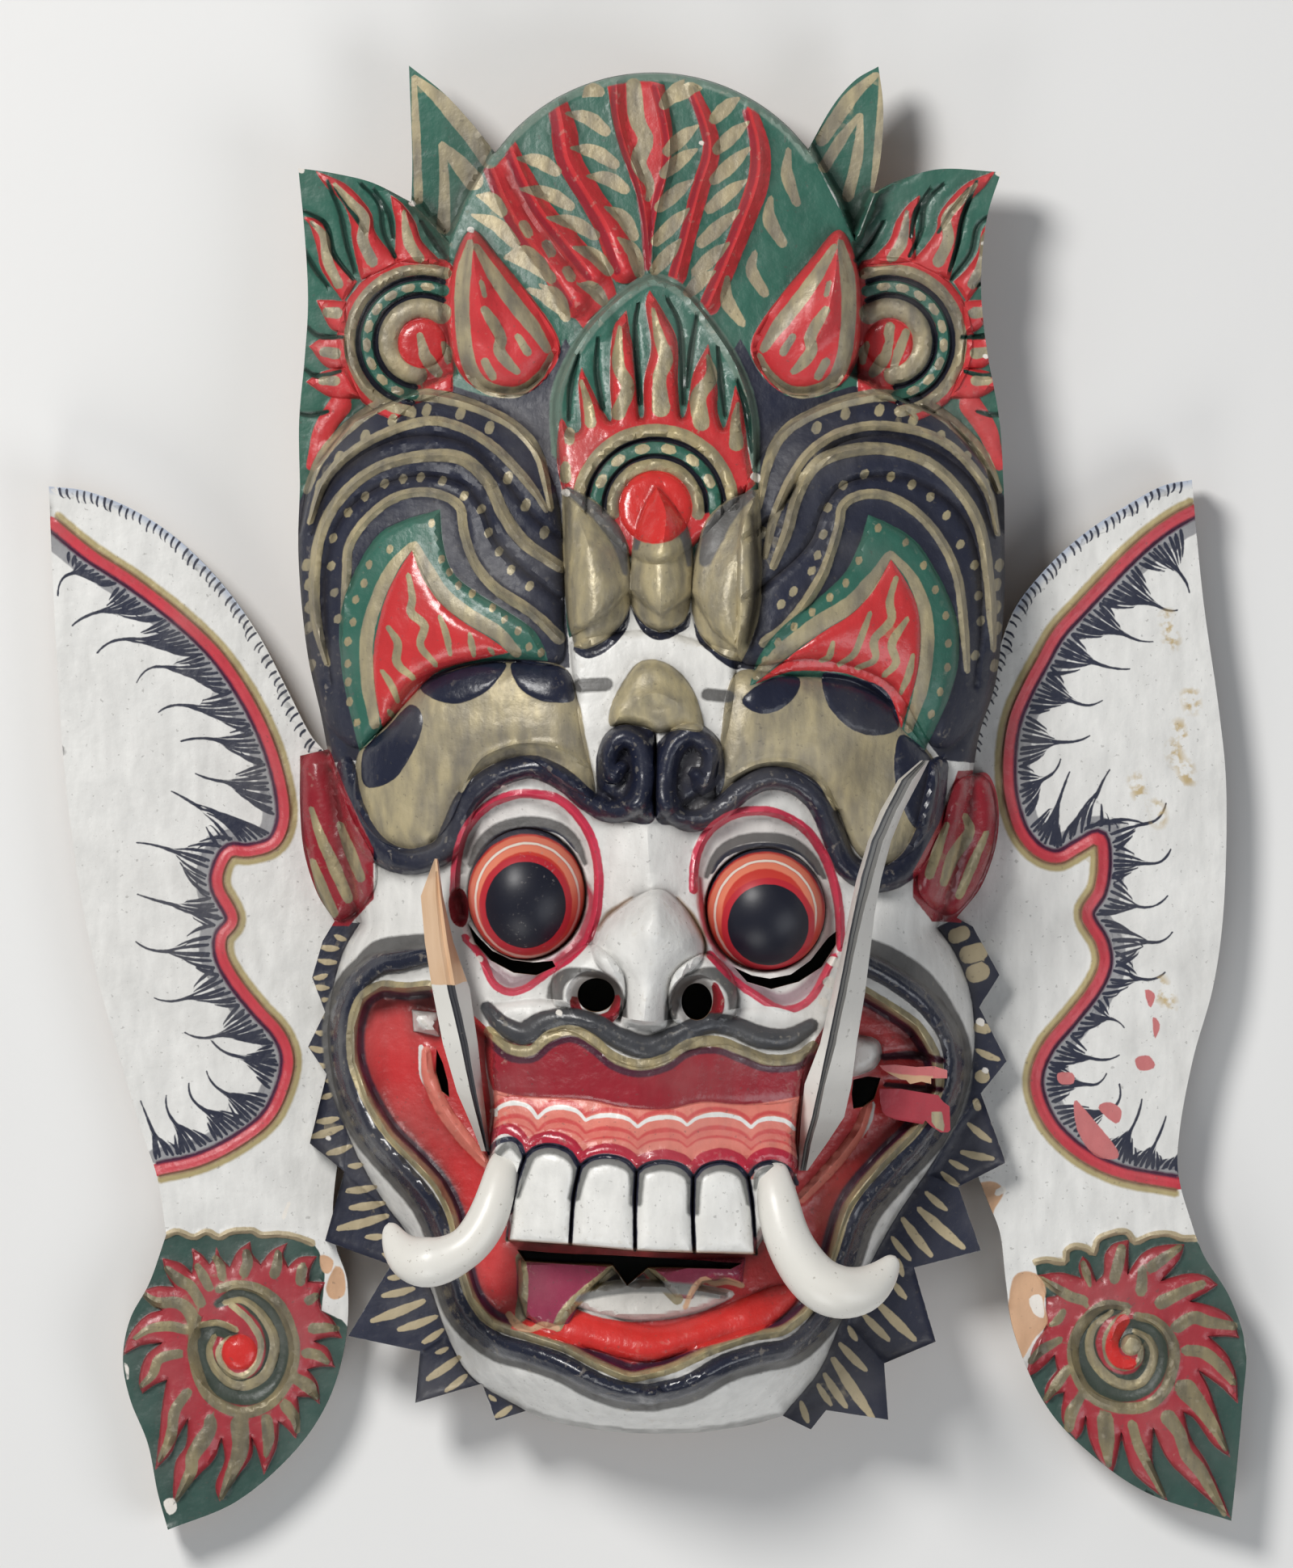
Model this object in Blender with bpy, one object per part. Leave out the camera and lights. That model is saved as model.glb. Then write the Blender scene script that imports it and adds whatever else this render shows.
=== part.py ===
# Carved and painted wooden demon mask, lying on its back with its crown towards +Y.
# One carved head with a hollow back, two ear boards and two side fangs, in metres, +Z up.
#
# The head and the ears are relief carvings: a front surface over the drawn outline, a back
# surface under it, and a cut edge between them. Outlines and lines are drawn on a sheet whose
# unit is a share of the mask's length, u to the right and v down. Depths are real sizes.

import math

import bpy
import numpy as np
from mathutils import Vector, kdtree
from mathutils.bvhtree import BVHTree
from mathutils.geometry import delaunay_2d_cdt

# Driving sizes of the whole mask
MASK_LENGTH = 0.520
HEAD_DEPTH = 0.122

# Head: the boards of crown and ruff stand clear of the table behind the core
BOARD_BACK = 0.024
BOARD_LEVEL = 0.036
HOLLOW_DEPTH = 0.064
RIM_WIDTH = 0.016

# Ear boards, let in behind the head's boards
EAR_THICKNESS = 0.0125
EAR_CLEARANCE = 0.0005
EAR_RIM_RISE = 0.002

# Side fangs
FANG_DEPTH = 0.017
FANG_CLEARANCE = 0.0012

# Carving tools: how far apart the facets' points lie, and the slope of a cut side
LINE_STEP = 0.0088
FINE_STEP = 0.0056
FILL_STEP = 0.0155
BACK_STEP = 0.020
SNAP = 0.0014
CUT = 0.0016

# The drawing sheet
SHEET_TOP, SHEET_FOOT = 78, 1897
SHEET_LEFT, SHEET_RIGHT = 57, 1545
UNIT = MASK_LENGTH / (SHEET_FOOT - SHEET_TOP)
MIDDLE_U = (SHEET_LEFT + SHEET_RIGHT) / 2
MIDDLE_V = (SHEET_TOP + SHEET_FOOT) / 2
MIRROR_U = 805

SKIN = {
    "head": ((0.78, 0.74, 0.66, 1.0), 0.45),
    "ear": ((0.80, 0.78, 0.72, 1.0), 0.5),
    "fang": ((0.80, 0.79, 0.75, 1.0), 0.45),
}


# Drawing


def plan(points):
    """Sheet points as plan points in metres."""
    points = np.asarray(points, float).reshape(-1, 2)
    return np.column_stack([(points[:, 0] - MIDDLE_U) * UNIT, (MIDDLE_V - points[:, 1]) * UNIT])


def sheet(xy):
    """Plan points in metres as sheet points."""
    return np.column_stack([xy[:, 0] / UNIT + MIDDLE_U, MIDDLE_V - xy[:, 1] / UNIT])


def mirrored(points):
    """The same drawing on the other side of the face's midline."""
    return [(2 * MIRROR_U - u, v) for u, v in points]


def arc(centre, radius, start_deg, end_deg, count=9):
    """Sheet points on a round, by angles counted counter-clockwise from the right."""
    angles = np.radians(np.linspace(start_deg, end_deg, count))
    return [(centre[0] + radius * math.cos(a), centre[1] - radius * math.sin(a)) for a in angles]


def smooth(points, step):
    """An even polyline, in metres, on a smooth curve through sheet points."""
    p = plan(points)
    if len(p) > 2:
        ends = np.vstack([2 * p[0] - p[1], p, 2 * p[-1] - p[-2]])
        t = np.linspace(0, 1, 12, endpoint=False)[:, None]
        rows = []
        for a, b, c, d in zip(ends[:-3], ends[1:-2], ends[2:-1], ends[3:], strict=True):
            rows.append(0.5 * (2 * b + (c - a) * t + (2 * a - 5 * b + 4 * c - d) * t**2
                               + (3 * b - a - 3 * c + d) * t**3))
        p = np.vstack([*rows, p[-1:]])
    run = np.concatenate([[0], np.cumsum(np.linalg.norm(np.diff(p, axis=0), axis=1))])
    count = max(1, round(run[-1] / step))
    at = np.linspace(0, run[-1], count + 1)
    return np.column_stack([np.interp(at, run, p[:, 0]), np.interp(at, run, p[:, 1])])


def outline(*runs, step=LINE_STEP):
    """A closed polygon, in metres: smooth runs that meet in corners."""
    pieces = [smooth(run, step) for run in runs]
    return np.vstack([piece[:-1] for piece in pieces])


def loop(points, step=LINE_STEP):
    """A closed smooth outline without corners, in metres."""
    around = [points[-1], *points, points[0], points[1]]
    dense = smooth(around, step / 6)
    start, end = plan([points[0]])[0], plan([points[0]])[0]
    first = int(np.argmin(np.linalg.norm(dense[: len(dense) // 2] - start, axis=1)))
    half = len(dense) // 2
    last = half + int(np.argmin(np.linalg.norm(dense[half:] - end, axis=1)))
    ring = dense[first : last + 1]
    run = np.concatenate([[0], np.cumsum(np.linalg.norm(np.diff(ring, axis=0), axis=1))])
    count = max(6, round(run[-1] / step))
    at = np.linspace(0, run[-1], count + 1)[:-1]
    return np.column_stack([np.interp(at, run, ring[:, 0]), np.interp(at, run, ring[:, 1])])


def ellipse(centre, half_u, half_v, step=FINE_STEP):
    """A closed oval outline, in metres."""
    count = max(8, round(math.pi * (half_u + half_v) * UNIT / step))
    angles = np.arange(count) * 2 * math.pi / count
    return plan(np.column_stack([centre[0] + half_u * np.cos(angles), centre[1] - half_v * np.sin(angles)]))


# Measuring


def distance(xy, line, closed=False):
    """Distance of each plan point to a polyline, and the share of the line's length there."""
    a = line
    b = np.roll(line, -1, axis=0) if closed else line[1:]
    a = a if closed else line[:-1]
    span = b - a
    length = np.maximum(np.linalg.norm(span, axis=1), 1e-9)
    start = np.concatenate([[0], np.cumsum(length)[:-1]])
    away = xy[:, None, :] - a[None]
    t = np.clip((away * span).sum(2) / length**2, 0, 1)
    gap = np.linalg.norm(away - t[..., None] * span, axis=2)
    nearest = gap.argmin(1)
    rows = np.arange(len(xy))
    return gap[rows, nearest], (start[nearest] + t[rows, nearest] * length[nearest]) / length.sum()


def inside(xy, polygon):
    """Which plan points lie inside a polygon."""
    a, b = polygon, np.roll(polygon, -1, axis=0)
    x, y = xy[:, :1], xy[:, 1:]
    crosses = (a[:, 1] > y) != (b[:, 1] > y)
    rise = np.where(b[:, 1] == a[:, 1], 1e-12, b[:, 1] - a[:, 1])
    return (crosses & (x < a[:, 0] + (y - a[:, 1]) * (b[:, 0] - a[:, 0]) / rise)).sum(1) % 2 == 1


def depth_in(xy, polygon):
    """Signed distance to a polygon's edge, above zero inside."""
    return np.where(inside(xy, polygon), 1, -1) * distance(xy, polygon, closed=True)[0]


def ease(share):
    share = np.clip(share, 0, 1)
    return share * share * (3 - 2 * share)


def quarter_round(share):
    return np.sqrt(1 - (1 - np.clip(share, 0, 1)) ** 2)


def beside(line, offset, closed=False):
    """The line moved sideways, without the points that fold back at tight bends."""
    ahead = np.roll(line, -1, axis=0) if closed else np.vstack([line[1:], line[-1:]])
    behind = np.roll(line, 1, axis=0) if closed else np.vstack([line[:1], line[:-1]])
    along = ahead - behind
    along /= np.maximum(np.linalg.norm(along, axis=1), 1e-9)[:, None]
    moved = line + offset * np.column_stack([-along[:, 1], along[:, 0]])
    keep = distance(moved, line, closed)[0] > 0.93 * abs(offset)
    return [run for run in split_runs(moved, keep) if len(run) > 1]


def split_runs(line, keep):
    """The stretches of a line whose points are kept."""
    return [line[a:b] for a, b in runs_of(keep)]


# Carving: each cut gives the lines that the facets follow, and changes the heights


class Level:
    """An area cut down or built up to a level of its own, with sloped sides inside its outline."""

    def __init__(self, area, level, side=CUT):
        self.area, self.level, self.side = area, level, side

    def lines(self):
        inward = max(beside(self.area, self.side, True), beside(self.area, -self.side, True),
                     key=lambda runs: sum(inside(run, self.area).sum() for run in runs))
        return [np.vstack([self.area, self.area[:1]]), *inward]

    def carve(self, xy, z):
        goal = self.level(xy) if callable(self.level) else self.level
        return z + (goal - z) * ease(depth_in(xy, self.area) / self.side)


class Raise(Level):
    """An area raised, or sunk, by the same amount all over."""

    def carve(self, xy, z):
        return z + self.level * ease(depth_in(xy, self.area) / self.side)


class Dome(Level):
    """An area that swells from its edge, as a petal or a drop does."""

    def carve(self, xy, z):
        return z + self.level * quarter_round(depth_in(xy, self.area) / self.side)


class Flame:
    """A tongue that rises from its drawn edge to a crest, from the ground or from a level of its own."""

    def __init__(self, area, crest, rise, half_width, base=None):
        self.area, self.crest, self.rise, self.half_width, self.base = area, crest, rise, half_width, base

    def lines(self):
        return [np.vstack([self.area, self.area[:1]]), self.crest]

    def carve(self, xy, z):
        inward = depth_in(xy, self.area)
        if self.base is not None:
            z = z + (self.base - z) * ease(inward / CUT)
        return z + self.rise * quarter_round(inward / self.half_width)


class Roll:
    """A rounded ridge along a line, or a groove if its rise is negative. It may taper to its ends."""

    def __init__(self, line, half_width, rise, taper=0.0):
        self.line, self.half_width, self.rise, self.taper = line, half_width, rise, taper

    def lines(self):
        return [self.line, *beside(self.line, self.half_width), *beside(self.line, -self.half_width)]

    def carve(self, xy, z):
        gap, along = distance(xy, self.line)
        width = self.half_width * (1 - self.taper * np.abs(2 * along - 1) ** 3)
        return z + self.rise * np.sqrt(np.clip(1 - (gap / width) ** 2, 0, 1))


def carved(xy, cuts, ground):
    """Heights of plan points after all the cuts."""
    z = ground(xy)
    for cut in cuts:
        z = cut.carve(xy, z)
    return z


# Facets


class Facets:
    """Triangles over an outline with holes, with edges along the carving's lines."""

    def __init__(self, edge, holes, lines, fill):
        self.points, self.edges, self.cells = [], [], {}
        self.loops = [self.add(ring, closed=True, snap=False) for ring in [edge, *holes]]
        for line in lines:
            self.add_line(line, edge, holes)
        self.add_fill(edge, holes, fill)
        self.triangulate(edge, holes)

    def add(self, line, closed=False, snap=True):
        indices = [self.place(point, snap) for point in line]
        self.edges += [(a, b) for a, b in zip(indices, indices[1:], strict=False) if a != b]
        if closed:
            self.edges.append((indices[-1], indices[0]))
        return indices

    def add_line(self, line, edge, holes):
        """Takes in a line of the carving where it keeps away from the outline and the holes."""
        for run in split_runs(line, clear(line, edge, holes, 1.1 * SNAP)):
            indices = [self.place(point, True) for point in run]
            pairs = [(a, b) for a, b in zip(indices, indices[1:], strict=False) if a != b]
            if pairs:
                ends = np.array(self.points)[np.array(pairs)]
                spots = [ends[:, 0] + (ends[:, 1] - ends[:, 0]) * k / 8 for k in range(9)]
                fits = clear(np.vstack(spots), edge, holes, 0.3 * SNAP).reshape(9, -1).all(axis=0)
                self.edges += [pair for pair, fit in zip(pairs, fits, strict=True) if fit]

    def place(self, point, snap):
        column, row = int(point[0] // SNAP), int(point[1] // SNAP)
        if snap:
            for i in (column - 1, column, column + 1):
                for j in (row - 1, row, row + 1):
                    for index in self.cells.get((i, j), ()):
                        if math.dist(self.points[index], point) < SNAP:
                            return index
        self.points.append((float(point[0]), float(point[1])))
        self.cells.setdefault((column, row), []).append(len(self.points) - 1)
        return len(self.points) - 1

    def add_fill(self, edge, holes, fill):
        tree = kdtree.KDTree(len(self.points))
        for index, point in enumerate(self.points):
            tree.insert((*point, 0), index)
        tree.balance()
        low, high = edge.min(0), edge.max(0)
        rows = np.arange(low[1], high[1], fill * math.sqrt(3) / 2)
        grid = [(x + fill / 2 * (k % 2), y) for k, y in enumerate(rows) for x in np.arange(low[0], high[0], fill)]
        grid = np.array(grid)
        grid = grid[depth_in(grid, edge) > fill / 3]
        for hole in holes:
            grid = grid[depth_in(grid, hole) < -fill / 3]
        for point in grid:
            if tree.find((*point, 0))[2] > 0.62 * fill:
                self.points.append((float(point[0]), float(point[1])))

    def triangulate(self, edge, holes):
        found = delaunay_2d_cdt([Vector(p) for p in self.points], self.edges, [], 0, 1e-7, True)
        self.xy = np.array([tuple(p) for p in found[0]])
        place = {old: new for new, olds in enumerate(found[3]) for old in olds}
        self.loops = [[place[i] for i in ring] for ring in self.loops]
        faces = np.array(found[2])
        centres = self.xy[faces].mean(1)
        keep = inside(centres, edge)
        for hole in holes:
            keep &= ~inside(centres, hole)
        self.faces = faces[keep]


def relief(name, edge, holes, cuts, ground, back_cuts, back_ground):
    """A closed solid between a carved front and its back."""
    lines = [line for cut in cuts for line in cut.lines()]
    front = Facets(edge, holes, lines, FILL_STEP)
    back = Facets(edge, holes, [line for cut in back_cuts for line in cut.lines()], BACK_STEP)
    top = carved(front.xy, cuts, ground)
    low = carved(back.xy, back_cuts, back_ground)
    shift = len(front.xy)
    points = [*zip(*front.xy.T, top, strict=True), *zip(*back.xy.T, low, strict=True)]
    faces = [tuple(int(i) for i in f) for f in front.faces]
    faces += [tuple(int(i) + shift for i in f[::-1]) for f in back.faces]
    for number, (over, under) in enumerate(zip(front.loops, back.loops, strict=True)):
        ring = edge if number == 0 else holes[number - 1]
        turn = 1 if signed_area(ring) > 0 else -1
        turn = turn if number == 0 else -turn
        for k in range(len(over)):
            a, b = (k, (k + 1) % len(over))[::turn]
            corners = over[a], under[a] + shift, under[b] + shift, over[b]
            faces += [(corners[0], corners[1], corners[2]), (corners[0], corners[2], corners[3])]
    return new_object(name, points, faces)


def clear(spots, edge, holes, margin):
    """Which points keep a margin inside the outline and outside the holes."""
    fits = depth_in(spots, edge) > margin
    for hole in holes:
        fits &= depth_in(spots, hole) < -margin
    return fits


def runs_of(keep):
    """First and last index of each stretch that is kept."""
    steps = np.flatnonzero(np.diff(np.concatenate([[0], keep.astype(int), [0]])))
    return list(zip(steps[::2], steps[1::2], strict=True))


def signed_area(ring):
    following = np.roll(ring, -1, axis=0)
    return 0.5 * float((ring[:, 0] * following[:, 1] - following[:, 0] * ring[:, 1]).sum())


def new_object(name, points, faces):
    mesh = bpy.data.meshes.new(name)
    mesh.from_pydata(points, [], faces)
    mesh.update()
    made = bpy.data.objects.new(name, mesh)
    bpy.context.scene.collection.objects.link(made)
    return made


def paint(made, colours):
    """A plain paint for a piece: its main colour and roughness."""
    colour, roughness = SKIN[colours]
    material = bpy.data.materials.get(colours) or bpy.data.materials.new(colours)
    material.use_nodes = True
    shader = material.node_tree.nodes["Principled BSDF"]
    shader.inputs["Base Color"].default_value = colour
    shader.inputs["Roughness"].default_value = roughness
    shader.inputs["Metallic"].default_value = 0.0
    made.data.materials.append(material)


# Head: outlines


def leaf_edges(corners):
    """The zigzag of the ruff: straight runs between its tips and notches."""
    return [[a, b] for a, b in zip(corners, corners[1:], strict=False)]


def crown_left():
    """Left side of the crown, from the ear lobe's top up to the back leaf's tip."""
    return [
        [(370, 935), (404, 927)],
        [(404, 927), (395, 880), (378, 800), (368, 690), (370, 600)],
        [(370, 600), (369, 520), (376, 440), (380, 370), (376, 290), (368, 206)],
        [(368, 206), (410, 212), (460, 224), (508, 248)],
        [(508, 248), (509, 190), (505, 78)],
        [(505, 78), (548, 112), (585, 152), (611, 186)],
    ]


def crown_right():
    """Right side of the crown, from the back leaf's foot down to the ear lobe's top."""
    return [
        [(1001, 182), (1030, 130), (1058, 97), (1088, 79)],
        [(1088, 79), (1094, 130), (1091, 190), (1082, 236)],
        [(1082, 236), (1110, 222), (1165, 207), (1240, 211)],
        [(1240, 211), (1222, 270), (1215, 350), (1222, 430), (1238, 520), (1244, 620)],
        [(1244, 620), (1244, 740), (1234, 840), (1214, 905), (1205, 957)],
    ]


FAN_CENTRE, FAN_RADIUS = (808, 330), 243
FAN_FOOT_LEFT_DEG, FAN_FOOT_RIGHT_DEG = 143.8, 37.5
LOBE_LEFT_OUTER = [(413, 1140), (391, 1105), (375, 1054), (370, 1000), (370, 935)]
LOBE_RIGHT_OUTER = [(1205, 957), (1224, 958), (1236, 990), (1235, 1040), (1216, 1096), (1185, 1136)]
RUFF_RIGHT = [(1185, 1136), (1205, 1147), (1238, 1207), (1213, 1247), (1247, 1314), (1215, 1354),
              (1246, 1440), (1187, 1470), (1215, 1549), (1132, 1570), (1159, 1662), (1095, 1689),
              (1100, 1759), (1023, 1747), (1004, 1771), (969, 1754)]
RUFF_LEFT = [(650, 1748), (613, 1760), (596, 1714), (513, 1738), (519, 1674), (430, 1655),
             (483, 1567), (401, 1537), (425, 1451), (382, 1416), (403, 1330), (380, 1296),
             (401, 1253), (385, 1210), (398, 1165), (413, 1140)]
CHIN = [(969, 1754), (930, 1765), (870, 1774), (806, 1776), (743, 1772), (679, 1760), (650, 1748)]
JAW_RIGHT = [(1160, 1148), (1181, 1177), (1200, 1222), (1207, 1271), (1205, 1314), (1190, 1375),
             (1157, 1437), (1110, 1507), (1075, 1570), (1042, 1636), (1015, 1697), (969, 1754)]
JAW_LEFT = [(650, 1748), (583, 1706), (551, 1649), (530, 1590), (504, 1530), (475, 1490),
            (441, 1431), (420, 1375), (409, 1314), (406, 1271), (411, 1222), (425, 1175), (444, 1143)]


def fan_arc():
    return arc(FAN_CENTRE, FAN_RADIUS, FAN_FOOT_LEFT_DEG, FAN_FOOT_RIGHT_DEG, 13)


def closing(runs):
    """Runs with each one's first point on the last point of the one before."""
    joined = [list(runs[0])]
    for run in runs[1:]:
        joined.append([joined[-1][-1], *run[1:]])
    joined[-1][-1] = joined[0][0]
    return joined


def head_outline():
    runs = [fan_arc(), *crown_right(), LOBE_RIGHT_OUTER, *leaf_edges(RUFF_RIGHT), CHIN,
            *leaf_edges(RUFF_LEFT), LOBE_LEFT_OUTER, *crown_left()]
    return outline(*closing(runs))


def mass_outline():
    """Where the head swells out of its boards: the crown's own edge, and the jaw's."""
    runs = [fan_arc(), *crown_right(), [(1205, 957), (1190, 1050), (1160, 1148)], JAW_RIGHT, CHIN,
            JAW_LEFT, [(444, 1143), (425, 1040), (404, 927)], *crown_left()[1:]]
    return outline(*closing(runs))


CORE_HALF = [(805, 262), (930, 285), (1060, 370), (1140, 480), (1180, 640), (1190, 800), (1180, 1000),
             (1165, 1180), (1150, 1320), (1100, 1470), (1020, 1620), (920, 1715), (805, 1742)]


def core_points():
    return CORE_HALF + mirrored(CORE_HALF[1:-1])[::-1]


def core_outline():
    return loop(core_points(), 0.6 * BACK_STEP)


HOLLOW_CENTRE = (805, 1000)


def hollow_half(points, index):
    """The hollow's half size: the core's reach less the rim."""
    reach = max(abs(point[index] - HOLLOW_CENTRE[index]) for point in points)
    return reach * UNIT - RIM_WIDTH


# Head: ground form

PROFILE_V = [60, 200, 330, 450, 600, 700, 800, 900, 1000, 1100, 1200, 1300, 1400, 1500, 1600, 1700, 1790]
MIDLINE_SHARE = [0.36, 0.41, 0.47, 0.53, 0.62, 0.67, 0.71, 0.74, 0.74, 0.74, 0.77, 0.79, 0.79, 0.77, 0.70,
                 0.68, 0.50]
EDGE_SHARE = [0.33, 0.32, 0.31, 0.33, 0.38, 0.38, 0.37, 0.37, 0.37, 0.38, 0.38, 0.38, 0.38, 0.38, 0.38,
              0.38, 0.38]
HALF_WIDTH = [300, 400, 435, 436, 437, 438, 430, 415, 405, 402, 403, 403, 385, 335, 285, 220, 120]
FALL_POWER = 2.3
SOFT_EDGE_CROWN, SOFT_EDGE_JAW = 0.0022, 0.017


def swell(xy):
    """The block's smooth form: deepest along the midline, shallow at its sides."""
    u, v = sheet(xy).T
    middle = np.interp(v, PROFILE_V, MIDLINE_SHARE) * HEAD_DEPTH
    side = np.interp(v, PROFILE_V, EDGE_SHARE) * HEAD_DEPTH
    across = np.clip(np.abs(u - MIRROR_U) / np.interp(v, PROFILE_V, HALF_WIDTH), 0, 1)
    return side + (middle - side) * (1 - across**FALL_POWER)


def head_ground(xy):
    """Board level outside the head's mass, and the swelling block inside it."""
    v = sheet(xy)[:, 1]
    soft = np.interp(v, [900, 1060], [SOFT_EDGE_CROWN, SOFT_EDGE_JAW])
    share = quarter_round(depth_in(xy, mass_outline()) / soft)
    return BOARD_LEVEL + (swell(xy) - BOARD_LEVEL) * share


def both(make, points, *sizes, **named):
    """The same cut on the left and on the right."""
    return [make(loop(points, FINE_STEP), *sizes, **named), make(loop(mirrored(points), FINE_STEP), *sizes, **named)]


def both_lines(points, *sizes, **named):
    return [Roll(smooth(points, LINE_STEP), *sizes, **named),
            Roll(smooth(mirrored(points), LINE_STEP), *sizes, **named)]


# Head: crown

BACK_LEAF_LEVEL = 0.0315
PANEL_LEVEL = 0.0385
SUN_CENTRE = (520, 420)
SUN_FLAMES = [[(398, 226), (436, 262), (454, 310), (462, 352)], [(484, 242), (496, 280), (506, 326)],
              [(378, 300), (398, 340), (428, 362)]]
LOTUS_FLAMES = [[(775, 386), (772, 440), (765, 508)], [(805, 362), (822, 430), (818, 504)],
                [(876, 427), (880, 470), (866, 520)], [(721, 456), (724, 490), (735, 526)]]
FLAME_HALF, FLAME_RISE = 0.0042, 0.0028
SUN_RINGS = [(92, 0.0024, 0.0026), (50, 0.0030, 0.0028)]
RIB_RISE, RIB_HALF = 0.0032, 0.0027
DROP_BASE, DROP_RISE, DROP_ROUND = 0.056, 0.013, 0.012
BROW_MASS_RISE, BROW_MASS_ROUND = 0.009, 0.018
STRAND_HALF, STRAND_RISE = 0.0022, 0.0024
PETAL_RISE, PETAL_ROUND = 0.008, 0.009


def back_leaves():
    left = [(490, 60), (560, 100), (590, 145), (612, 188), (576, 250), (556, 300), (509, 249), (490, 230)]
    right = [(1001, 182), (1024, 120), (1050, 80), (1100, 60), (1106, 130), (1104, 225), (1083, 237),
             (1058, 300), (1036, 246)]
    return [Level(plan(left), BACK_LEAF_LEVEL), Level(plan(right), BACK_LEAF_LEVEL)]


def side_panels():
    points = [(350, 190), (430, 200), (509, 249), (556, 300), (553, 380), (566, 462), (513, 489), (440, 522),
              (392, 580), (374, 660), (350, 680), (352, 500), (352, 380)]
    cuts = [Level(plan(points), PANEL_LEVEL), Level(plan(mirrored(points)), PANEL_LEVEL)]
    for radius, half_width, rise in SUN_RINGS:
        cuts += both_lines(arc(SUN_CENTRE, radius, 80, 235, 9), half_width, rise)
    for flame in SUN_FLAMES:
        cuts += both_lines(flame, FLAME_HALF, FLAME_RISE, 0.8)
    return cuts


def fan_ribs():
    ribs = [
        [(616, 200), (633, 262), (683, 324), (728, 388)],
        [(690, 122), (694, 178), (719, 217), (748, 262), (768, 335)],
        [(857, 108), (881, 170), (870, 225), (851, 288), (840, 335)],
        [(930, 136), (942, 190), (925, 270), (898, 331), (881, 374)],
    ]
    petal = outline([(751, 104), (762, 167), (779, 221), (797, 274), (802, 328)],
                    [(802, 328), (811, 274), (828, 221), (833, 167), (818, 104)], [(818, 104), (751, 104)])
    return [*[Roll(smooth(rib, LINE_STEP), RIB_HALF, RIB_RISE, 0.5) for rib in ribs], Raise(petal, RIB_RISE)]


def drops():
    points = [(583, 284), (560, 330), (555, 390), (560, 440), (580, 474), (615, 489), (655, 485), (688, 450),
              (690, 418), (662, 374), (618, 320)]
    crest = [(584, 292), (590, 350), (602, 400), (622, 436)]
    cuts = []
    for side in (points, mirrored(points)):
        line = crest if side is points else mirrored(crest)
        cuts.append(Flame(loop(side, FINE_STEP), smooth(line, LINE_STEP), DROP_RISE, DROP_ROUND, DROP_BASE))
    return cuts


def hair_swirls():
    mass = [(372, 640), (392, 575), (436, 522), (510, 488), (580, 498), (640, 530), (682, 590), (696, 660),
            (698, 760), (690, 822), (600, 816), (510, 846), (450, 926), (396, 880), (376, 780)]
    strands = [
        [(379, 602), (429, 529), (513, 489), (605, 510), (666, 567), (684, 630)],
        [(392, 800), (392, 700), (412, 625), (460, 583), (544, 565), (609, 613), (645, 675), (694, 706)],
        [(430, 705), (448, 655), (505, 613), (560, 620), (576, 680), (620, 735), (660, 764), (690, 795)],
    ]
    cuts = both(Dome, mass, BROW_MASS_RISE, BROW_MASS_ROUND)
    for strand in strands:
        cuts += both_lines(strand, STRAND_HALF, STRAND_RISE)
    return cuts


def brow_leaves():
    runs = [[(544, 634), (500, 650), (444, 713), (422, 800), (432, 873), (446, 929)],
            [(446, 929), (482, 893), (513, 847), (560, 824), (628, 815), (678, 817)],
            [(678, 817), (620, 757), (572, 728), (549, 684), (544, 634)]]
    left = outline(*runs)
    right = outline(*[mirrored(run) for run in runs])
    return [Raise(left, 0.0024), Raise(right, 0.0024)]


def lotus_panel():
    runs = [[(808, 340), (768, 364), (726, 405), (697, 456), (685, 499), (688, 560), (699, 618)],
            [(699, 618), (700, 740), (704, 800)], [(704, 800), (806, 790), (912, 812)],
            [(912, 812), (934, 740), (937, 600)],
            [(937, 600), (934, 510), (916, 453), (885, 403), (847, 358), (808, 340)]]
    cuts = [Raise(outline(*runs), 0.006)]
    cuts += [Roll(smooth(flame, LINE_STEP), FLAME_HALF, FLAME_RISE, 0.8) for flame in LOTUS_FLAMES]
    for radius, half_width, rise in ((92, 0.0024, 0.0024), (60, 0.0028, 0.0026)):
        cuts.append(Roll(smooth(arc((813, 613), radius, 8, 172, 9), LINE_STEP), half_width, rise))
    petals = [
        ([(699, 612), (744, 630), (772, 668), (778, 730), (760, 788), (728, 803), (704, 780)],
         [(704, 620), (728, 660), (740, 720), (736, 760)]),
        ([(936, 596), (938, 690), (928, 770), (906, 815), (880, 806), (860, 770), (858, 715), (878, 650)],
         [(930, 606), (906, 660), (896, 720), (898, 770)]),
        ([(813, 606), (845, 645), (857, 705), (848, 762), (815, 781), (785, 762), (778, 705), (788, 645)],
         [(813, 614), (817, 660), (818, 710), (816, 745)]),
    ]
    for petal, crest in petals:
        cuts.append(Flame(loop(petal, FINE_STEP), smooth(crest, LINE_STEP), PETAL_RISE, PETAL_ROUND))
    return cuts


# Head: brows, eyes and nose

BROW_HALF, BROW_RISE = 0.0042, 0.0055
EYE_LEFT, EYE_RIGHT = (653, 1108), (946, 1132)
EYE_HALF_U, EYE_HALF_V, EYE_RISE = 74, 82, 0.019
SOCKET_SINK = -0.004
NOSE_RISE = 0.018


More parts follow.
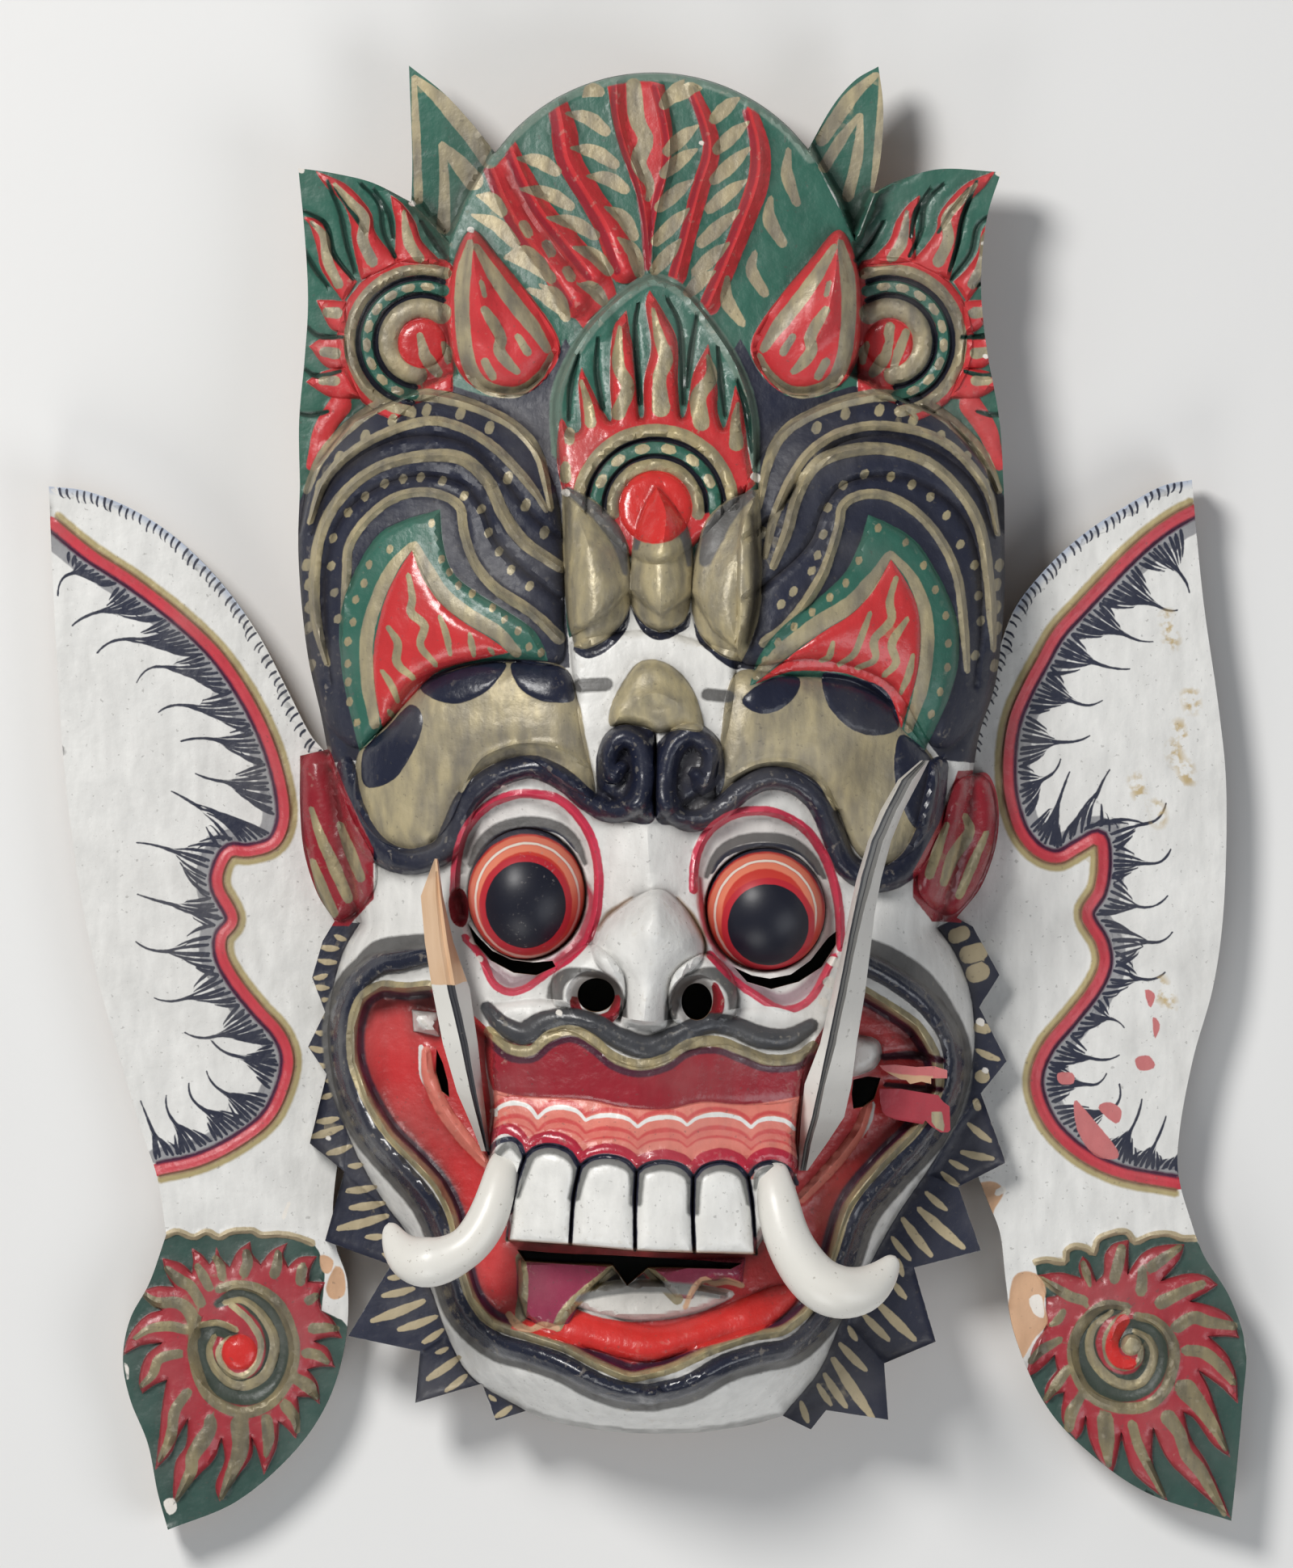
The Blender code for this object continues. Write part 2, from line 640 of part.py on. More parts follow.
def brows():
    column = outline([(704, 795), (712, 860), (722, 920), (738, 975)], [(738, 975), (806, 1015), (880, 975)],
                     [(880, 975), (898, 915), (908, 860), (912, 808)], [(912, 808), (806, 780), (704, 795)])
    bump = [(812, 820), (840, 834), (862, 866), (862, 900), (812, 908), (764, 898), (768, 860), (788, 832)]
    left = [(764, 946), (748, 938), (743, 917), (754, 900), (776, 894), (797, 906), (804, 940), (800, 978),
            (785, 1002), (757, 1004), (734, 993), (712, 967), (687, 953), (658, 949), (628, 955), (600, 970),
            (577, 993), (564, 1022), (548, 1053), (510, 1066), (476, 1057), (450, 1030), (434, 990),
            (426, 945)]
    right = [(856, 946), (873, 940), (880, 918), (868, 900), (846, 894), (824, 906), (817, 940), (820, 980),
             (836, 1006), (872, 1002), (892, 985), (915, 966), (950, 958), (985, 966), (1012, 992),
             (1030, 1030), (1048, 1070), (1083, 1088), (1118, 1076), (1144, 1040), (1156, 990), (1162, 945)]
    swell_left = [(438, 960), (452, 905), (500, 856), (573, 828), (640, 824), (698, 836), (712, 880), (724, 935),
                  (690, 930), (655, 926), (618, 934), (582, 960), (558, 1008), (532, 1042), (502, 1046),
                  (470, 1034), (450, 1004)]
    swell_right = [(916, 836), (970, 832), (1050, 836), (1106, 862), (1150, 906), (1160, 960), (1146, 1020),
                   (1116, 1056), (1084, 1066), (1056, 1046), (1036, 1000), (1006, 962), (966, 940), (930, 936),
                   (902, 950)]
    return [*[Dome(loop(area, FINE_STEP), 0.007, 0.012) for area in (swell_left, swell_right)],
            Raise(column, 0.004), Dome(loop(bump, FINE_STEP), 0.008, 0.009),
            Roll(smooth(left, LINE_STEP), BROW_HALF, BROW_RISE), Roll(smooth(right, LINE_STEP), BROW_HALF, BROW_RISE)]


def eyes():
    sockets = [
        loop([(652, 984), (700, 1000), (733, 1045), (738, 1105), (726, 1165), (690, 1196), (660, 1217),
              (628, 1225), (596, 1194), (570, 1140), (564, 1080), (580, 1022), (612, 992)], FINE_STEP),
        loop([(938, 1004), (990, 1018), (1026, 1062), (1040, 1120), (1036, 1180), (1008, 1224), (968, 1248),
              (928, 1222), (886, 1185), (862, 1120), (860, 1068), (884, 1020)], FINE_STEP),
    ]
    balls = [ellipse(EYE_LEFT, EYE_HALF_U, EYE_HALF_V), ellipse(EYE_RIGHT, EYE_HALF_U, EYE_HALF_V)]
    cuts = [Raise(socket, SOCKET_SINK, side=0.003) for socket in sockets]
    return cuts + [Dome(ball, EYE_RISE, EYE_HALF_U * UNIT) for ball in balls]


def nose():
    bridge = [(792, 1030), (812, 1034), (838, 1084), (868, 1120), (872, 1180), (806, 1220), (722, 1184),
              (738, 1118), (768, 1080)]
    bulb = [(802, 1098), (842, 1118), (862, 1170), (852, 1226), (826, 1270), (804, 1284), (780, 1268),
            (752, 1222), (742, 1170), (762, 1116)]
    wings = [ellipse((733, 1232), 44, 44), ellipse((868, 1240), 44, 46)]
    return [Dome(loop(bridge, FINE_STEP), NOSE_RISE / 2, 0.014),
            *[Dome(wing, NOSE_RISE / 2, 0.008) for wing in wings],
            Dome(loop(bulb, FINE_STEP), NOSE_RISE, 0.016)]


# Head: mouth

LIP_HALF, LIP_RISE = 0.0038, 0.0055
MUZZLE_SHARE, MUZZLE_SIDE_SHARE, MUZZLE_HALF_U = 0.81, 0.70, 205
MOUTH_SIDE_SHARE, MOUTH_FLOOR_SHARE = 0.40, 0.55
TOOTH_RISE, TOOTH_ROUND = 0.0055, 0.0075
TEETH = [(647, 633, 716, 706), (717, 707, 787, 786), (788, 787, 857, 859), (859, 861, 927, 932)]
TOOTH_TOP_V, TOOTH_FOOT_LEFT_V, TOOTH_FOOT_RIGHT_V = 1424, 1533, 1548
LIP_LEFT = [(533, 1180), (497, 1189), (466, 1195), (438, 1219), (421, 1259), (421, 1308), (432, 1354),
            (456, 1403), (493, 1446), (527, 1486), (547, 1530), (556, 1580), (572, 1625), (612, 1661),
            (656, 1674), (695, 1687), (736, 1709), (774, 1722), (805, 1724)]
LIP_RIGHT = [(1062, 1188), (1105, 1210), (1150, 1245), (1178, 1290), (1180, 1345), (1155, 1400),
             (1110, 1450), (1068, 1500), (1046, 1560), (1030, 1612), (1007, 1645), (978, 1668), (940, 1675),
             (896, 1688), (851, 1713), (805, 1724)]
GOLD_LEFT = [(530, 1219), (502, 1222), (472, 1220), (447, 1236), (436, 1271), (437, 1314), (454, 1360),
             (481, 1403), (512, 1434), (541, 1466), (560, 1505), (570, 1560), (584, 1606), (610, 1636),
             (656, 1652), (698, 1665), (736, 1684), (778, 1701), (806, 1697)]
GOLD_RIGHT = [(1062, 1222), (1100, 1245), (1135, 1270), (1158, 1310), (1160, 1350), (1135, 1395),
              (1090, 1440), (1050, 1490), (1030, 1550), (1012, 1600), (997, 1623), (968, 1645), (928, 1652),
              (880, 1668), (832, 1690), (806, 1697)]


def muzzle_level(xy):
    u = sheet(xy)[:, 0]
    share = np.clip(np.abs(u - 796) / MUZZLE_HALF_U, 0, 1.2)
    return (MUZZLE_SHARE - (MUZZLE_SHARE - MUZZLE_SIDE_SHARE) * share**2) * HEAD_DEPTH


def mouth_level(xy):
    """The mouth's red lining: deep at the sides, rising to the lower lip."""
    u, v = sheet(xy).T
    side = np.interp(np.abs(u - MIRROR_U), [120, 330], [0, 1])
    floor = MOUTH_SIDE_SHARE + (MOUTH_FLOOR_SHARE - MOUTH_SIDE_SHARE) * (1 - side)
    return (floor + 0.06 * ease((v - 1600) / 90)) * HEAD_DEPTH


def tooth(top_left, foot_left, top_right, foot_right):
    """One front tooth: a round-topped block, narrower than its neighbour's gap."""
    middle = (top_left + top_right) / 2
    foot_v = TOOTH_FOOT_LEFT_V + (TOOTH_FOOT_RIGHT_V - TOOTH_FOOT_LEFT_V) * (foot_left - 633) / 300
    return outline([(foot_left + 2, foot_v), (top_left + 3, TOOTH_TOP_V + 24)],
                   [(top_left + 3, TOOTH_TOP_V + 24), (middle - 18, TOOTH_TOP_V + 2), (middle + 18, TOOTH_TOP_V + 2),
                    (top_right - 3, TOOTH_TOP_V + 24)],
                   [(top_right - 3, TOOTH_TOP_V + 24), (foot_right - 2, foot_v + 2)],
                   [(foot_right - 2, foot_v + 2), (foot_left + 2, foot_v)], step=FINE_STEP)


def mouth():
    lining = plan([*GOLD_LEFT, *GOLD_RIGHT[::-1][1:], (1040, 1236), (1000, 1300), (806, 1320), (612, 1280),
                   (566, 1236)])
    muzzle = outline([(606, 1240), (601, 1310), (608, 1370), (606, 1436), (632, 1534)],
                     [(632, 1534), (706, 1538), (786, 1542), (860, 1546), (934, 1550)],
                     [(934, 1550), (986, 1452), (988, 1400), (1004, 1310), (1008, 1262)],
                     [(1008, 1262), (940, 1244), (806, 1262), (690, 1236), (606, 1240)])
    lip = [(618, 1322), (660, 1318), (710, 1326), (760, 1342), (806, 1350), (850, 1344), (900, 1338), (990, 1336)]
    gums = [(624, 1392), (680, 1386), (740, 1396), (806, 1402), (870, 1404), (930, 1406), (980, 1402)]
    moustache = [(600, 1246), (619, 1275), (643, 1284), (671, 1271), (701, 1267), (732, 1272), (763, 1290),
                 (805, 1307), (845, 1282), (881, 1275), (912, 1284), (942, 1299), (973, 1302), (1004, 1281)]
    cuts = [
        Roll(smooth(LIP_LEFT, LINE_STEP), LIP_HALF, LIP_RISE),
        Roll(smooth(LIP_RIGHT, LINE_STEP), LIP_HALF, LIP_RISE),
        Level(lining, mouth_level, side=0.0035),
        Level(muzzle, muzzle_level, side=0.0030),
        Roll(smooth(moustache, LINE_STEP), 0.0040, 0.0045),
        Roll(smooth(lip, LINE_STEP), 0.0070, 0.0035),
        Roll(smooth(gums, LINE_STEP), 0.0055, 0.0025),
        *[Dome(tooth(*corners), TOOTH_RISE, TOOTH_ROUND) for corners in TEETH],
        Raise(plan([(700, 1600), (735, 1582), (810, 1575), (880, 1582), (908, 1600), (880, 1620), (735, 1622)]),
              0.006, side=0.003),
        Raise(plan([(640, 1570), (766, 1574), (728, 1606), (700, 1640), (650, 1634)]), 0.008, side=0.002),
        Raise(plan([(794, 1576), (912, 1578), (912, 1596), (850, 1612)]), 0.008, side=0.002),
    ]
    return cuts


def molars():
    return [Level(outline([(508, 1252), (545, 1256)], [(545, 1256), (545, 1286)], [(545, 1286), (512, 1280)],
                          [(512, 1280), (508, 1252)], step=FINE_STEP), 0.060),
            Level(outline([(1050, 1284), (1088, 1288)], [(1088, 1288), (1086, 1322)], [(1086, 1322), (1050, 1328)],
                          [(1050, 1328), (1050, 1284)], step=FINE_STEP), 0.060)]


def ear_lobes():
    """The red lobes where the ears meet the cheeks."""
    left = loop([(373, 938), (404, 930), (416, 960), (436, 1010), (466, 1068), (458, 1110), (428, 1136), (411, 1136),
                 (392, 1100), (377, 1050), (372, 1000)], FINE_STEP)
    right = loop([(1190, 962), (1220, 961), (1232, 990), (1231, 1040), (1213, 1092), (1184, 1130), (1160, 1128),
                  (1138, 1108), (1135, 1082), (1150, 1056), (1166, 1018), (1174, 985)], FINE_STEP)
    return [Dome(left, 0.008, 0.009), Dome(right, 0.008, 0.009)]


def ruff_steps():
    """Each leaf of the ruff lies over the next, towards the chin."""
    left = [[(380, 1296), (403, 1330), (430, 1400), (425, 1451), (382, 1416), (403, 1330)],
            [(401, 1537), (425, 1451), (470, 1490), (500, 1560), (483, 1567)],
            [(513, 1738), (519, 1674), (550, 1655), (590, 1712), (596, 1714)]]
    right = [[(1246, 1440), (1215, 1354), (1180, 1400), (1150, 1455), (1187, 1470)],
             [(1159, 1662), (1132, 1570), (1080, 1570), (1050, 1640), (1095, 1689)]]
    return [Raise(plan(points), -0.0018) for points in left + right]


# Head: openings cut right through to the hollow


def head_holes():
    slit_left = plan([(580, 1143), (592, 1158), (610, 1176), (634, 1187), (660, 1190), (684, 1188), (688, 1195),
                      (664, 1206), (636, 1203), (608, 1188), (588, 1166)])
    slit_right = plan([(908, 1196), (930, 1206), (952, 1210), (978, 1205), (1002, 1188), (1024, 1160),
                       (1034, 1152), (1034, 1168), (1016, 1196), (988, 1214), (954, 1223), (924, 1214)])
    gap = plan([(640, 1546), (676, 1549), (712, 1551), (748, 1552), (786, 1554), (822, 1556), (858, 1558),
                (890, 1560), (918, 1562), (904, 1569), (850, 1568), (802, 1568), (776, 1590), (758, 1565),
                (700, 1563), (650, 1560)])
    side_left = plan([(540, 1298), (548, 1316), (554, 1338), (556, 1358), (546, 1350), (539, 1326)])
    side_right = plan([(1056, 1336), (1074, 1332), (1090, 1334), (1082, 1360), (1068, 1370), (1056, 1372),
                       (1054, 1354)])
    nostrils = [ellipse((738, 1230), 23, 21), ellipse((862, 1238), 19, 23)]
    return [slit_left, slit_right, gap, side_left, side_right, *nostrils]


# Head: back


class Hollow:
    """The hollow behind the face: a round bowl that leaves the rim of the core."""

    def __init__(self):
        self.half_x = hollow_half(core_points(), 0)
        self.half_y = hollow_half(core_points(), 1)
        self.centre = plan([HOLLOW_CENTRE])[0]

    def lines(self):
        rings = []
        for share in (1.0, 0.93, 0.72, 0.45):
            count = max(12, round(math.pi * share * (self.half_x + self.half_y) / BACK_STEP * 1.3))
            angles = np.arange(count + 1) * 2 * math.pi / count
            rings.append(self.centre + share * np.column_stack([self.half_x * np.cos(angles), self.half_y * np.sin(angles)]))
        return rings

    def carve(self, xy, z):
        reach = (((xy - self.centre) / (self.half_x, self.half_y)) ** 2).sum(1)
        bowl = HOLLOW_DEPTH * np.clip(0.9999 - reach, 0, 1) ** 0.6
        return np.where(reach < 1, bowl, z)


def head_back_ground(xy):
    return np.full(len(xy), BOARD_BACK)


def head():
    cuts = [*back_leaves(), *side_panels(), *fan_ribs(), *hair_swirls(), *drops(), *brow_leaves(), *lotus_panel(),
            *mouth(), *brows(), *eyes(), *nose(), *molars(), *ear_lobes(), *ruff_steps()]
    core = Level(core_outline(), 0.0, side=0.002)
    made = relief("head", head_outline(), head_holes(), cuts, head_ground, [core, Hollow()], head_back_ground)
    for name, stations in (("tusk_left", TUSK_LEFT), ("tusk_right", TUSK_RIGHT)):
        cutter = tusk(name, stations)
        union = made.modifiers.new(name, "BOOLEAN")
        union.operation = "UNION"
        union.object = cutter
    paint(made, "head")
    return made


# Curled tusks, carved in one with the head: u, v, half width in sheet units, height share
TUSK_LEFT = [(634, 1414, 18, 0.715), (628, 1446, 22, 0.745), (614, 1490, 25, 0.775), (594, 1530, 30, 0.79),
             (562, 1555, 32, 0.79), (528, 1560, 31, 0.78), (502, 1549, 26, 0.76), (487, 1528, 16, 0.735),
             (481, 1506, 4, 0.72)]
TUSK_RIGHT = [(950, 1426, 18, 0.715), (956, 1458, 22, 0.745), (966, 1504, 26, 0.775), (986, 1548, 31, 0.79),
              (1014, 1582, 33, 0.79), (1048, 1598, 33, 0.78), (1076, 1594, 28, 0.76), (1096, 1572, 17, 0.735),
              (1106, 1550, 4, 0.72)]
TUSK_SIDES = 10
TUSK_FLATNESS = 0.9


def tusk(name, stations):
    """A tapered horn swept along its stations."""
    centres = [Vector((*plan([(u, v)])[0], share * HEAD_DEPTH)) for u, v, _, share in stations]
    points = []
    for k, (centre, station) in enumerate(zip(centres, stations, strict=True)):
        along = (centres[min(k + 1, len(centres) - 1)] - centres[max(k - 1, 0)]).normalized()
        across = along.cross(Vector((0, 0, 1))).normalized()
        over = across.cross(along)
        radius = station[2] * UNIT
        for side in range(TUSK_SIDES):
            turn = 2 * math.pi * side / TUSK_SIDES
            points.append(centre + across * radius * math.cos(turn) + over * radius * TUSK_FLATNESS * math.sin(turn))
    made = new_object(name, points, tube_faces(len(stations), TUSK_SIDES))
    made.hide_render = True
    made.display_type = "WIRE"
    return made


def tube_faces(rings, sides):
    faces = [tuple(range(sides)), tuple(range((rings - 1) * sides, rings * sides))[::-1]]
    for ring in range(rings - 1):
        for side in range(sides):
            a, b = ring * sides + side, ring * sides + (side + 1) % sides
            faces.append((b, a, a + sides, b + sides))
    return faces


# Ears

EAR_LEVEL = BOARD_BACK - EAR_CLEARANCE - EAR_RIM_RISE
EAR_INNER_TOP_V, EAR_INNER_FOOT_V = 800, 1400
EAR_RIDGE_HALF, EAR_RIDGE_RISE = 0.0026, 0.0032
SUN_RAY_RISE = 0.0020
LEFT_RIDGE = [(60, 646), (106, 684), (158, 718), (213, 760), (261, 805), (296, 853), (323, 904), (341, 956),
              (349, 1008), (337, 1042), (306, 1053), (282, 1053), (268, 1075), (267, 1100), (285, 1137),
              (271, 1160), (272, 1186), (289, 1217), (317, 1252), (343, 1281), (354, 1313), (346, 1351),
              (327, 1386), (289, 1415), (244, 1437), (193, 1449)]
RIGHT_RIDGE = [(1482, 630), (1459, 642), (1429, 663), (1400, 689), (1371, 719), (1341, 751), (1312, 783),
               (1292, 818), (1273, 853), (1258, 889), (1251, 930), (1251, 971), (1256, 1000), (1267, 1030),
               (1287, 1053), (1312, 1061), (1337, 1048), (1363, 1036), (1369, 1064), (1364, 1102),
               (1348, 1132), (1366, 1166), (1370, 1195), (1356, 1226), (1328, 1262), (1299, 1297),
               (1285, 1332), (1289, 1364), (1308, 1399), (1344, 1431), (1391, 1453), (1460, 1466)]


def ear_left_outline():
    return [[(57, 600), (104, 606), (160, 628), (215, 664), (268, 716), (315, 780), (352, 850), (380, 905),
             (400, 930)], [(400, 930), (424, 960)]], \
           [[(424, 1400), (416, 1440), (410, 1500), (414, 1545), (428, 1590), (426, 1660), (405, 1735), (362, 1800),
             (290, 1862), (205, 1897)],
            [(205, 1897), (192, 1850), (180, 1790), (158, 1735), (149, 1685), (158, 1635), (182, 1590),
             (203, 1530)],
            [(203, 1530), (192, 1460), (172, 1400), (142, 1300), (115, 1200), (92, 1080), (76, 950), (67, 820),
             (61, 700), (57, 600)]]


def ear_right_outline():
    return [[(1478, 592), (1440, 600), (1390, 628), (1340, 662), (1295, 704), (1258, 752), (1236, 810),
             (1214, 880), (1200, 930)], [(1200, 930), (1188, 960)]], \
           [[(1186, 1400), (1205, 1440), (1225, 1490), (1240, 1530), (1247, 1590), (1258, 1655), (1292, 1735),
             (1340, 1792), (1420, 1850), (1527, 1886)],
            [(1527, 1886), (1534, 1820), (1541, 1740), (1545, 1672), (1526, 1610), (1495, 1560), (1482, 1530)],
            [(1482, 1530), (1462, 1460), (1463, 1400), (1480, 1310), (1505, 1220), (1518, 1120), (1521, 980),
             (1512, 880), (1494, 755), (1484, 660), (1478, 592)]]


def ear_edge(upper, lower, side):
    """The ear's outline: drawn where it shows, and against the head's core where it is hidden."""
    core = core_outline()
    u, v = sheet(core).T
    on_side = (u < MIRROR_U) if side < 0 else (u > MIRROR_U)
    wanted = on_side & (v > upper[-1][-1][1] + 12) & (v < lower[0][0][1] - 12)
    run = core[wanted]
    run = run[np.argsort(-run[:, 1])]
    run = run + (side * EAR_CLEARANCE, 0.0)
    above = np.vstack([smooth(points, LINE_STEP)[:-1] for points in upper])
    below = np.vstack([smooth(points, LINE_STEP)[:-1] for points in lower])
    return np.vstack([above, run, below])


def lobe_rays(centre, tips):
    """The flame rays round an ear's foot, between its ring and each tip."""
    rays = []
    for tip in tips:
        along = np.array(tip, float) - centre
        reach = np.linalg.norm(along)
        along /= reach
        across = np.array((-along[1], along[0])) * 12
        base, waist = centre + along * 76, centre + along * (76 + 0.55 * (reach - 76))
        area = plan([base - across, base + across, waist + across * 0.8, tip, waist - across * 0.8])
        rays.append(Flame(area, plan([base, waist]), SUN_RAY_RISE, 12 * UNIT))
    return rays


LEFT_SUN, RIGHT_SUN = (291, 1674), (1401, 1674)
LEFT_TIPS = [(198, 1558), (236, 1550), (266, 1548), (308, 1540), (352, 1543), (388, 1558), (404, 1590),
             (419, 1655), (410, 1697), (392, 1738), (368, 1782), (326, 1826), (272, 1860), (206, 1892),
             (190, 1822), (172, 1728), (150, 1678), (172, 1603)]
RIGHT_TIPS = [(1288, 1580), (1342, 1560), (1402, 1538), (1466, 1542), (1508, 1592), (1536, 1660),
              (1535, 1738), (1524, 1806), (1524, 1880), (1448, 1860), (1378, 1828), (1332, 1786), (1292, 1738),
              (1272, 1708)]


def ear(name, edge, ridge, ridge_side, sun, tips, seat):
    """One ear board: a raised rim outside its ridge, and the flaming sun on its foot."""
    line = smooth(ridge, LINE_STEP)
    rim = np.vstack([line, plan(ridge_side)])
    cuts = [Raise(rim, EAR_RIM_RISE), Roll(line, EAR_RIDGE_HALF, EAR_RIDGE_RISE),
            Raise(plan(arc(sun, 74, 0, 340, 18)), SUN_RAY_RISE)]
    cuts += lobe_rays(np.array(sun, float), tips)
    for radius, rise in ((60, 0.0018), (38, -0.0022)):
        cuts.append(Roll(smooth(arc(sun, radius, 130, 440, 14), FINE_STEP), 0.0022, rise))
    cuts.append(Dome(ellipse(sun, 22, 22), 0.0020, 0.005))
    cuts.append(Seat(seat))
    return relief(name, edge, [], cuts, lambda xy: np.full(len(xy), EAR_LEVEL), [],
                  lambda xy: np.full(len(xy), EAR_LEVEL - EAR_THICKNESS))


class Seat:
    """Where the head's boards lie over an ear, nothing on the ear stands higher than its rim."""

    def __init__(self, area):
        self.area = area

    def lines(self):
        return [self.area]

    def carve(self, xy, z):
        return np.where(depth_in(xy, self.area) > -1.2 * SNAP, np.minimum(z, EAR_LEVEL + EAR_RIM_RISE), z)


SEAT_LEFT = [(364, 860), (361, 925), (359, 1060), (366, 1200), (373, 1290), (372, 1420), (392, 1450),
             (386, 1545), (412, 1600), (418, 1690), (396, 1800), (600, 1800), (600, 860)]
SEAT_RIGHT = [(1268, 740), (1256, 830), (1240, 880), (1236, 930), (1243, 960), (1243, 1050), (1252, 1120),
              (1250, 1210), (1258, 1310), (1258, 1440), (1226, 1482), (1228, 1555), (1180, 1600), (1180, 740)]


def ears():
    left = ear("ear_left", ear_edge(*ear_left_outline(), -1), LEFT_RIDGE,
               [(180, 1500), (320, 1520), (470, 1420), (470, 900), (330, 760), (200, 620), (40, 560)],
               LEFT_SUN, LEFT_TIPS, plan(SEAT_LEFT))
    right = ear("ear_right", ear_edge(*ear_right_outline(), 1), RIGHT_RIDGE,
                [(1500, 1500), (1300, 1530), (1140, 1420), (1140, 900), (1260, 720), (1400, 580), (1500, 560)],
                RIGHT_SUN, RIGHT_TIPS, plan(SEAT_RIGHT))
    for made in (left, right):
        paint(made, "ear")


# Side fangs: v, left edge u, crest u, right edge u, height of the crest as a share of the depth

FANG_LEFT = [(1424, 596, 602, 606, 0.55), (1395, 585, 597, 603, 0.62), (1350, 566, 588, 598, 0.71),
             (1290, 549, 577, 592, 0.78), (1222, 536, 561, 582, 0.83), (1165, 527, 552, 562, 0.85),
             (1108, 522, 545, 549, 0.86), (1062, 539, 541, 543, 0.86)]
FANG_RIGHT = [(1448, 990, 994, 1000, 0.55), (1420, 991, 996, 1018, 0.62), (1375, 999, 1006, 1044, 0.71),
              (1314, 1014, 1018, 1056, 0.78), (1240, 1028, 1033, 1068, 0.83), (1160, 1043, 1049, 1078, 0.87),
              (1080, 1060, 1067, 1090, 0.90), (1010, 1084, 1090, 1110, 0.91), (960, 1112, 1118, 1136, 0.90),
              (940, 1137, 1142, 1148, 0.89)]


def fang(name, stations, ground_tree):
    """A thin blade on edge: a crest between two sloping faces, cut clear of the face below."""
    edges = [[plan([(u, station[0])])[0] for u in station[1:4]] for station in stations]
    spans = [highest_under(a, b, ground_tree) for a, b in zip(edges, edges[1:], strict=False)]
    points = []
    for k, (x_left, x_crest, x_right) in enumerate(edges):
        top = stations[k][4] * HEAD_DEPTH
        under = max(top - FANG_DEPTH, *[span + FANG_CLEARANCE for span in spans[max(k - 1, 0) : k + 1]])
        shoulder = under + 0.62 * (top - under)
        points += [(*x_left, under), (*x_right, under), (*x_right, shoulder), (*x_crest, top), (*x_left, shoulder)]
    made = new_object(name, points, tube_faces(len(stations), 5))
    mesh = made.data
    if signed_volume(mesh) < 0:
        mesh.flip_normals()
    paint(made, "fang")
    return made


def highest_under(start, end, ground_tree):
    """The highest point of the face under one stretch of a fang."""
    top = 0.0
    for along in np.linspace(0, 1, 9):
        left, right = (start[i] + (end[i] - start[i]) * along for i in (0, 2))
        for across in np.linspace(0, 1, 6):
            x, y = left + (right - left) * across
            hit = ground_tree.ray_cast(Vector((x, y, 1.0)), Vector((0, 0, -1)))[0]
            if hit is not None:
                top = max(top, hit.z)
    return top


def signed_volume(mesh):
    mesh.calc_loop_triangles()
    return sum(mesh.vertices[a].co.dot(mesh.vertices[b].co.cross(mesh.vertices[c].co))
               for a, b, c in (t.vertices for t in mesh.loop_triangles)) / 6


def fangs(head_object):
    bpy.context.view_layer.update()
    tree = BVHTree.FromObject(head_object, bpy.context.evaluated_depsgraph_get())
    fang("fang_left", FANG_LEFT, tree)
    fang("fang_right", FANG_RIGHT, tree)


def main():
    for old in list(bpy.data.objects):
        bpy.data.objects.remove(old)
    head_object = head()
    ears()
    fangs(head_object)


main()
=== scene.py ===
import math

import bpy
import numpy as np
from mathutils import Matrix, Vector, kdtree
from mathutils.geometry import delaunay_2d_cdt


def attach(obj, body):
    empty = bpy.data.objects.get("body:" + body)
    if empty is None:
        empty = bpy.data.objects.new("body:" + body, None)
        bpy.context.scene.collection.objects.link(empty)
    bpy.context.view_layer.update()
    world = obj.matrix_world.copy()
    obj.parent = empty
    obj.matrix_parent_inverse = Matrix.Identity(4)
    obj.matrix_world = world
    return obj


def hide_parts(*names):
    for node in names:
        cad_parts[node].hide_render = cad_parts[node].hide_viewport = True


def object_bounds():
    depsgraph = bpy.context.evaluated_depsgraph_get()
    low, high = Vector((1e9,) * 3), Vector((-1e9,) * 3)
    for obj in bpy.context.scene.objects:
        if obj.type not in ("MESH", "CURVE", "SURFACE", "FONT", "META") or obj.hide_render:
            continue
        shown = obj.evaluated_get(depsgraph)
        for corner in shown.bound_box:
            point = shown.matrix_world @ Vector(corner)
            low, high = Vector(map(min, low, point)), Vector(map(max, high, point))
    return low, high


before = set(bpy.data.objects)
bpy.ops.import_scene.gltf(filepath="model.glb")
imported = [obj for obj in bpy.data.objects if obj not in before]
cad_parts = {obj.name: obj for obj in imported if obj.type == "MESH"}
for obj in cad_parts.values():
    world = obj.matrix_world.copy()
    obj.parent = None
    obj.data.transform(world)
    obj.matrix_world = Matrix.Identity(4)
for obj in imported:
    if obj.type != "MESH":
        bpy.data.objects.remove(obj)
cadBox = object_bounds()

# Carved and painted demon mask, lying on its back on a pale floor with its crown towards +Y.
# It is drawn on a sheet, u to the right and v down, whose unit is a share of the mask's length.
# Widths and places are in sheet units, heights in millimetres.

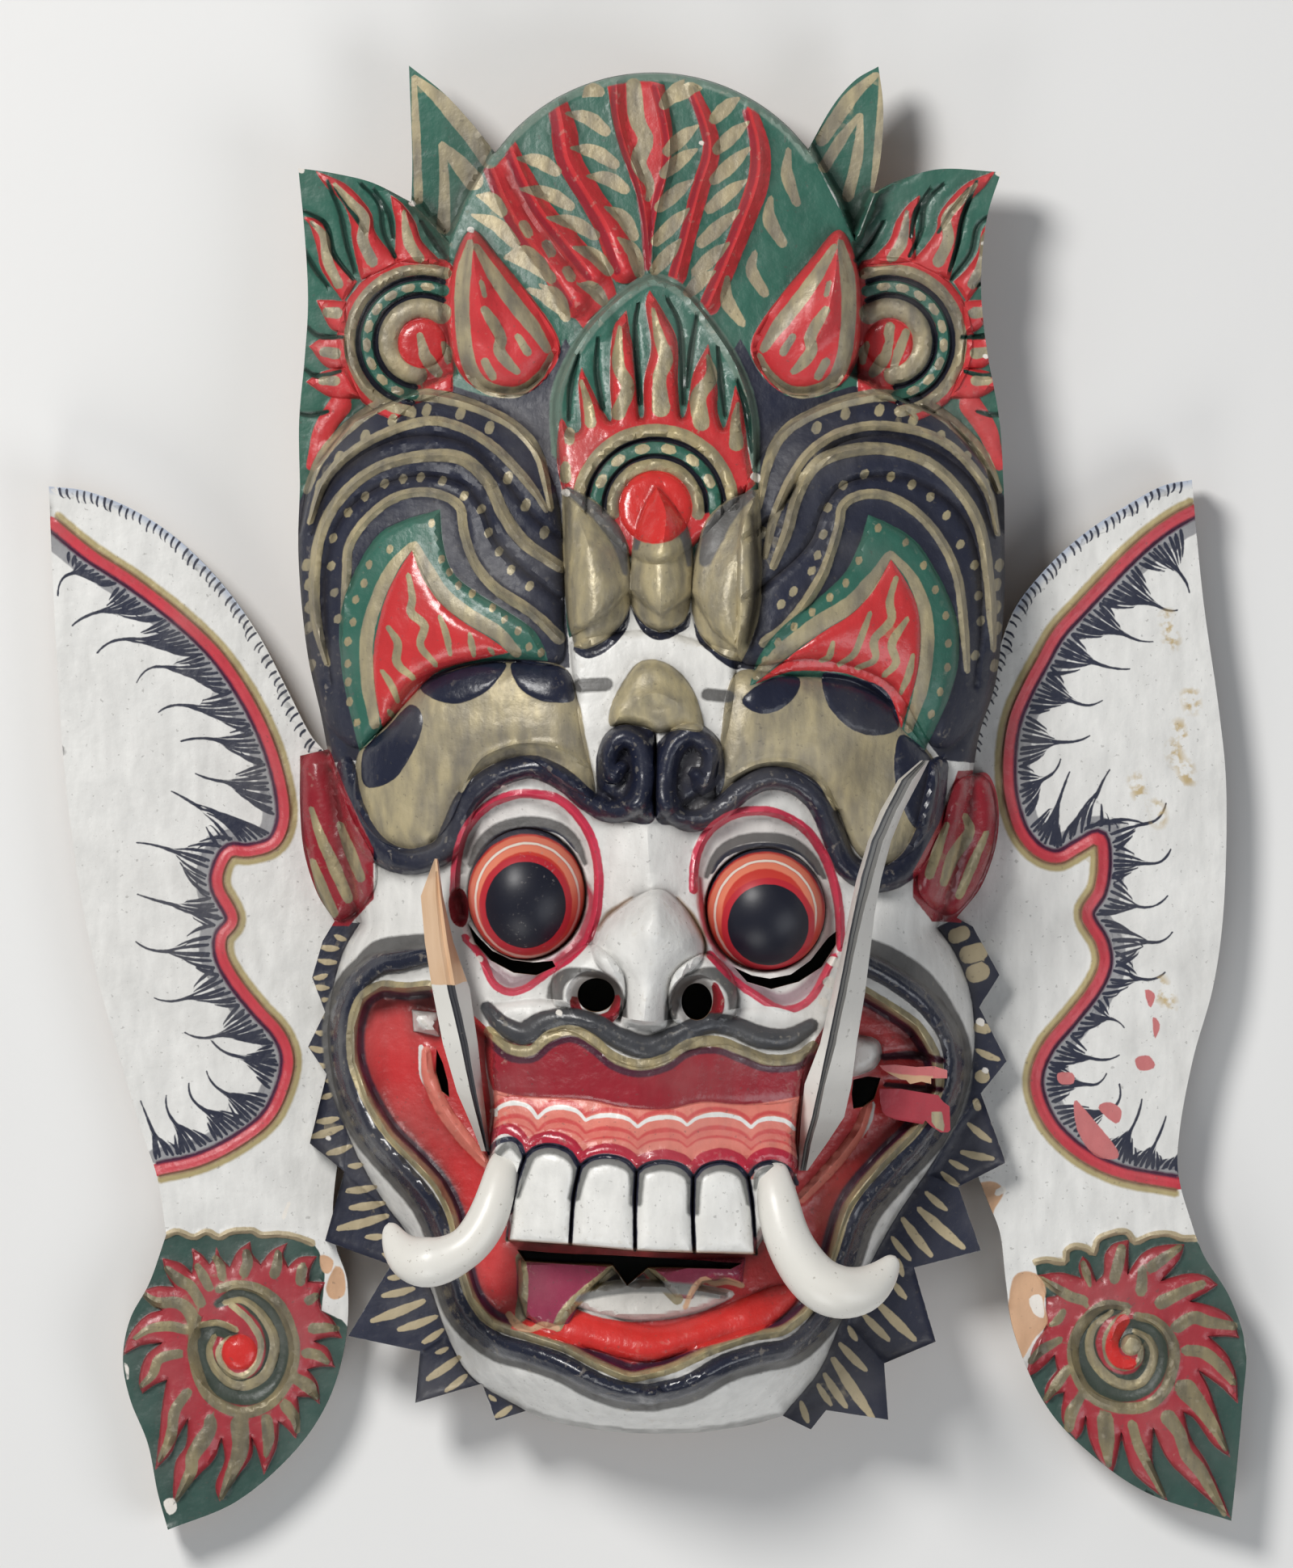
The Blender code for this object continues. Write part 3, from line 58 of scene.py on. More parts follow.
mask = {"length": 0.520, "top": 78, "foot": 1897, "left": 57, "right": 1545, "depth": 122.0}
unit = mask["length"] / (mask["foot"] - mask["top"])
middleU, middleV = (mask["left"] + mask["right"]) / 2, (mask["top"] + mask["foot"]) / 2
mm = 0.001
reach = 9.0  # distances to a shape are only followed this far outside it
lineStep = 4.5  # spacing of the points along a drawn line
pairsAtOnce = 120_000  # point and leg pairs that are measured together
axis = 805  # the middle line of the face on the sheet
roughRing = {"over": 90, "every": 6, "exactWithin": 26}  # long rings are read coarsely except near them
followed = {"area": 1.8, "stroke": 0.8}  # how far beside an edge the mesh has a line of its own
rounding = {"share": 0.35, "hollowShare": 0.6, "hollowRounds": 14, "smoothAngle": 38}


# Drawing


def plan(points):
    points = np.asarray(points, float).reshape(-1, 2)
    return points * (1, -1) + (-middleU, middleV)


def sheetPlaces(xy):
    return (xy[:, 0] + middleU, middleV - xy[:, 1])


def flip(points, about):
    return [(2 * about - u, v, *rest) for u, v, *rest in points]


def arc(centre, radius, startDeg, endDeg, count):
    angles = np.radians(np.linspace(startDeg, endDeg, count))
    return [(centre[0] + radius * math.cos(a), centre[1] - radius * math.sin(a)) for a in angles]


# How far along a line each of its points lies
def lengths(line):
    return np.concatenate([[0], np.cumsum(np.linalg.norm(np.diff(line, axis=0), axis=1))])


# An even polyline on a smooth curve through the points
def smooth(points, step=lineStep):
    p = plan(points)
    if len(p) > 2:
        ends = np.vstack([2 * p[0] - p[1], p, 2 * p[-1] - p[-2]])
        t = np.linspace(0, 1, 10, endpoint=False)[:, None]
        rows = []
        for a, b, c, d in zip(ends[:-3], ends[1:-2], ends[2:-1], ends[3:]):
            rows.append(0.5 * (2 * b + (c - a) * t + (2 * a - 5 * b + 4 * c - d) * t**2
                               + (3 * b - a - 3 * c + d) * t**3))
        p = np.vstack([*rows, p[-1:]])
    run = lengths(p)
    at = np.linspace(0, run[-1], max(1, round(run[-1] / step)) + 1)
    return np.column_stack([np.interp(at, run, p[:, 0]), np.interp(at, run, p[:, 1])])


def gapTo(xy, line, closed=False):
    a, b = (line, np.roll(line, -1, axis=0)) if closed else (line[:-1], line[1:])
    (ax, ay), (sx, sy) = a.T, (b - a).T
    length = np.maximum(np.hypot(sx, sy), 1e-9)
    start = np.concatenate([[0], np.cumsum(length)[:-1]])
    gaps, shares = [np.zeros(0)], [np.zeros(0)]
    rows = max(1, pairsAtOnce // len(a))
    for k in range(0, len(xy), rows):
        dx, dy = xy[k : k + rows, :1] - ax, xy[k : k + rows, 1:] - ay
        t = np.clip((dx * sx + dy * sy) / length**2, 0, 1)
        dx -= t * sx
        dy -= t * sy
        gap = dx * dx + dy * dy
        best = gap.argmin(1)
        each = np.arange(len(best))
        gaps.append(np.sqrt(gap[each, best]))
        shares.append((start[best] + t[each, best] * length[best]) / length.sum())
    return np.concatenate(gaps), np.concatenate(shares)


def inside(xy, ring):
    a, b = ring, np.roll(ring, -1, axis=0)
    rise = np.where(b[:, 1] == a[:, 1], 1e-12, b[:, 1] - a[:, 1])
    found = [np.zeros(0, bool)]
    rows = max(1, pairsAtOnce // len(a))
    for k in range(0, len(xy), rows):
        x, y = xy[k : k + rows, :1], xy[k : k + rows, 1:]
        crosses = (a[:, 1] > y) != (b[:, 1] > y)
        found.append((crosses & (x < a[:, 0] + (y - a[:, 1]) * (b[:, 0] - a[:, 0]) / rise)).sum(1) % 2 == 1)
    return np.concatenate(found)


# Distance to a closed line, positive inside; exact near the line and rounded off far from it
def signed(xy, ring):
    rough = ring[:: roughRing["every"]] if len(ring) > roughRing["over"] else ring
    value = np.where(inside(xy, rough), 1, -1) * gapTo(xy, rough, True)[0]
    if len(rough) < len(ring):
        near = np.flatnonzero(np.abs(value) < roughRing["exactWithin"])
        value[near] = np.where(inside(xy[near], ring), 1, -1) * gapTo(xy[near], ring, True)[0]
    return value


def ease(share):
    share = np.clip(share, 0, 1)
    return share * share * (3 - 2 * share)


def quarterRound(share):
    return np.sqrt(1 - (1 - np.clip(share, 0, 1)) ** 2)


def splitRuns(line, keep):
    steps = np.flatnonzero(np.diff(np.concatenate([[0], keep.astype(int), [0]])))
    return [line[a:b] for a, b in zip(steps[::2], steps[1::2]) if b - a > 1]


# The line moved sideways, without the points that fold back at tight bends
def beside(line, offset, closed=False):
    ahead = np.roll(line, -1, axis=0) if closed else np.vstack([line[1:], line[-1:]])
    behind = np.roll(line, 1, axis=0) if closed else np.vstack([line[:1], line[:-1]])
    along = ahead - behind
    along /= np.maximum(np.linalg.norm(along, axis=1), 1e-9)[:, None]
    offset = np.broadcast_to(offset, len(line))
    moved = line + offset[:, None] * np.column_stack([-along[:, 1], along[:, 0]])
    return splitRuns(moved, gapTo(moved, line, closed)[0] > 0.9 * np.abs(offset))


# An area inside a closed line, or a brush stroke along an open one with a half width
class Shape:
    def __init__(self, line, half=None, crisp=True):
        self.line, self.closed, self.crisp = line, half is None, crisp
        self.half = None if half is None else np.atleast_1d(np.asarray(half, float))
        wide = reach + (0 if half is None else self.half.max())
        self.low, self.high = line.min(0) - wide, line.max(0) + wide

    def halfAt(self, along):
        return np.interp(along, np.linspace(0, 1, len(self.half)), self.half)

    def depth(self, xy):
        found = np.full(len(xy), -reach)
        near = np.flatnonzero(((xy > self.low) & (xy < self.high)).all(1))
        if len(near):
            if self.closed:
                value = signed(xy[near], self.line)
            else:
                gap, along = gapTo(xy[near], self.line)
                value = self.halfAt(along) - gap
            found[near] = np.maximum(value, -reach)
        return found

    # the lines that the mesh follows, so that edges stay crisp
    def lines(self):
        if not self.crisp:
            return []
        if self.closed:
            gap = followed["area"]
            return [np.vstack([self.line, self.line[:1]]), *beside(self.line, gap, True),
                *beside(self.line, -gap, True)]
        half = self.halfAt(np.linspace(0, 1, len(self.line))) + followed["stroke"]
        return [self.line, *beside(self.line, half), *beside(self.line, -half)]


def area(points, step=lineStep):
    ring = smooth([points[-1], *points, points[0], points[1]], step / 4)
    start = plan([points[0]])[0]
    half = len(ring) // 2
    first = int(np.argmin(np.linalg.norm(ring[:half] - start, axis=1)))
    last = half + int(np.argmin(np.linalg.norm(ring[half:] - start, axis=1)))
    return Shape(ring[first : last : 4])


def cornered(*runs):
    return Shape(np.vstack([smooth(run)[:-1] for run in runs]))


# A closed line of smooth runs with corners between them: each run starts where the one before it ends
def chain(*runs):
    return cornered(*[[before[-1], *run] for before, run in zip((runs[-1], *runs), runs)])


def poly(points):
    return cornered(*[[a, b] for a, b in zip(points, [*points[1:], points[0]])])


def stroke(points, half, step=lineStep):
    return Shape(smooth(points, step), half)


def oval(u, v, halfU, halfV=None):
    halfV = halfV or halfU
    count = max(10, round(math.pi * (halfU + halfV) / lineStep))
    angles = np.arange(count) * 2 * math.pi / count
    return Shape(plan(np.column_stack([u + halfU * np.cos(angles), v - halfV * np.sin(angles)])))


def dab(u, v, half, long, turn=0.0):
    du, dv = long * math.cos(math.radians(turn)), -long * math.sin(math.radians(turn))
    return Shape(plan([(u - du, v - dv), (u + du + 0.01, v + dv)]), half)


def dabs(points, half, long, turn):
    return [dab(u, v, half, long, turn) for u, v in points]


# A carved board: its outline, its holes, and what is carved and painted on it
class Board:
    def __init__(self, edge, holes=()):
        self.edge, self.holes = edge, list(holes)
        self.cuts, self.coats, self.guides = [], {}, []

    # swell: rounded rise, ridge: sharp rise, step: even rise, level: height of its own, cap: most height;
    # soft is how far the side takes
    def put(self, shapes, coat=None, soft=None, **cuts):
        for shape in shapes if isinstance(shapes, (list, tuple)) else [shapes]:
            if coat:
                self.coats.setdefault(coat, []).append(shape)
            for kind, amount in cuts.items():
                own = float(shape.half.max()) if shape.half is not None else 6.0
                self.cuts.append((kind, shape, amount, soft or own))
            if shape.crisp:
                self.guides.append(shape)

    def depths(self, xy):
        found = {}
        for shape in {id(s): s for s in [cut[1] for cut in self.cuts] + sum(self.coats.values(), [])}.values():
            near = np.flatnonzero(((xy > shape.low) & (xy < shape.high)).all(1))
            found[id(shape)] = (near, shape.depth(xy[near]))
        return found

    def heights(self, xy, ground, depths):
        z = ground(xy)
        for kind, shape, amount, soft in self.cuts:
            near, deep = depths[id(shape)]
            if kind == "swell":
                z[near] += amount * quarterRound(deep / soft)
            elif kind == "ridge":
                z[near] += amount * np.clip(deep / soft, 0, 1)
            elif kind == "step":
                z[near] += amount * ease(deep / soft)
            elif kind == "cap":
                z[near] = np.where(deep > 0, np.minimum(z[near], amount), z[near])
            else:
                goal = amount(xy[near]) if callable(amount) else amount
                z[near] += (goal - z[near]) * ease(deep / soft)
        return z


# Triangles over an outline with holes, with edges along the given lines
class Facets:
    def __init__(self, board, guides, fill, snap):
        self.snap, self.points, self.edges, self.cells = snap, [], [], {}
        rings = [board.edge, *board.holes]
        self.loops = [self.take(ring, True, False) for ring in rings]
        lines = [line for shape in guides for line in shape.lines() if len(line) > 1]
        if lines:
            every = np.vstack(lines)
            fits = self.clear(every, rings, 1.2 * snap)
            at = 0
            for line in lines:
                for run in splitRuns(line, fits[at : at + len(line)]):
                    self.take(run, False, True)
                at += len(line)
        self.keepOff(rings)
        self.addFill(rings, fill)
        found = delaunay_2d_cdt([Vector(p) for p in self.points], self.edges, [], 0, 1e-5, True)
        self.xy = np.array([tuple(p) for p in found[0]])
        place = {old: new for new, olds in enumerate(found[3]) for old in olds}
        self.loops = [[place[i] for i in ring] for ring in self.loops]
        faces = np.array(found[2])
        centres = self.xy[faces].mean(1)
        self.faces = faces[self.clear(centres, rings, 0)]

    def clear(self, spots, rings, margin):
        fits = signed(spots, rings[0]) > margin
        for hole in rings[1:]:
            low, high = hole.min(0) - 5, hole.max(0) + 5
            near = np.flatnonzero(((spots > low) & (spots < high)).all(1))
            if len(near):
                fits[near] &= signed(spots[near], hole) < -margin
        return fits

    def take(self, line, closed, snap):
        indices = [self.place(point, snap) for point in line]
        self.edges += [(a, b) for a, b in zip(indices, indices[1:]) if a != b]
        if closed:
            self.edges.append((indices[-1], indices[0]))
        return indices

    def place(self, point, snap):
        column, row = int(point[0] // self.snap), int(point[1] // self.snap)
        if snap:
            for i in (column - 1, column, column + 1):
                for j in (row - 1, row, row + 1):
                    for index in self.cells.get((i, j), ()):
                        if math.dist(self.points[index], point) < self.snap:
                            return index
        self.points.append((float(point[0]), float(point[1])))
        self.cells.setdefault((column, row), []).append(len(self.points) - 1)
        return len(self.points) - 1

    # drops the edges that would run across a hole or outside
    def keepOff(self, rings):
        count = sum(len(ring) for ring in rings)
        pairs = np.array(self.edges)
        drawn = np.arange(len(pairs)) >= count
        ends = np.array(self.points)[pairs]
        fits = self.clear(ends.mean(1), rings, 0.3 * self.snap)
        self.edges = [tuple(map(int, pair)) for pair, use in zip(pairs, fits | ~drawn) if use]

    def addFill(self, rings, fill):
        tree = kdtree.KDTree(len(self.points))
        for index, point in enumerate(self.points):
            tree.insert((*point, 0), index)
        tree.balance()
        low, high = rings[0].min(0), rings[0].max(0)
        rows = np.arange(low[1], high[1], fill * math.sqrt(3) / 2)
        columns = np.arange(low[0], high[0], fill)
        grid = np.array([(x + fill / 2 * (k % 2), y) for k, y in enumerate(rows) for x in columns])
        grid = grid[self.clear(grid, rings, fill / 3)]
        self.points += [(float(x), float(y)) for x, y in grid if tree.find((x, y, 0))[2] > 0.6 * fill]


# a mesh as an object of its own, chosen for what comes next
def linked(name, mesh):
    made = bpy.data.objects.new(name, mesh)
    bpy.context.scene.collection.objects.link(made)
    bpy.ops.object.select_all(action="DESELECT")
    made.select_set(True)
    bpy.context.view_layer.objects.active = made
    return made


def carvedPiece(name, board, ground, under, materials, fill=5.0, snap=0.9, underFill=18.0):
    front = Facets(board, board.guides, fill, snap)
    back = Facets(board, [], underFill, snap)
    depths = board.depths(front.xy)
    smoothed = relax(front, board.heights(front.xy, ground, depths))
    low = under(back.xy)
    shift = len(front.xy)
    points = np.vstack([np.column_stack([front.xy * unit, smoothed * mm]), np.column_stack([back.xy * unit,
        low * mm])])
    faces = [tuple(f) for f in front.faces.tolist()]
    kinds = [0] * len(faces)
    faces += [tuple(i + shift for i in f[::-1]) for f in back.faces.tolist()]
    kinds += [1] * (len(faces) - len(kinds))
    for number, (over, below) in enumerate(zip(front.loops, back.loops)):
        ring = [board.edge, *board.holes][number]
        following = np.roll(ring, -1, axis=0)
        turn = 1 if (ring[:, 0] * following[:, 1] - following[:, 0] * ring[:, 1]).sum() > 0 else -1
        turn = turn if number == 0 else -turn
        for k in range(len(over)):
            a, b = (k, (k + 1) % len(over))[::turn]
            faces += [(over[a], below[a] + shift, below[b] + shift, over[b])]
            kinds.append(0 if number == 0 else 1)
    mesh = bpy.data.meshes.new(name)
    mesh.from_pydata(points.tolist(), [], faces)
    mesh.polygons.foreach_set("material_index", kinds)
    for material in materials:
        mesh.materials.append(material)
    # the paint of the rim runs down the cut edge
    rim, foot = np.concatenate(front.loops), np.concatenate(back.loops)
    for coat, shapes in board.coats.items():
        value, lower = np.full(len(front.xy), -reach), np.full(len(back.xy), -reach)
        for shape in shapes:
            near, deep = depths[id(shape)]
            value[near] = np.maximum(value[near], deep)
        lower[foot] = value[rim]
        keep(mesh, coat, np.concatenate([value, lower]))
    keep(mesh, "hollow", np.concatenate([hollows(front, smoothed), np.zeros(len(back.xy))]))
    mesh.update()
    made = linked(name, mesh)
    bpy.ops.object.shade_smooth_by_angle(angle=math.radians(rounding["smoothAngle"]))
    print(name, len(mesh.vertices), "points", sum(len(p.vertices) - 2 for p in mesh.polygons), "triangles")
    return made


def keep(mesh, name, values):
    mesh.attributes.new(name, "FLOAT", "POINT").data.foreach_set("value", values.astype(np.float32))


def sides(facets):
    pairs = np.vstack([facets.faces[:, (0, 1)], facets.faces[:, (1, 2)], facets.faces[:, (2, 0)]])
    return np.vstack([pairs, pairs[:, ::-1]])


def average(values, pairs):
    total = np.bincount(pairs[:, 0], values[pairs[:, 1]], len(values))
    return total / np.maximum(np.bincount(pairs[:, 0], minlength=len(values)), 1)


# Rounds the cut edges a little, as a rasp and paint do
def relax(facets, z):
    relaxed = z + rounding["share"] * (average(z, sides(facets)) - z)
    fixed = np.array(sorted({i for ring in facets.loops for i in ring}))
    relaxed[fixed] = z[fixed]
    return relaxed


# How far each point lies below its neighbourhood, in millimetres
def hollows(facets, z):
    pairs = sides(facets)
    wide, share = z.copy(), rounding["hollowShare"]
    for _ in range(rounding["hollowRounds"]):
        wide = (1 - share) * wide + share * average(wide, pairs)
    return wide - z


# Head: outlines and ground form

fan = {"centre": (808, 330), "radius": 243, "footLeft": 143.8, "footRight": 37.5}
level = {"back": 24.0, "board": 36.0, "backLeaf": 31.5, "panel": 38.5, "drop": 56.0}

crownLeft = [[(370, 935), (404, 927)], [(404, 927), (395, 880), (378, 800), (368, 690), (370, 600)],
    [(370, 600), (369, 520), (376, 440), (380, 370), (376, 290), (368, 206)], [(368, 206), (410, 212), (460, 224),
    (508, 248)], [(508, 248), (509, 190), (505, 78)], [(505, 78), (548, 112), (585, 152), (611, 186)]]
crownRight = [
    [(1001, 182), (1030, 130), (1058, 97), (1088, 79)],
    [(1088, 79), (1094, 130), (1091, 190), (1082, 236)],
    [(1082, 236), (1110, 222), (1165, 207), (1240, 211)],
    [(1240, 211), (1222, 270), (1215, 350), (1222, 430), (1238, 520), (1244, 620)],
    [(1244, 620), (1244, 740), (1234, 840), (1214, 905), (1205, 957)]]
fanArc = arc(fan["centre"], fan["radius"], fan["footLeft"], fan["footRight"], 13)
lobeLeft = [(413, 1140), (391, 1105), (375, 1054), (370, 1000), (370, 935)]
lobeRight = [(1205, 957), (1224, 958), (1236, 990), (1235, 1040), (1216, 1096), (1185, 1136)]
ruffRight = [(1185, 1136), (1205, 1147), (1238, 1207), (1213, 1247), (1247, 1314), (1215, 1354), (1246, 1440),
    (1187, 1470), (1215, 1549), (1132, 1570), (1159, 1662), (1095, 1689), (1100, 1759), (1023, 1747), (1004, 1771),
    (969, 1754)]
ruffLeft = [(650, 1748), (613, 1760), (596, 1714), (513, 1738), (519, 1674), (430, 1655), (483, 1567), (401, 1537),
    (425, 1451), (382, 1416), (403, 1330), (380, 1296), (401, 1253), (385, 1210), (398, 1165), (413, 1140)]
chin = [(969, 1754), (930, 1765), (870, 1774), (806, 1776), (743, 1772), (679, 1760), (650, 1748)]
jawRight = [(1160, 1148), (1181, 1177), (1200, 1222), (1207, 1271), (1205, 1314), (1190, 1375), (1157, 1437),
    (1110, 1507), (1075, 1570), (1042, 1636), (1015, 1697), (969, 1754)]
jawLeft = [(650, 1748), (583, 1706), (551, 1649), (530, 1590), (504, 1530), (475, 1490), (441, 1431), (420, 1375),
    (409, 1314), (406, 1271), (411, 1222), (425, 1175), (444, 1143)]
coreHalf = [(805, 262), (930, 285), (1060, 370), (1140, 480), (1180, 640), (1190, 800), (1180, 1000), (1165, 1180),
    (1150, 1320), (1100, 1470), (1020, 1620), (920, 1715), (805, 1742)]


def legs(corners):
    return [[a, b] for a, b in zip(corners, corners[1:])]


def joined(runs):
    made = [list(runs[0])]
    for run in runs[1:]:
        made.append([made[-1][-1], *run[1:]])
    made[-1][-1] = made[0][0]
    return cornered(*made)


headEdge = joined([fanArc, *crownRight, lobeRight, *legs(ruffRight), chin, *legs(ruffLeft), lobeLeft, *crownLeft])
mass = joined([fanArc, *crownRight, [(1205, 957), (1190, 1050), (1160, 1148)], jawRight, chin, jawLeft,
    [(444, 1143), (425, 1040), (404, 927)], *crownLeft[1:]])
core = area(coreHalf + flip(coreHalf[1:-1], axis)[::-1], 8)
slits = [
    [(580, 1143), (592, 1158), (610, 1176), (634, 1187), (660, 1190), (684, 1188), (688, 1195), (664, 1206),
        (636, 1203), (608, 1188), (588, 1166)],
    [(908, 1196), (930, 1206), (952, 1210), (978, 1205), (1002, 1188), (1024, 1160), (1034, 1152), (1034, 1168),
        (1016, 1196), (988, 1214), (954, 1223), (924, 1214)],
    [(640, 1546), (676, 1549), (712, 1551), (748, 1552), (786, 1554), (822, 1556), (858, 1558), (890, 1560),
        (918, 1562), (904, 1569), (850, 1568), (802, 1568), (776, 1590), (758, 1565), (700, 1563), (650, 1560)],
    [(540, 1298), (548, 1316), (554, 1338), (556, 1358), (546, 1350), (539, 1326)],
    [(1056, 1336), (1074, 1332), (1090, 1334), (1082, 1360), (1068, 1370), (1056, 1372), (1054, 1354)]]
headHoles = [plan(slit) for slit in slits] + [oval(738, 1230, 23, 21).line, oval(862, 1238, 19, 23).line]
profileV = [60, 200, 330, 450, 600, 700, 800, 900, 1000, 1100, 1200, 1300, 1400, 1500, 1600, 1700, 1790]
midShare = [0.36, 0.41, 0.47, 0.53, 0.62, 0.67, 0.71, 0.74, 0.74, 0.74, 0.77, 0.79, 0.79, 0.77, 0.70, 0.68, 0.50]
sideShare = [0.33, 0.32, 0.31, 0.33, 0.38, 0.38, 0.37, 0.37, 0.37, 0.38, 0.38, 0.38, 0.38, 0.38, 0.38, 0.38, 0.38]
halfWide = [300, 400, 435, 436, 437, 438, 430, 415, 405, 402, 403, 403, 385, 335, 285, 220, 120]
slope = {"power": 2.3, "v": [900, 1060], "wide": [7.7, 59.5]}  # the swelling across, and its side down to the board
cavity = {"centre": (axis, 1000), "wall": 56, "height": 64, "power": 0.6, "rimSide": 7}


def headGround(xy):
    u, v = sheetPlaces(xy)
    middle = np.interp(v, profileV, midShare) * mask["depth"]
    side = np.interp(v, profileV, sideShare) * mask["depth"]
    across = np.clip(np.abs(u - axis) / np.interp(v, profileV, halfWide), 0, 1)
    swelling = side + (middle - side) * (1 - across ** slope["power"])
    rise = quarterRound(signed(xy, mass.line) / np.interp(v, slope["v"], slope["wide"]))
    return level["board"] + (swelling - level["board"]) * rise


def headUnder(xy):
    low = level["back"] * (1 - ease(signed(xy, core.line) / cavity["rimSide"]))
    half = np.abs(core.line - plan([cavity["centre"]])).max(0) - cavity["wall"]
    far = (((xy - plan([cavity["centre"]])) / half) ** 2).sum(1)
    return np.where(far < 1, cavity["height"] * np.clip(0.9999 - far, 0, 1) ** cavity["power"], low)


head = Board(headEdge.line, headHoles)
put = head.put


def two(make, points, *rest, about):
    return [make(points, *rest), make(flip(points, about), *rest)]


def moved(points, offset, half):
    runs = beside(smooth(points), offset)
    return [Shape(run, half) for run in runs if len(run) > 3]


# short marks that lie along a ring
def marksAlong(places, centre, half, coat):
    for u, v in places:
        put(dab(u, v, half, 4, math.degrees(math.atan2(centre[1] - v, u - centre[0])) + 90), coat)


# Crown: the leaves behind, the fan and its ribs
put(poly([(1060, 300), (1084, 236), (1106, 222), (1150, 202), (1200, 196), (1200, 240), (1110, 310)]), "green",
    level=level["panel"])
put(poly([(490, 60), (560, 100), (590, 145), (612, 188), (576, 250), (556, 300), (509, 249), (490, 230)]), "green",
    level=level["backLeaf"])
put(poly([(1001, 182), (1024, 120), (1050, 80), (1100, 60), (1106, 130), (1104, 225), (1083, 237), (1058, 300),
    (1036, 246)]), "green", level=level["backLeaf"])
put([stroke([(511, 92), (514, 160), (517, 246)], [3, 5, 5]), stroke([(513, 94), (546, 122), (580, 160), (606, 196)],
    [4, 11, 11]), stroke([(548, 280), (549, 225), (546, 176)], [8, 6, 4]), stroke([(546, 176), (566, 198),
    (586, 222)], [4, 10, 12])], "gold")
put([stroke([(1091, 90), (1090, 150), (1083, 232)], [2, 5, 5]), stroke([(1084, 90), (1054, 118), (1018, 170)],
    [4, 9, 8]), stroke([(1064, 140), (1040, 172), (1020, 205)], [3, 7, 7]), stroke([(1066, 140), (1062, 190),
    (1050, 240)], [3, 7, 7])], "gold")
put(cornered(fanArc, *legs([fanArc[-1], (1060, 300), (1060, 600), (540, 600), (540, 300), fanArc[0]])), "green")
put(stroke(arc(fan["centre"], fan["radius"] - 3, 146, 35, 15), 8.5), "rimGreen", ridge=1.4)
ribs = [
    ([(611, 206), (627, 246), (651, 289), (684, 330), (712, 372)], [5, 9, 10, 12, 16]),
    ([(632, 176), (646, 212), (669, 256), (697, 292), (735, 340)], [4, 8, 9, 11, 13]),
    ([(690, 120), (697, 154), (704, 196), (729, 240), (753, 280), (773, 332)], [7, 12, 11, 11, 13, 14]),
    ([(857, 106), (875, 153), (880, 189), (866, 235), (852, 289), (838, 342)], [4, 7, 8, 8, 7, 8]),
    ([(930, 135), (940, 178), (939, 221), (921, 274), (898, 331), (878, 378)], [5, 9, 10, 9, 9, 9])]
put(stroke([(684, 330), (712, 360), (742, 400)], [12, 20, 20]), "red", swell=1.0, soft=8)
put(chain([(621, 240), (635, 272), (653, 299), (675, 325), (693, 352), (725, 400)], [(763, 365)],
    [(752, 336), (720, 301), (709, 280), (685, 264), (659, 235), (651, 213), (637, 181)], [(605, 211)]), "red",
    swell=1.0, soft=8)
for rib, half in ribs:
    put(stroke(rib, [h * 1.35 for h in half]), "red", ridge=6.0, soft=14)
    # the left side of each rib is painted a darker red: painted shade
    put(moved(rib, -0.9 * np.mean(half), 0.4 * np.mean(half)), "redPaintedShade")
put(chain([(762, 160), (779, 215), (795, 264), (802, 335)], [(811, 270), (824, 221), (832, 167), (822, 104)],
    [(788, 96), (751, 102)]), "red", step=1.2, soft=5)
for rib, half in (([(763, 100), (765, 140), (775, 182), (789, 217), (797, 250), (802, 290), (804, 332)],
        [9, 9, 8, 7, 6, 5, 4]), ([(813, 104), (823, 140), (829, 180), (825, 215), (815, 250), (809, 290), (807, 332)],
        [8, 9, 9, 8, 6, 5, 4])):
    put(stroke(rib, half), ridge=4.6, soft=9)
    # the left side of each middle rib is painted a darker red: painted shade
    put(moved(rib, -4.5, 2.8), "redPaintedShade")
put(stroke([(784, 104), (788, 145), (799, 172), (790, 200), (804, 228), (802, 246)], [9, 10, 9, 10, 8, 3]), "gold2")
dashes = [(701, 139, 749, 161), (707, 182, 760, 202), (727, 217, 773, 233), (749, 256, 784, 291),
    (765, 294, 791, 337), (640, 195, 688, 211), (644, 233, 705, 254), (677, 269, 736, 291), (709, 306, 753, 335),
    (590, 241, 621, 261), (584, 265, 636, 300), (627, 319, 682, 344), (722, 118, 742, 112), (846, 98, 822, 128),
    (868, 108, 838, 118), (864, 154, 826, 186), (862, 184, 822, 214), (858, 222, 816, 256), (852, 258, 812, 298),
    (842, 296, 810, 334), (915, 120, 884, 146), (926, 150, 888, 184), (928, 182, 884, 222), (924, 222, 878, 258),
    (914, 260, 868, 300), (902, 300, 862, 336), (884, 336, 852, 362), (716, 352, 746, 372), (668, 352, 700, 392)]
for u0, v0, u1, v1 in dashes:
    bend = (v1 - v0) * 0.12
    put(stroke([(u0, v0), ((u0 + u1) / 2 + bend, (v0 + v1) / 2 - 5), (u1, v1)], [1.5, 7.5, 9, 6.5]), "gold2")
put([stroke([(976, 184), (974, 214), (986, 250)], [3, 8, 5]), stroke([(954, 244), (952, 270), (968, 300)], [3, 9, 6]),
    stroke([(934, 312), (930, 334), (946, 362)], [3, 8, 6]), stroke([(900, 344), (900, 372), (918, 400)], [3, 9, 5]),
    dab(651, 283, 6, 6, -60), dab(679, 307, 6, 6, -60), dab(704, 339, 6, 5, -60)], "gold2")
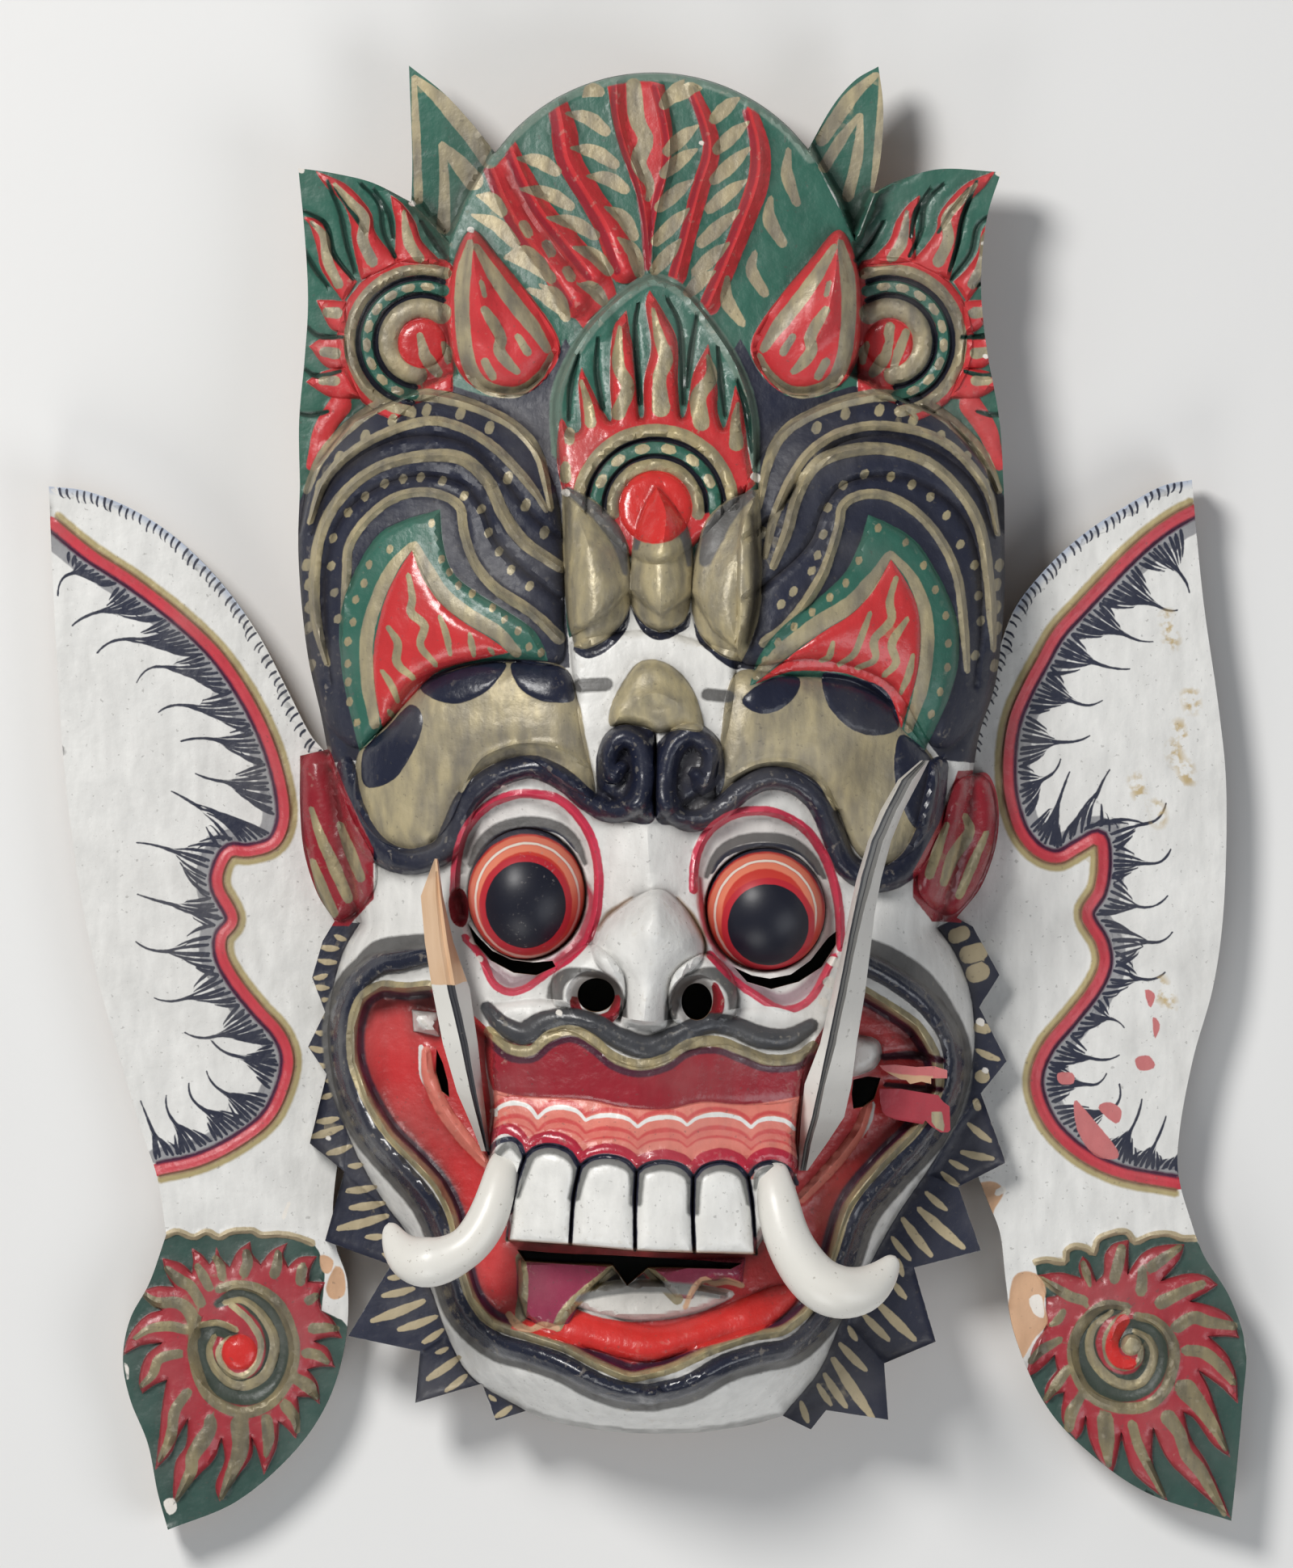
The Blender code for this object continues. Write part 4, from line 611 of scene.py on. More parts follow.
put([stroke([(626, 318), (648, 311), (668, 326), (681, 346)], [3, 8, 8, 4]), stroke([(654, 358), (676, 368),
    (700, 390)], [3, 8, 5])], "gold2")

# Crown: the side panels, with their suns
panel = [(350, 190), (430, 200), (509, 249), (556, 300), (553, 380), (566, 462), (513, 489), (440, 522), (392, 580),
    (374, 660), (350, 680), (352, 500), (352, 380)]
put(two(poly, panel, about=805), "green", level=level["panel"])
sun, sunRight = (521, 421), (1101, 421)
sunZone = [*arc(sun, 105, 72, 252, 15), (513, 500), (560, 484), (560, 330)]
put(two(poly, sunZone, about=811), "red", swell=2.2, soft=7)
cutsBetween = [[(404, 222), (420, 262), (428, 300), (438, 334)], [(414, 232), (436, 262), (452, 286)],
    [(446, 226), (468, 250), (474, 286), (488, 316)], [(462, 232), (480, 262), (486, 292)],
    [(374, 258), (402, 276), (412, 312), (436, 344)], [(372, 300), (388, 330), (404, 352)],
    [(376, 400), (394, 414), (424, 416)], [(372, 452), (392, 464), (420, 458)], [(366, 510), (384, 512), (404, 508)],
    [(520, 272), (538, 300), (556, 322)]]
for line in cutsBetween:
    # dark green in the cuts between the sun flames: painted shade
    put(two(stroke, line, [2, 3.5, 2], about=807), "greenPaintedShade", swell=-1.6)
sunFlames = [
    ([(390, 210), (423, 224), (444, 243), (459, 264), (463, 285), (478, 306), (497, 326)],
        [(446, 345), (435, 295), (433, 274), (423, 249), (402, 228), (390, 210)]),
    ([(373, 266), (392, 270), (405, 283), (410, 308), (423, 329), (444, 350)], [(424, 372), (398, 333), (392, 308),
        (383, 278), (373, 266)]),
    ([(483, 240), (497, 251), (512, 272), (520, 295), (539, 316), (552, 330)], [(488, 322), (489, 278), (486, 259),
        (483, 240)]),
    ([(391, 370), (408, 370), (432, 372)], [(428, 412), (408, 404), (391, 370)]),
    ([(382, 427), (400, 416), (430, 412)], [(430, 455), (402, 452), (382, 427)]),
    ([(378, 471), (400, 458), (432, 453)], [(446, 492), (408, 490), (378, 471)])]
for right, left in sunFlames:
    put([cornered(right, left), cornered(flip(right, 811), flip(left, 811))], "red", step=3.0, soft=4)
sunCores = [([(413, 226), (434, 249), (450, 268), (448, 295), (460, 322)], [2, 5, 6, 7, 7]),
    ([(384, 273), (400, 291), (404, 320), (418, 350)], [2, 6, 6, 6]), ([(499, 260), (501, 278), (506, 300),
    (518, 318)], [2, 5, 7, 6]), ([(404, 385), (416, 386)], [6, 7]), ([(400, 434), (414, 436)], [6, 7]),
    ([(398, 470), (414, 470)], [5, 6])]
for line, half in sunCores:
    put(two(stroke, line, half, about=811), "gold2")
put(two(stroke, [(420, 500), (400, 530), (384, 575)], [14, 12, 6], about=811), "red", swell=1.5, soft=9)
for radius, startDeg, count, half, coat, cuts in ((89, 70, 17, 7, "gold", {"step": 2.4, "soft": 4}),
        (78, 70, 17, 4, "navy2", {"swell": -2.2}), (68, 66, 17, 7, "green2", {"step": 0.8, "soft": 3}),
        (57.5, 62, 17, 3.5, "navy2", {"swell": -2.4}), (42, 54, 15, 12.5, "gold", {"step": 2.0, "soft": 4})):
    put(two(stroke, arc(sun, radius, startDeg, 262, count), half, about=811), coat, **cuts)
put(two(area, arc((522, 424), 30, 0, 330, 12), about=811), "red2", swell=1.4, soft=12)
marksAlong(arc(sun, 68, 84, 244, 9), sun, 4.5, "gold2")
marksAlong(arc(sunRight, 68, 96, -64, 9), sunRight, 4.5, "gold2")
put(two(stroke, [(519, 414), (523, 430), (526, 440), (541, 460)], [4, 6, 8, 6], about=811), "gold2")
put(two(stroke, [(548, 424), (553, 434), (554, 446)], [3, 6, 4], about=811), "gold2")
put([dab(1101, 408, 6, 5, 80), stroke([(1122, 410), (1112, 436), (1106, 456)], [5, 6, 4])], "gold2")

# Hair: two dark masses with raised strands, and the dark ground that runs down between the drops
hair = [(352, 660), (376, 606), (392, 572), (436, 524), (478, 502), (515, 488), (560, 478), (606, 492), (644, 490),
    (674, 466), (700, 420), (712, 440), (694, 490), (690, 560), (697, 630), (700, 740), (705, 826), (640, 836),
    (510, 866), (450, 940), (404, 944), (352, 950)]
put(two(poly, hair, about=808), "navy")
swirl = [(372, 640), (392, 575), (436, 522), (510, 488), (580, 498), (640, 530), (682, 590), (696, 660), (698, 760),
    (690, 822), (600, 816), (510, 846), (450, 926), (396, 880), (376, 780)]
put(two(area, swirl, about=805), swell=9.0, soft=63)
strands = [
    ([(379, 606), (398, 563), (429, 529), (467, 502), (513, 489), (559, 494), (605, 510), (643, 533), (668, 567),
        (682, 630)], [4, 6, 7, 7, 7, 7, 6, 6, 5, 3]),
    ([(383, 646), (402, 594), (436, 559), (482, 534), (532, 521), (574, 531), (609, 552), (637, 579), (662, 609),
        (676, 632)], [3, 5, 5, 5, 5, 5, 5, 5, 5, 3]),
    ([(405, 822), (391, 768), (389, 709), (398, 657), (422, 615), (464, 581), (515, 566), (568, 567), (603, 595),
        (623, 636), (648, 671), (694, 703)], [3, 6, 6, 6, 6, 6, 6, 7, 7, 7, 7, 6]),
    ([(424, 800), (429, 712), (433, 674), (457, 640), (492, 615), (533, 610), (568, 626), (575, 660), (589, 699),
        (616, 730), (658, 758), (692, 790)], [2, 4, 5, 5, 5, 5, 5, 5, 5, 6, 6, 7])]
strandsRight = [
    ([(1237, 606), (1218, 563), (1187, 529), (1149, 502), (1103, 489), (1057, 494), (1011, 510), (973, 533),
        (952, 567), (938, 630)], [4, 6, 7, 7, 7, 7, 6, 6, 5, 3]),
    ([(1235, 660), (1224, 610), (1192, 566), (1150, 538), (1092, 527), (1044, 534), (1006, 556), (980, 590),
        (958, 640), (946, 690)], [3, 5, 5, 5, 5, 5, 5, 5, 5, 3]),
    ([(1230, 803), (1228, 768), (1223, 709), (1212, 650), (1185, 605), (1147, 572), (1094, 556), (1043, 560),
        (1008, 577), (987, 612), (973, 660), (956, 702)], [3, 6, 6, 6, 6, 6, 6, 7, 7, 6, 6, 4]),
    ([(1197, 830), (1192, 768), (1185, 716), (1167, 674), (1140, 640), (1105, 617), (1070, 612), (1043, 626),
        (1036, 657), (1015, 716), (977, 771), (944, 796)], [3, 5, 5, 5, 5, 5, 5, 5, 5, 6, 6, 5])]
for line, half in strands + strandsRight:
    put(stroke(line, [h * 1.12 for h in half]), "gold", ridge=4.2, soft=7)
grooves = [
    [(386, 660), (404, 606), (440, 569), (486, 546), (532, 540), (580, 552), (620, 590), (660, 640), (694, 668)],
    [(410, 850), (402, 780), (402, 716), (412, 664), (436, 626), (480, 598), (524, 590), (572, 600), (598, 632),
        (612, 668), (640, 700), (694, 742)]]
for line in grooves:
    put(two(stroke, line, 6, about=808), ridge=-3.0)
beads = [(412, 666), (410, 700), (414, 733), (418, 766), (431, 634), (452, 615), (476, 599), (499, 593), (521, 591),
    (548, 596), (575, 614), (596, 631), (605, 660), (618, 683), (633, 706), (656, 726)]
bigBeads = [(629, 592), (651, 626), (674, 660), (379, 699), (382, 723), (382, 751), (381, 777), (384, 823),
    (396, 600), (420, 566), (452, 540), (486, 520), (528, 508), (570, 512), (606, 530)]
beadsRight = [(1069, 587), (1102, 590), (1128, 600), (1151, 615), (1171, 638), (1188, 674), (1206, 699), (1211, 737),
    (1214, 768), (1207, 811), (1043, 601), (1024, 629), (1018, 662), (1011, 688), (1004, 707), (981, 733), (966, 749)]
put(dabs(beads + beadsRight, 4.4, 2, 60), "gold2", swell=0.3)
put(dabs(bigBeads + flip(bigBeads, 808), 5.2, 3, 70), "gold2", swell=0.3)

# Drops
drop = [(583, 284), (560, 330), (555, 390), (560, 440), (580, 474), (615, 489), (655, 485), (688, 450), (690, 418),
    (662, 374), (618, 320)]
dropCrest = [(584, 292), (590, 350), (602, 400), (622, 436)]
for outline, crest in ((drop, dropCrest), (flip(drop, 811), flip(dropCrest, 811))):
    put(area(outline), "red", level=level["drop"] - 2, soft=5)
    put(area(outline), swell=12.0, soft=44)
    put(stroke(crest, [4, 16, 22, 8]), ridge=4.0, soft=20)
put(two(stroke, [(582, 300), (573, 345), (572, 393), (578, 442), (592, 472), (615, 484), (643, 484), (668, 465),
    (682, 440)], [4, 9, 9, 9, 9, 8, 7, 5, 3], about=811), "gold")
put(two(stroke, [(590, 306), (612, 342), (638, 378), (662, 408), (677, 432)], [4, 8, 9, 9, 5], about=811), "gold")
for line, half in (([(600, 384), (613, 404), (620, 419), (618, 434), (630, 451), (640, 460)], [5, 7, 7, 7, 7, 4]),
        ([(600, 448), (610, 466)], [5, 5]), ([(641, 417), (653, 436)], [4, 5]), ([(596, 350), (600, 366)], [3, 3])):
    put(two(stroke, line, half, about=811), "gold2")

# Leaves over the brows
leafLeft = [
    [(499, 645), (471, 660), (450, 688), (433, 723), (422, 761), (421, 803), (428, 855), (445, 929)],
    [(482, 893), (513, 850), (560, 826), (628, 816), (678, 818)],
    [(672, 799), (658, 778), (623, 754), (589, 733), (561, 709), (549, 674), (545, 631)]]
redLeft = [[(526, 712), (547, 747), (575, 771), (610, 792), (629, 808)], [(568, 822), (537, 834), (506, 866),
    (474, 900)], [(464, 850), (464, 800), (478, 740), (495, 706), (512, 680)]]
leafRight = [
    [(1102, 650), (1133, 671), (1157, 706), (1174, 740), (1185, 775), (1185, 820), (1174, 862), (1157, 900),
        (1143, 931)],
    [(1115, 900), (1095, 868), (1050, 842), (980, 838), (928, 848)],
    [(939, 813), (966, 778), (1008, 744), (1043, 712), (1063, 674), (1074, 638)]]
redRight = [
    [(1122, 723), (1136, 758), (1138, 796), (1133, 837), (1115, 900)],
    [(1095, 858), (1056, 836), (1015, 830), (973, 832), (935, 846)],
    [(973, 816), (1015, 785), (1056, 758), (1084, 723), (1102, 693)]]
for leaf, heart in ((leafLeft, redLeft), (leafRight, redRight)):
    put(chain(*leaf), "green2", step=3.0, soft=6)
    put(chain(*heart), "red2", swell=1.6, soft=14)
put([stroke([(509, 676), (488, 700), (468, 740), (455, 786), (455, 840), (464, 896)], [4, 8, 8, 8, 8, 6]),
    stroke([(514, 676), (530, 708), (550, 738), (580, 762), (616, 784), (640, 808)], [5, 9, 9, 9, 9, 6]),
    stroke([(1102, 686), (1128, 716), (1144, 756), (1147, 800), (1140, 850), (1124, 902)], [4, 7, 8, 8, 8, 5]),
    stroke([(1098, 688), (1080, 716), (1052, 748), (1010, 774), (968, 806), (936, 836)], [4, 9, 10, 10, 9, 6])],
    "gold2", step=0.4, soft=3)
squiggles = [([(506, 712), (511, 740), (509, 758), (526, 775), (521, 799), (540, 823)], 5),
    ([(481, 777), (493, 796), (492, 820), (512, 839)], 5), ([(545, 764), (552, 782), (558, 810)], 4),
    ([(582, 785), (587, 811)], 4), ([(473, 830), (485, 848), (493, 868)], 4), ([(606, 803), (612, 810)], 3),
    ([(481, 879), (488, 888)], 3), ([(1108, 716), (1100, 744), (1102, 768), (1081, 792), (1082, 816), (1060, 827)],
    5), ([(1076, 759), (1065, 789), (1056, 810), (1037, 823)], 4), ([(1122, 766), (1103, 796), (1108, 820),
    (1093, 836)], 5), ([(1129, 811), (1124, 834), (1114, 858)], 4), ([(1030, 796), (1025, 813), (1015, 818)], 4)]
for line, half in squiggles:
    put(stroke(line, [half * 0.6, half, half, half * 0.6]), "gold3")
leafDots = [(483, 680), (457, 699), (451, 722), (441, 742), (437, 770), (431, 794), (431, 821), (431, 844),
    (433, 868), (442, 894), (535, 648), (547, 693), (557, 709), (568, 725), (585, 735), (610, 753), (625, 767),
    (642, 781), (655, 801), (670, 808), (1120, 672), (1142, 700), (1157, 730), (1170, 762), (1173, 796), (1172, 826),
    (1163, 856), (1152, 884), (1062, 694), (1046, 722), (1026, 740), (1004, 758), (982, 776), (962, 796), (946, 818),
    (936, 836), (1086, 654)]
put(dabs(leafDots, 3.8, 1.8, 75), "gold3")

# Panel over the forehead, with its flames, arch and three petals
lotus = [
    [(808, 340), (768, 364), (726, 405), (697, 456), (685, 499), (688, 560), (699, 618)],
    [(699, 618), (700, 740), (704, 790)],
    *legs([(704, 790), (748, 765), (778, 735), (816, 765), (856, 740), (880, 780), (914, 808)]),
    [(914, 808), (934, 740), (937, 600)],
    [(937, 600), (934, 510), (916, 453), (885, 403), (847, 358), (808, 340)]]
put(cornered(*lotus), "green2", step=6.0, soft=6)
put(stroke([(690, 560), (688, 500), (700, 458), (729, 409), (770, 368), (808, 346), (845, 362), (882, 407),
    (912, 456), (930, 512), (932, 580)], 7.5), "rimGreen2", ridge=2.0)
lotusFlames = [
    [(690, 570), (694, 520), (706, 536), (719, 530), (716, 478), (720, 456)],
    [(731, 480), (747, 512), (757, 520), (755, 468), (759, 409), (775, 385)],
    [(779, 413), (787, 449), (790, 512), (797, 514), (797, 472), (806, 429), (799, 379), (804, 360)],
    [(822, 389), (838, 425), (838, 468), (842, 516), (850, 508), (858, 464), (876, 427)],
    [(887, 478), (887, 508), (895, 532), (901, 518), (910, 478)],
    [(919, 508), (925, 557), (934, 600)],
    [(813, 700), (697, 612)]]
arch = (811, 629)
# dark green in the cuts between the flames: painted shade
put([stroke([(716, 440), (706, 480), (704, 520)], [2, 4, 2]), stroke([(740, 420), (738, 460), (746, 506)], [2, 4, 3]),
    stroke([(790, 376), (786, 410), (792, 500)], [2, 4, 3]), stroke([(826, 370), (842, 410), (846, 500)], [2, 4, 3]),
    stroke([(862, 392), (856, 430), (850, 480)], [2, 4, 2]), stroke([(888, 430), (892, 470), (897, 515)], [2, 4, 2]),
    stroke([(912, 470), (924, 510), (930, 560)], [2, 4, 2])], "greenPaintedShade", swell=-2.0)
put(chain(*lotusFlames), "red2", ridge=4.6, soft=7)
for line, half in (([(767, 405), (765, 452), (777, 480), (765, 512)], [2, 7, 8, 9]),
        ([(808, 383), (816, 419), (824, 445), (816, 468), (818, 506)], [2, 6, 9, 8, 11]),
        ([(876, 441), (880, 468), (864, 492), (868, 524)], [2, 8, 10, 10]), ([(913, 500), (910, 520), (911, 550)],
        [2, 6, 9]), ([(719, 472), (727, 498), (731, 524)], [2, 5, 7]), ([(705, 536), (705, 546)], [6, 6]),
        ([(700, 578), (700, 592)], [6, 7])):
    put(stroke(line, half), "gold3")
for radius, startDeg, half, coat, cuts in ((95, 2, 8, "gold3", {"step": 2.4, "soft": 4}),
        (84.5, -4, 3, "navy4", {"swell": -2.6}), (74, -4, 7.5, "green4", {"step": 0.8, "soft": 3}),
        (63.5, -4, 3, "navy4", {"swell": -2.6}), (53, -8, 8, "gold3", {"step": 2.2, "soft": 4})):
    put(stroke(arc(arch, radius, startDeg, 180 - startDeg, 19), half), coat, **cuts)
put(oval(*arch, 45), "red4", step=1.6, soft=4)
marksAlong(arc(arch, 74, 26, 154, 6), arch, 5.5, "gold4")
petals = [
    ([[(720, 612), (742, 626), (764, 650), (777, 676)], [(781, 712), (780, 748), (768, 774), (748, 793), (726, 803),
        (711, 800)], [(701, 752), (697, 680), (696, 606)]], [(699, 610), (716, 644), (731, 684), (738, 726),
        (736, 770)], [5, 17, 30, 34, 24]),
    ([[(906, 617), (880, 637), (867, 662), (858, 702), (856, 750), (864, 781), (880, 802), (898, 814), (917, 819)],
        [(929, 792), (940, 752), (942, 680), (939, 606)]], [(937, 610), (920, 650), (909, 700), (903, 750),
        (908, 796)], [5, 18, 30, 32, 20]),
    ([[(832, 625), (850, 654), (857, 690), (855, 736), (849, 764), (835, 777), (816, 783)],
        [(798, 773), (782, 750), (780, 708), (786, 660), (798, 626), (812, 603)]], [(813, 605), (824, 638),
        (820, 680), (818, 730), (817, 768)], [5, 17, 30, 30, 16])]
for petal, crest, half in petals:
    put(chain(*petal), "gold4", swell=7.0, soft=26)
    put(stroke(crest, half), ridge=5.0, soft=26)
# grey along one side of each petal: painted shade
put([stroke([(703, 608), (722, 622), (745, 642), (766, 672), (774, 710)], [4, 8, 10, 8, 3]),
    stroke([(815, 606), (834, 636), (848, 668), (853, 700)], [2, 7, 6, 3]), stroke([(806, 616), (794, 644),
    (787, 680)], [3, 6, 3]), stroke([(930, 612), (906, 630), (886, 656), (872, 694)], [5, 11, 14, 8])], "shadeGrey")
# dark brown down the right side of the right petal: painted shade
put(stroke([(930, 640), (936, 700), (934, 750), (924, 796)], [4, 7, 7, 5]), "petalPaintedShade")
put([chain([(726, 803), (748, 793), (768, 774), (779, 752)], [(778, 772), (768, 790), (749, 807), (728, 815),
    (712, 807), (711, 800)]), chain([(798, 773), (816, 783), (835, 777), (854, 758)],
    [(853, 775), (840, 784), (824, 791), (808, 791), (792, 777), (780, 750)]), chain([(864, 781), (880, 802),
    (898, 814), (918, 819)], [(914, 829), (898, 823), (880, 809), (863, 791), (856, 756)])], "navy4", step=-1.0,
    soft=5)

# Ruff: dark leaves round the jaw, each with pale brush strokes
put(Shape(np.vstack([smooth(run)[:-1] for run in [*legs(ruffLeft), [(413, 1140),
    (444, 1143)]]] + [smooth(jawLeft[::-1])])), "navy")
put(Shape(np.vstack([smooth(run)[:-1] for run in [[(1160, 1148), (1185, 1136)],
    *legs(ruffRight)]] + [smooth(jawRight[::-1])])), "navy")
lapped = [
    [(380, 1296), (403, 1330), (430, 1400), (425, 1451), (382, 1416), (403, 1330)],
    [(401, 1537), (425, 1451), (470, 1490), (500, 1560), (483, 1567)],
    [(513, 1738), (519, 1674), (550, 1655), (590, 1712), (596, 1714)],
    [(1246, 1440), (1215, 1354), (1180, 1400), (1150, 1455), (1187, 1470)],
    [(1159, 1662), (1132, 1570), (1080, 1570), (1050, 1640), (1095, 1689)]]
put([poly(points) for points in lapped], step=-1.8, soft=5)
ruffDashes = [(414, 1158, 426, 1163), (396, 1172, 417, 1174), (393, 1189, 414, 1191), (388, 1211, 403, 1207),
    (388, 1221, 405, 1223), (396, 1237, 404, 1237), (396, 1255, 404, 1260), (390, 1278, 401, 1279),
    (383, 1297, 403, 1301), (386, 1318, 403, 1320), (402, 1338, 408, 1338), (397, 1359, 410, 1355),
    (391, 1389, 417, 1385), (384, 1408, 422, 1396), (404, 1429, 433, 1419), (431, 1444, 447, 1442),
    (428, 1475, 464, 1470), (433, 1496, 474, 1490), (417, 1522, 478, 1506), (452, 1532, 474, 1531),
    (473, 1553, 481, 1556), (480, 1583, 497, 1580), (473, 1605, 511, 1596), (460, 1636, 523, 1612),
    (493, 1647, 539, 1631), (523, 1663, 547, 1647), (539, 1676, 553, 1670), (528, 1709, 568, 1681),
    (551, 1723, 576, 1704), (605, 1729, 613, 1735), (613, 1755, 632, 1743), (1210, 1300, 1237, 1312),
    (1200, 1392, 1227, 1413), (1192, 1427, 1230, 1435), (1177, 1438, 1198, 1448), (1167, 1453, 1187, 1468),
    (1147, 1477, 1172, 1498), (1138, 1497, 1193, 1545), (1118, 1510, 1153, 1555), (1105, 1533, 1127, 1560),
    (1112, 1560, 1118, 1580), (1106, 1588, 1122, 1608), (1085, 1612, 1133, 1660), (1069, 1628, 1101, 1660),
    (1051, 1644, 1061, 1660), (1040, 1665, 1072, 1697), (1032, 1684, 1080, 1756), (1021, 1703, 1048, 1743),
    (1013, 1716, 1029, 1740), (992, 1737, 1000, 1761)]
for u0, v0, u1, v1 in ruffDashes:
    wide = 2.6 + 0.045 * math.dist((u0, v0), (u1, v1))
    put(stroke([(u0, v0), ((u0 + u1) / 2, (v0 + v1) / 2 + 1), (u1, v1)], [wide * 0.5, wide, wide, wide * 0.5]),
        "pale", swell=0.3)
put([dab(1188, 1157, 9, 5, 20), dab(1206, 1180, 11, 7, 15), dab(1211, 1204, 11, 4, 20), dab(1217, 1273, 6, 5, -10),
    dab(1217, 1333, 8, 1), dab(1210, 1368, 4, 4, -70)], "pale", swell=0.4)

# Brows: gold masses with dark spots, the bump and the rolled dark brows with their scrolls
browLeft = [(438, 975), (445, 930), (482, 893), (520, 853), (573, 826), (640, 820), (698, 826), (716, 870),
    (727, 925), (736, 985), (706, 975), (655, 940), (618, 945), (582, 970), (558, 1018), (532, 1046), (502, 1052),
    (470, 1040), (446, 1010)]
browRight = [(908, 836), (970, 836), (1050, 845), (1100, 870), (1145, 925), (1162, 960), (1152, 1020), (1120, 1060),
    (1084, 1070), (1056, 1050), (1036, 1004), (1006, 970), (966, 950), (920, 960), (886, 990), (890, 930)]
put([area(browLeft), area(browRight)], "gold", swell=7.0, soft=42)
spots = [
    [(522, 848), (540, 866), (568, 870), (599, 858), (620, 836), (624, 820), (575, 826)],
    [(634, 821), (640, 846), (658, 862), (682, 869), (710, 866), (704, 832), (668, 820)],
    [(450, 930), (480, 900), (509, 872), (524, 893), (509, 934), (485, 966), (452, 972)],
    [(918, 866), (939, 883), (966, 877), (986, 857), (986, 838), (950, 842)],
    [(1018, 834), (1024, 872), (1050, 900), (1081, 910), (1110, 902), (1108, 879), (1091, 851), (1050, 838)],
    [(1114, 910), (1140, 925), (1158, 955), (1152, 1012), (1132, 1024), (1112, 985), (1106, 945)]]
put([area(spot) for spot in spots], "navy4", swell=0.7, soft=6)
# a lighter gold line along the ridge above each brow roll: painted highlight
put([stroke([(571, 978), (586, 952), (603, 934), (644, 920), (686, 924), (726, 946)], [3, 4, 4, 4, 4, 3]),
    stroke([(904, 962), (939, 945), (980, 944), (1011, 962), (1034, 1000)], [3, 4, 4, 4, 3])], "gold4", swell=2.2)
put(chain([(712, 860), (722, 920), (738, 975)], [(806, 1015), (880, 975)], [(898, 915), (908, 860), (912, 808)],
    [(806, 780), (704, 795)]), step=4.0, soft=6)
# grey dabs in the corners where the bump meets the brows: painted shade
put([dab(734, 848, 8.5, 16, 3), dab(888, 861, 7.5, 13, -6)], "shadeGrey")
put(area([(802, 817), (822, 820), (840, 832), (856, 852), (867, 882), (868, 904), (840, 903), (815, 907), (798, 900),
    (774, 896), (755, 898), (756, 876), (768, 850), (786, 824)]), "gold4", swell=7.0, soft=24)
put(stroke([(790, 866), (812, 858), (836, 868)], [10, 16, 10]), ridge=3.0, soft=16)
# a pale patch on the front of the bump: painted highlight
put(area([(800, 860), (822, 858), (834, 872), (814, 882), (794, 874)]), "pale4")
put([area([(742, 925), (752, 906), (772, 896), (796, 900), (811, 912), (811, 1010), (776, 1016), (744, 1006),
    (738, 950)]), area([(828, 906), (850, 898), (880, 908), (894, 934), (894, 974), (870, 1012), (838, 1020),
    (811, 1010), (811, 930)])], "navy4", step=2.0, soft=6)
rollLeft = [(768, 950), (758, 962), (753, 945), (756, 924), (772, 911), (790, 922), (796, 950), (793, 980),
    (776, 1001), (750, 1003), (726, 989), (704, 970), (683, 957), (658, 949), (628, 955), (600, 970), (577, 993),
    (564, 1022), (548, 1053), (510, 1066), (476, 1057), (450, 1030), (434, 990), (428, 950)]
rollRight = [(862, 958), (871, 974), (880, 952), (879, 927), (862, 911), (842, 914), (828, 934), (823, 964),
    (827, 994), (845, 1013), (868, 1014), (894, 998), (920, 976), (950, 963), (985, 969), (1012, 992), (1030, 1030),
    (1048, 1070), (1083, 1088), (1118, 1076), (1144, 1040), (1156, 990), (1162, 948)]
rollHalf = [9, 14, 16, 14, 13, 14, 15, 15, 16, 16, 15, 12]
put([stroke(rollLeft, rollHalf), stroke(rollRight, rollHalf)], "navy4", swell=7.5, soft=15)
put(stroke([(811, 908), (811, 950), (810, 1008)], [2, 3, 3]), ridge=-5.0, soft=3)

# Eyes: sunk sockets, lids and their drawn lines; the balls are pieces of their own
sockets = [
    [(652, 984), (700, 1000), (733, 1045), (738, 1105), (726, 1165), (690, 1196), (660, 1217), (628, 1225),
        (596, 1194), (570, 1140), (564, 1080), (580, 1022), (612, 992)],
    [(938, 1004), (990, 1018), (1026, 1062), (1040, 1120), (1036, 1180), (1008, 1224), (968, 1248), (928, 1222),
        (886, 1185), (862, 1120), (860, 1068), (884, 1020)]]
eyeBalls = {
    "eyeLeft": {"place": (652.5, 1106), "half": (73, 81), "pupil": (651, 1119, 50, 54), "line": (653, 1113, 64, 70)},
    "eyeRight": {"place": (946.5, 1125), "half": (74, 76), "pupil": (950, 1143.5, 50.5, 50.5),
        "line": (946.5, 1131, 62.5, 66.5)}}
eyeBase, eyeRise = 81.0, 21.0
for socket in sockets:
    put(area(socket), step=-4.0, soft=10)
for ball in eyeBalls.values():
    # a near-black oval a little wider than each ball: painted shadow in the gap round the ball
    put(oval(*ball["place"], ball["half"][0] + 2, ball["half"][1] + 2), "dark", level=eyeBase - 4, soft=9)
rims = [
    [(563, 1104), (566, 1062), (578, 1025), (604, 997), (634, 984), (658, 982), (690, 988), (716, 1010), (733, 1040),
        (740, 1072), (741, 1097), (738, 1130), (729, 1158)],
    [(858, 1100), (860, 1064), (874, 1032), (902, 1010), (934, 1003), (966, 1008), (1000, 1030), (1024, 1070),
        (1037, 1119), (1040, 1171)]]
put([stroke(rims[0], 5.6), stroke(rims[1], 5.6)], "crimson", ridge=1.6)
put([stroke([(576, 1160), (595, 1181), (610, 1214), (628, 1226), (651, 1222), (680, 1201), (707, 1183), (729, 1160)],
    4.6), stroke([(878, 1180), (908, 1211), (931, 1228), (968, 1248), (1002, 1235), (1031, 1184)], 4.6)], "crimson",
    ridge=1.0)
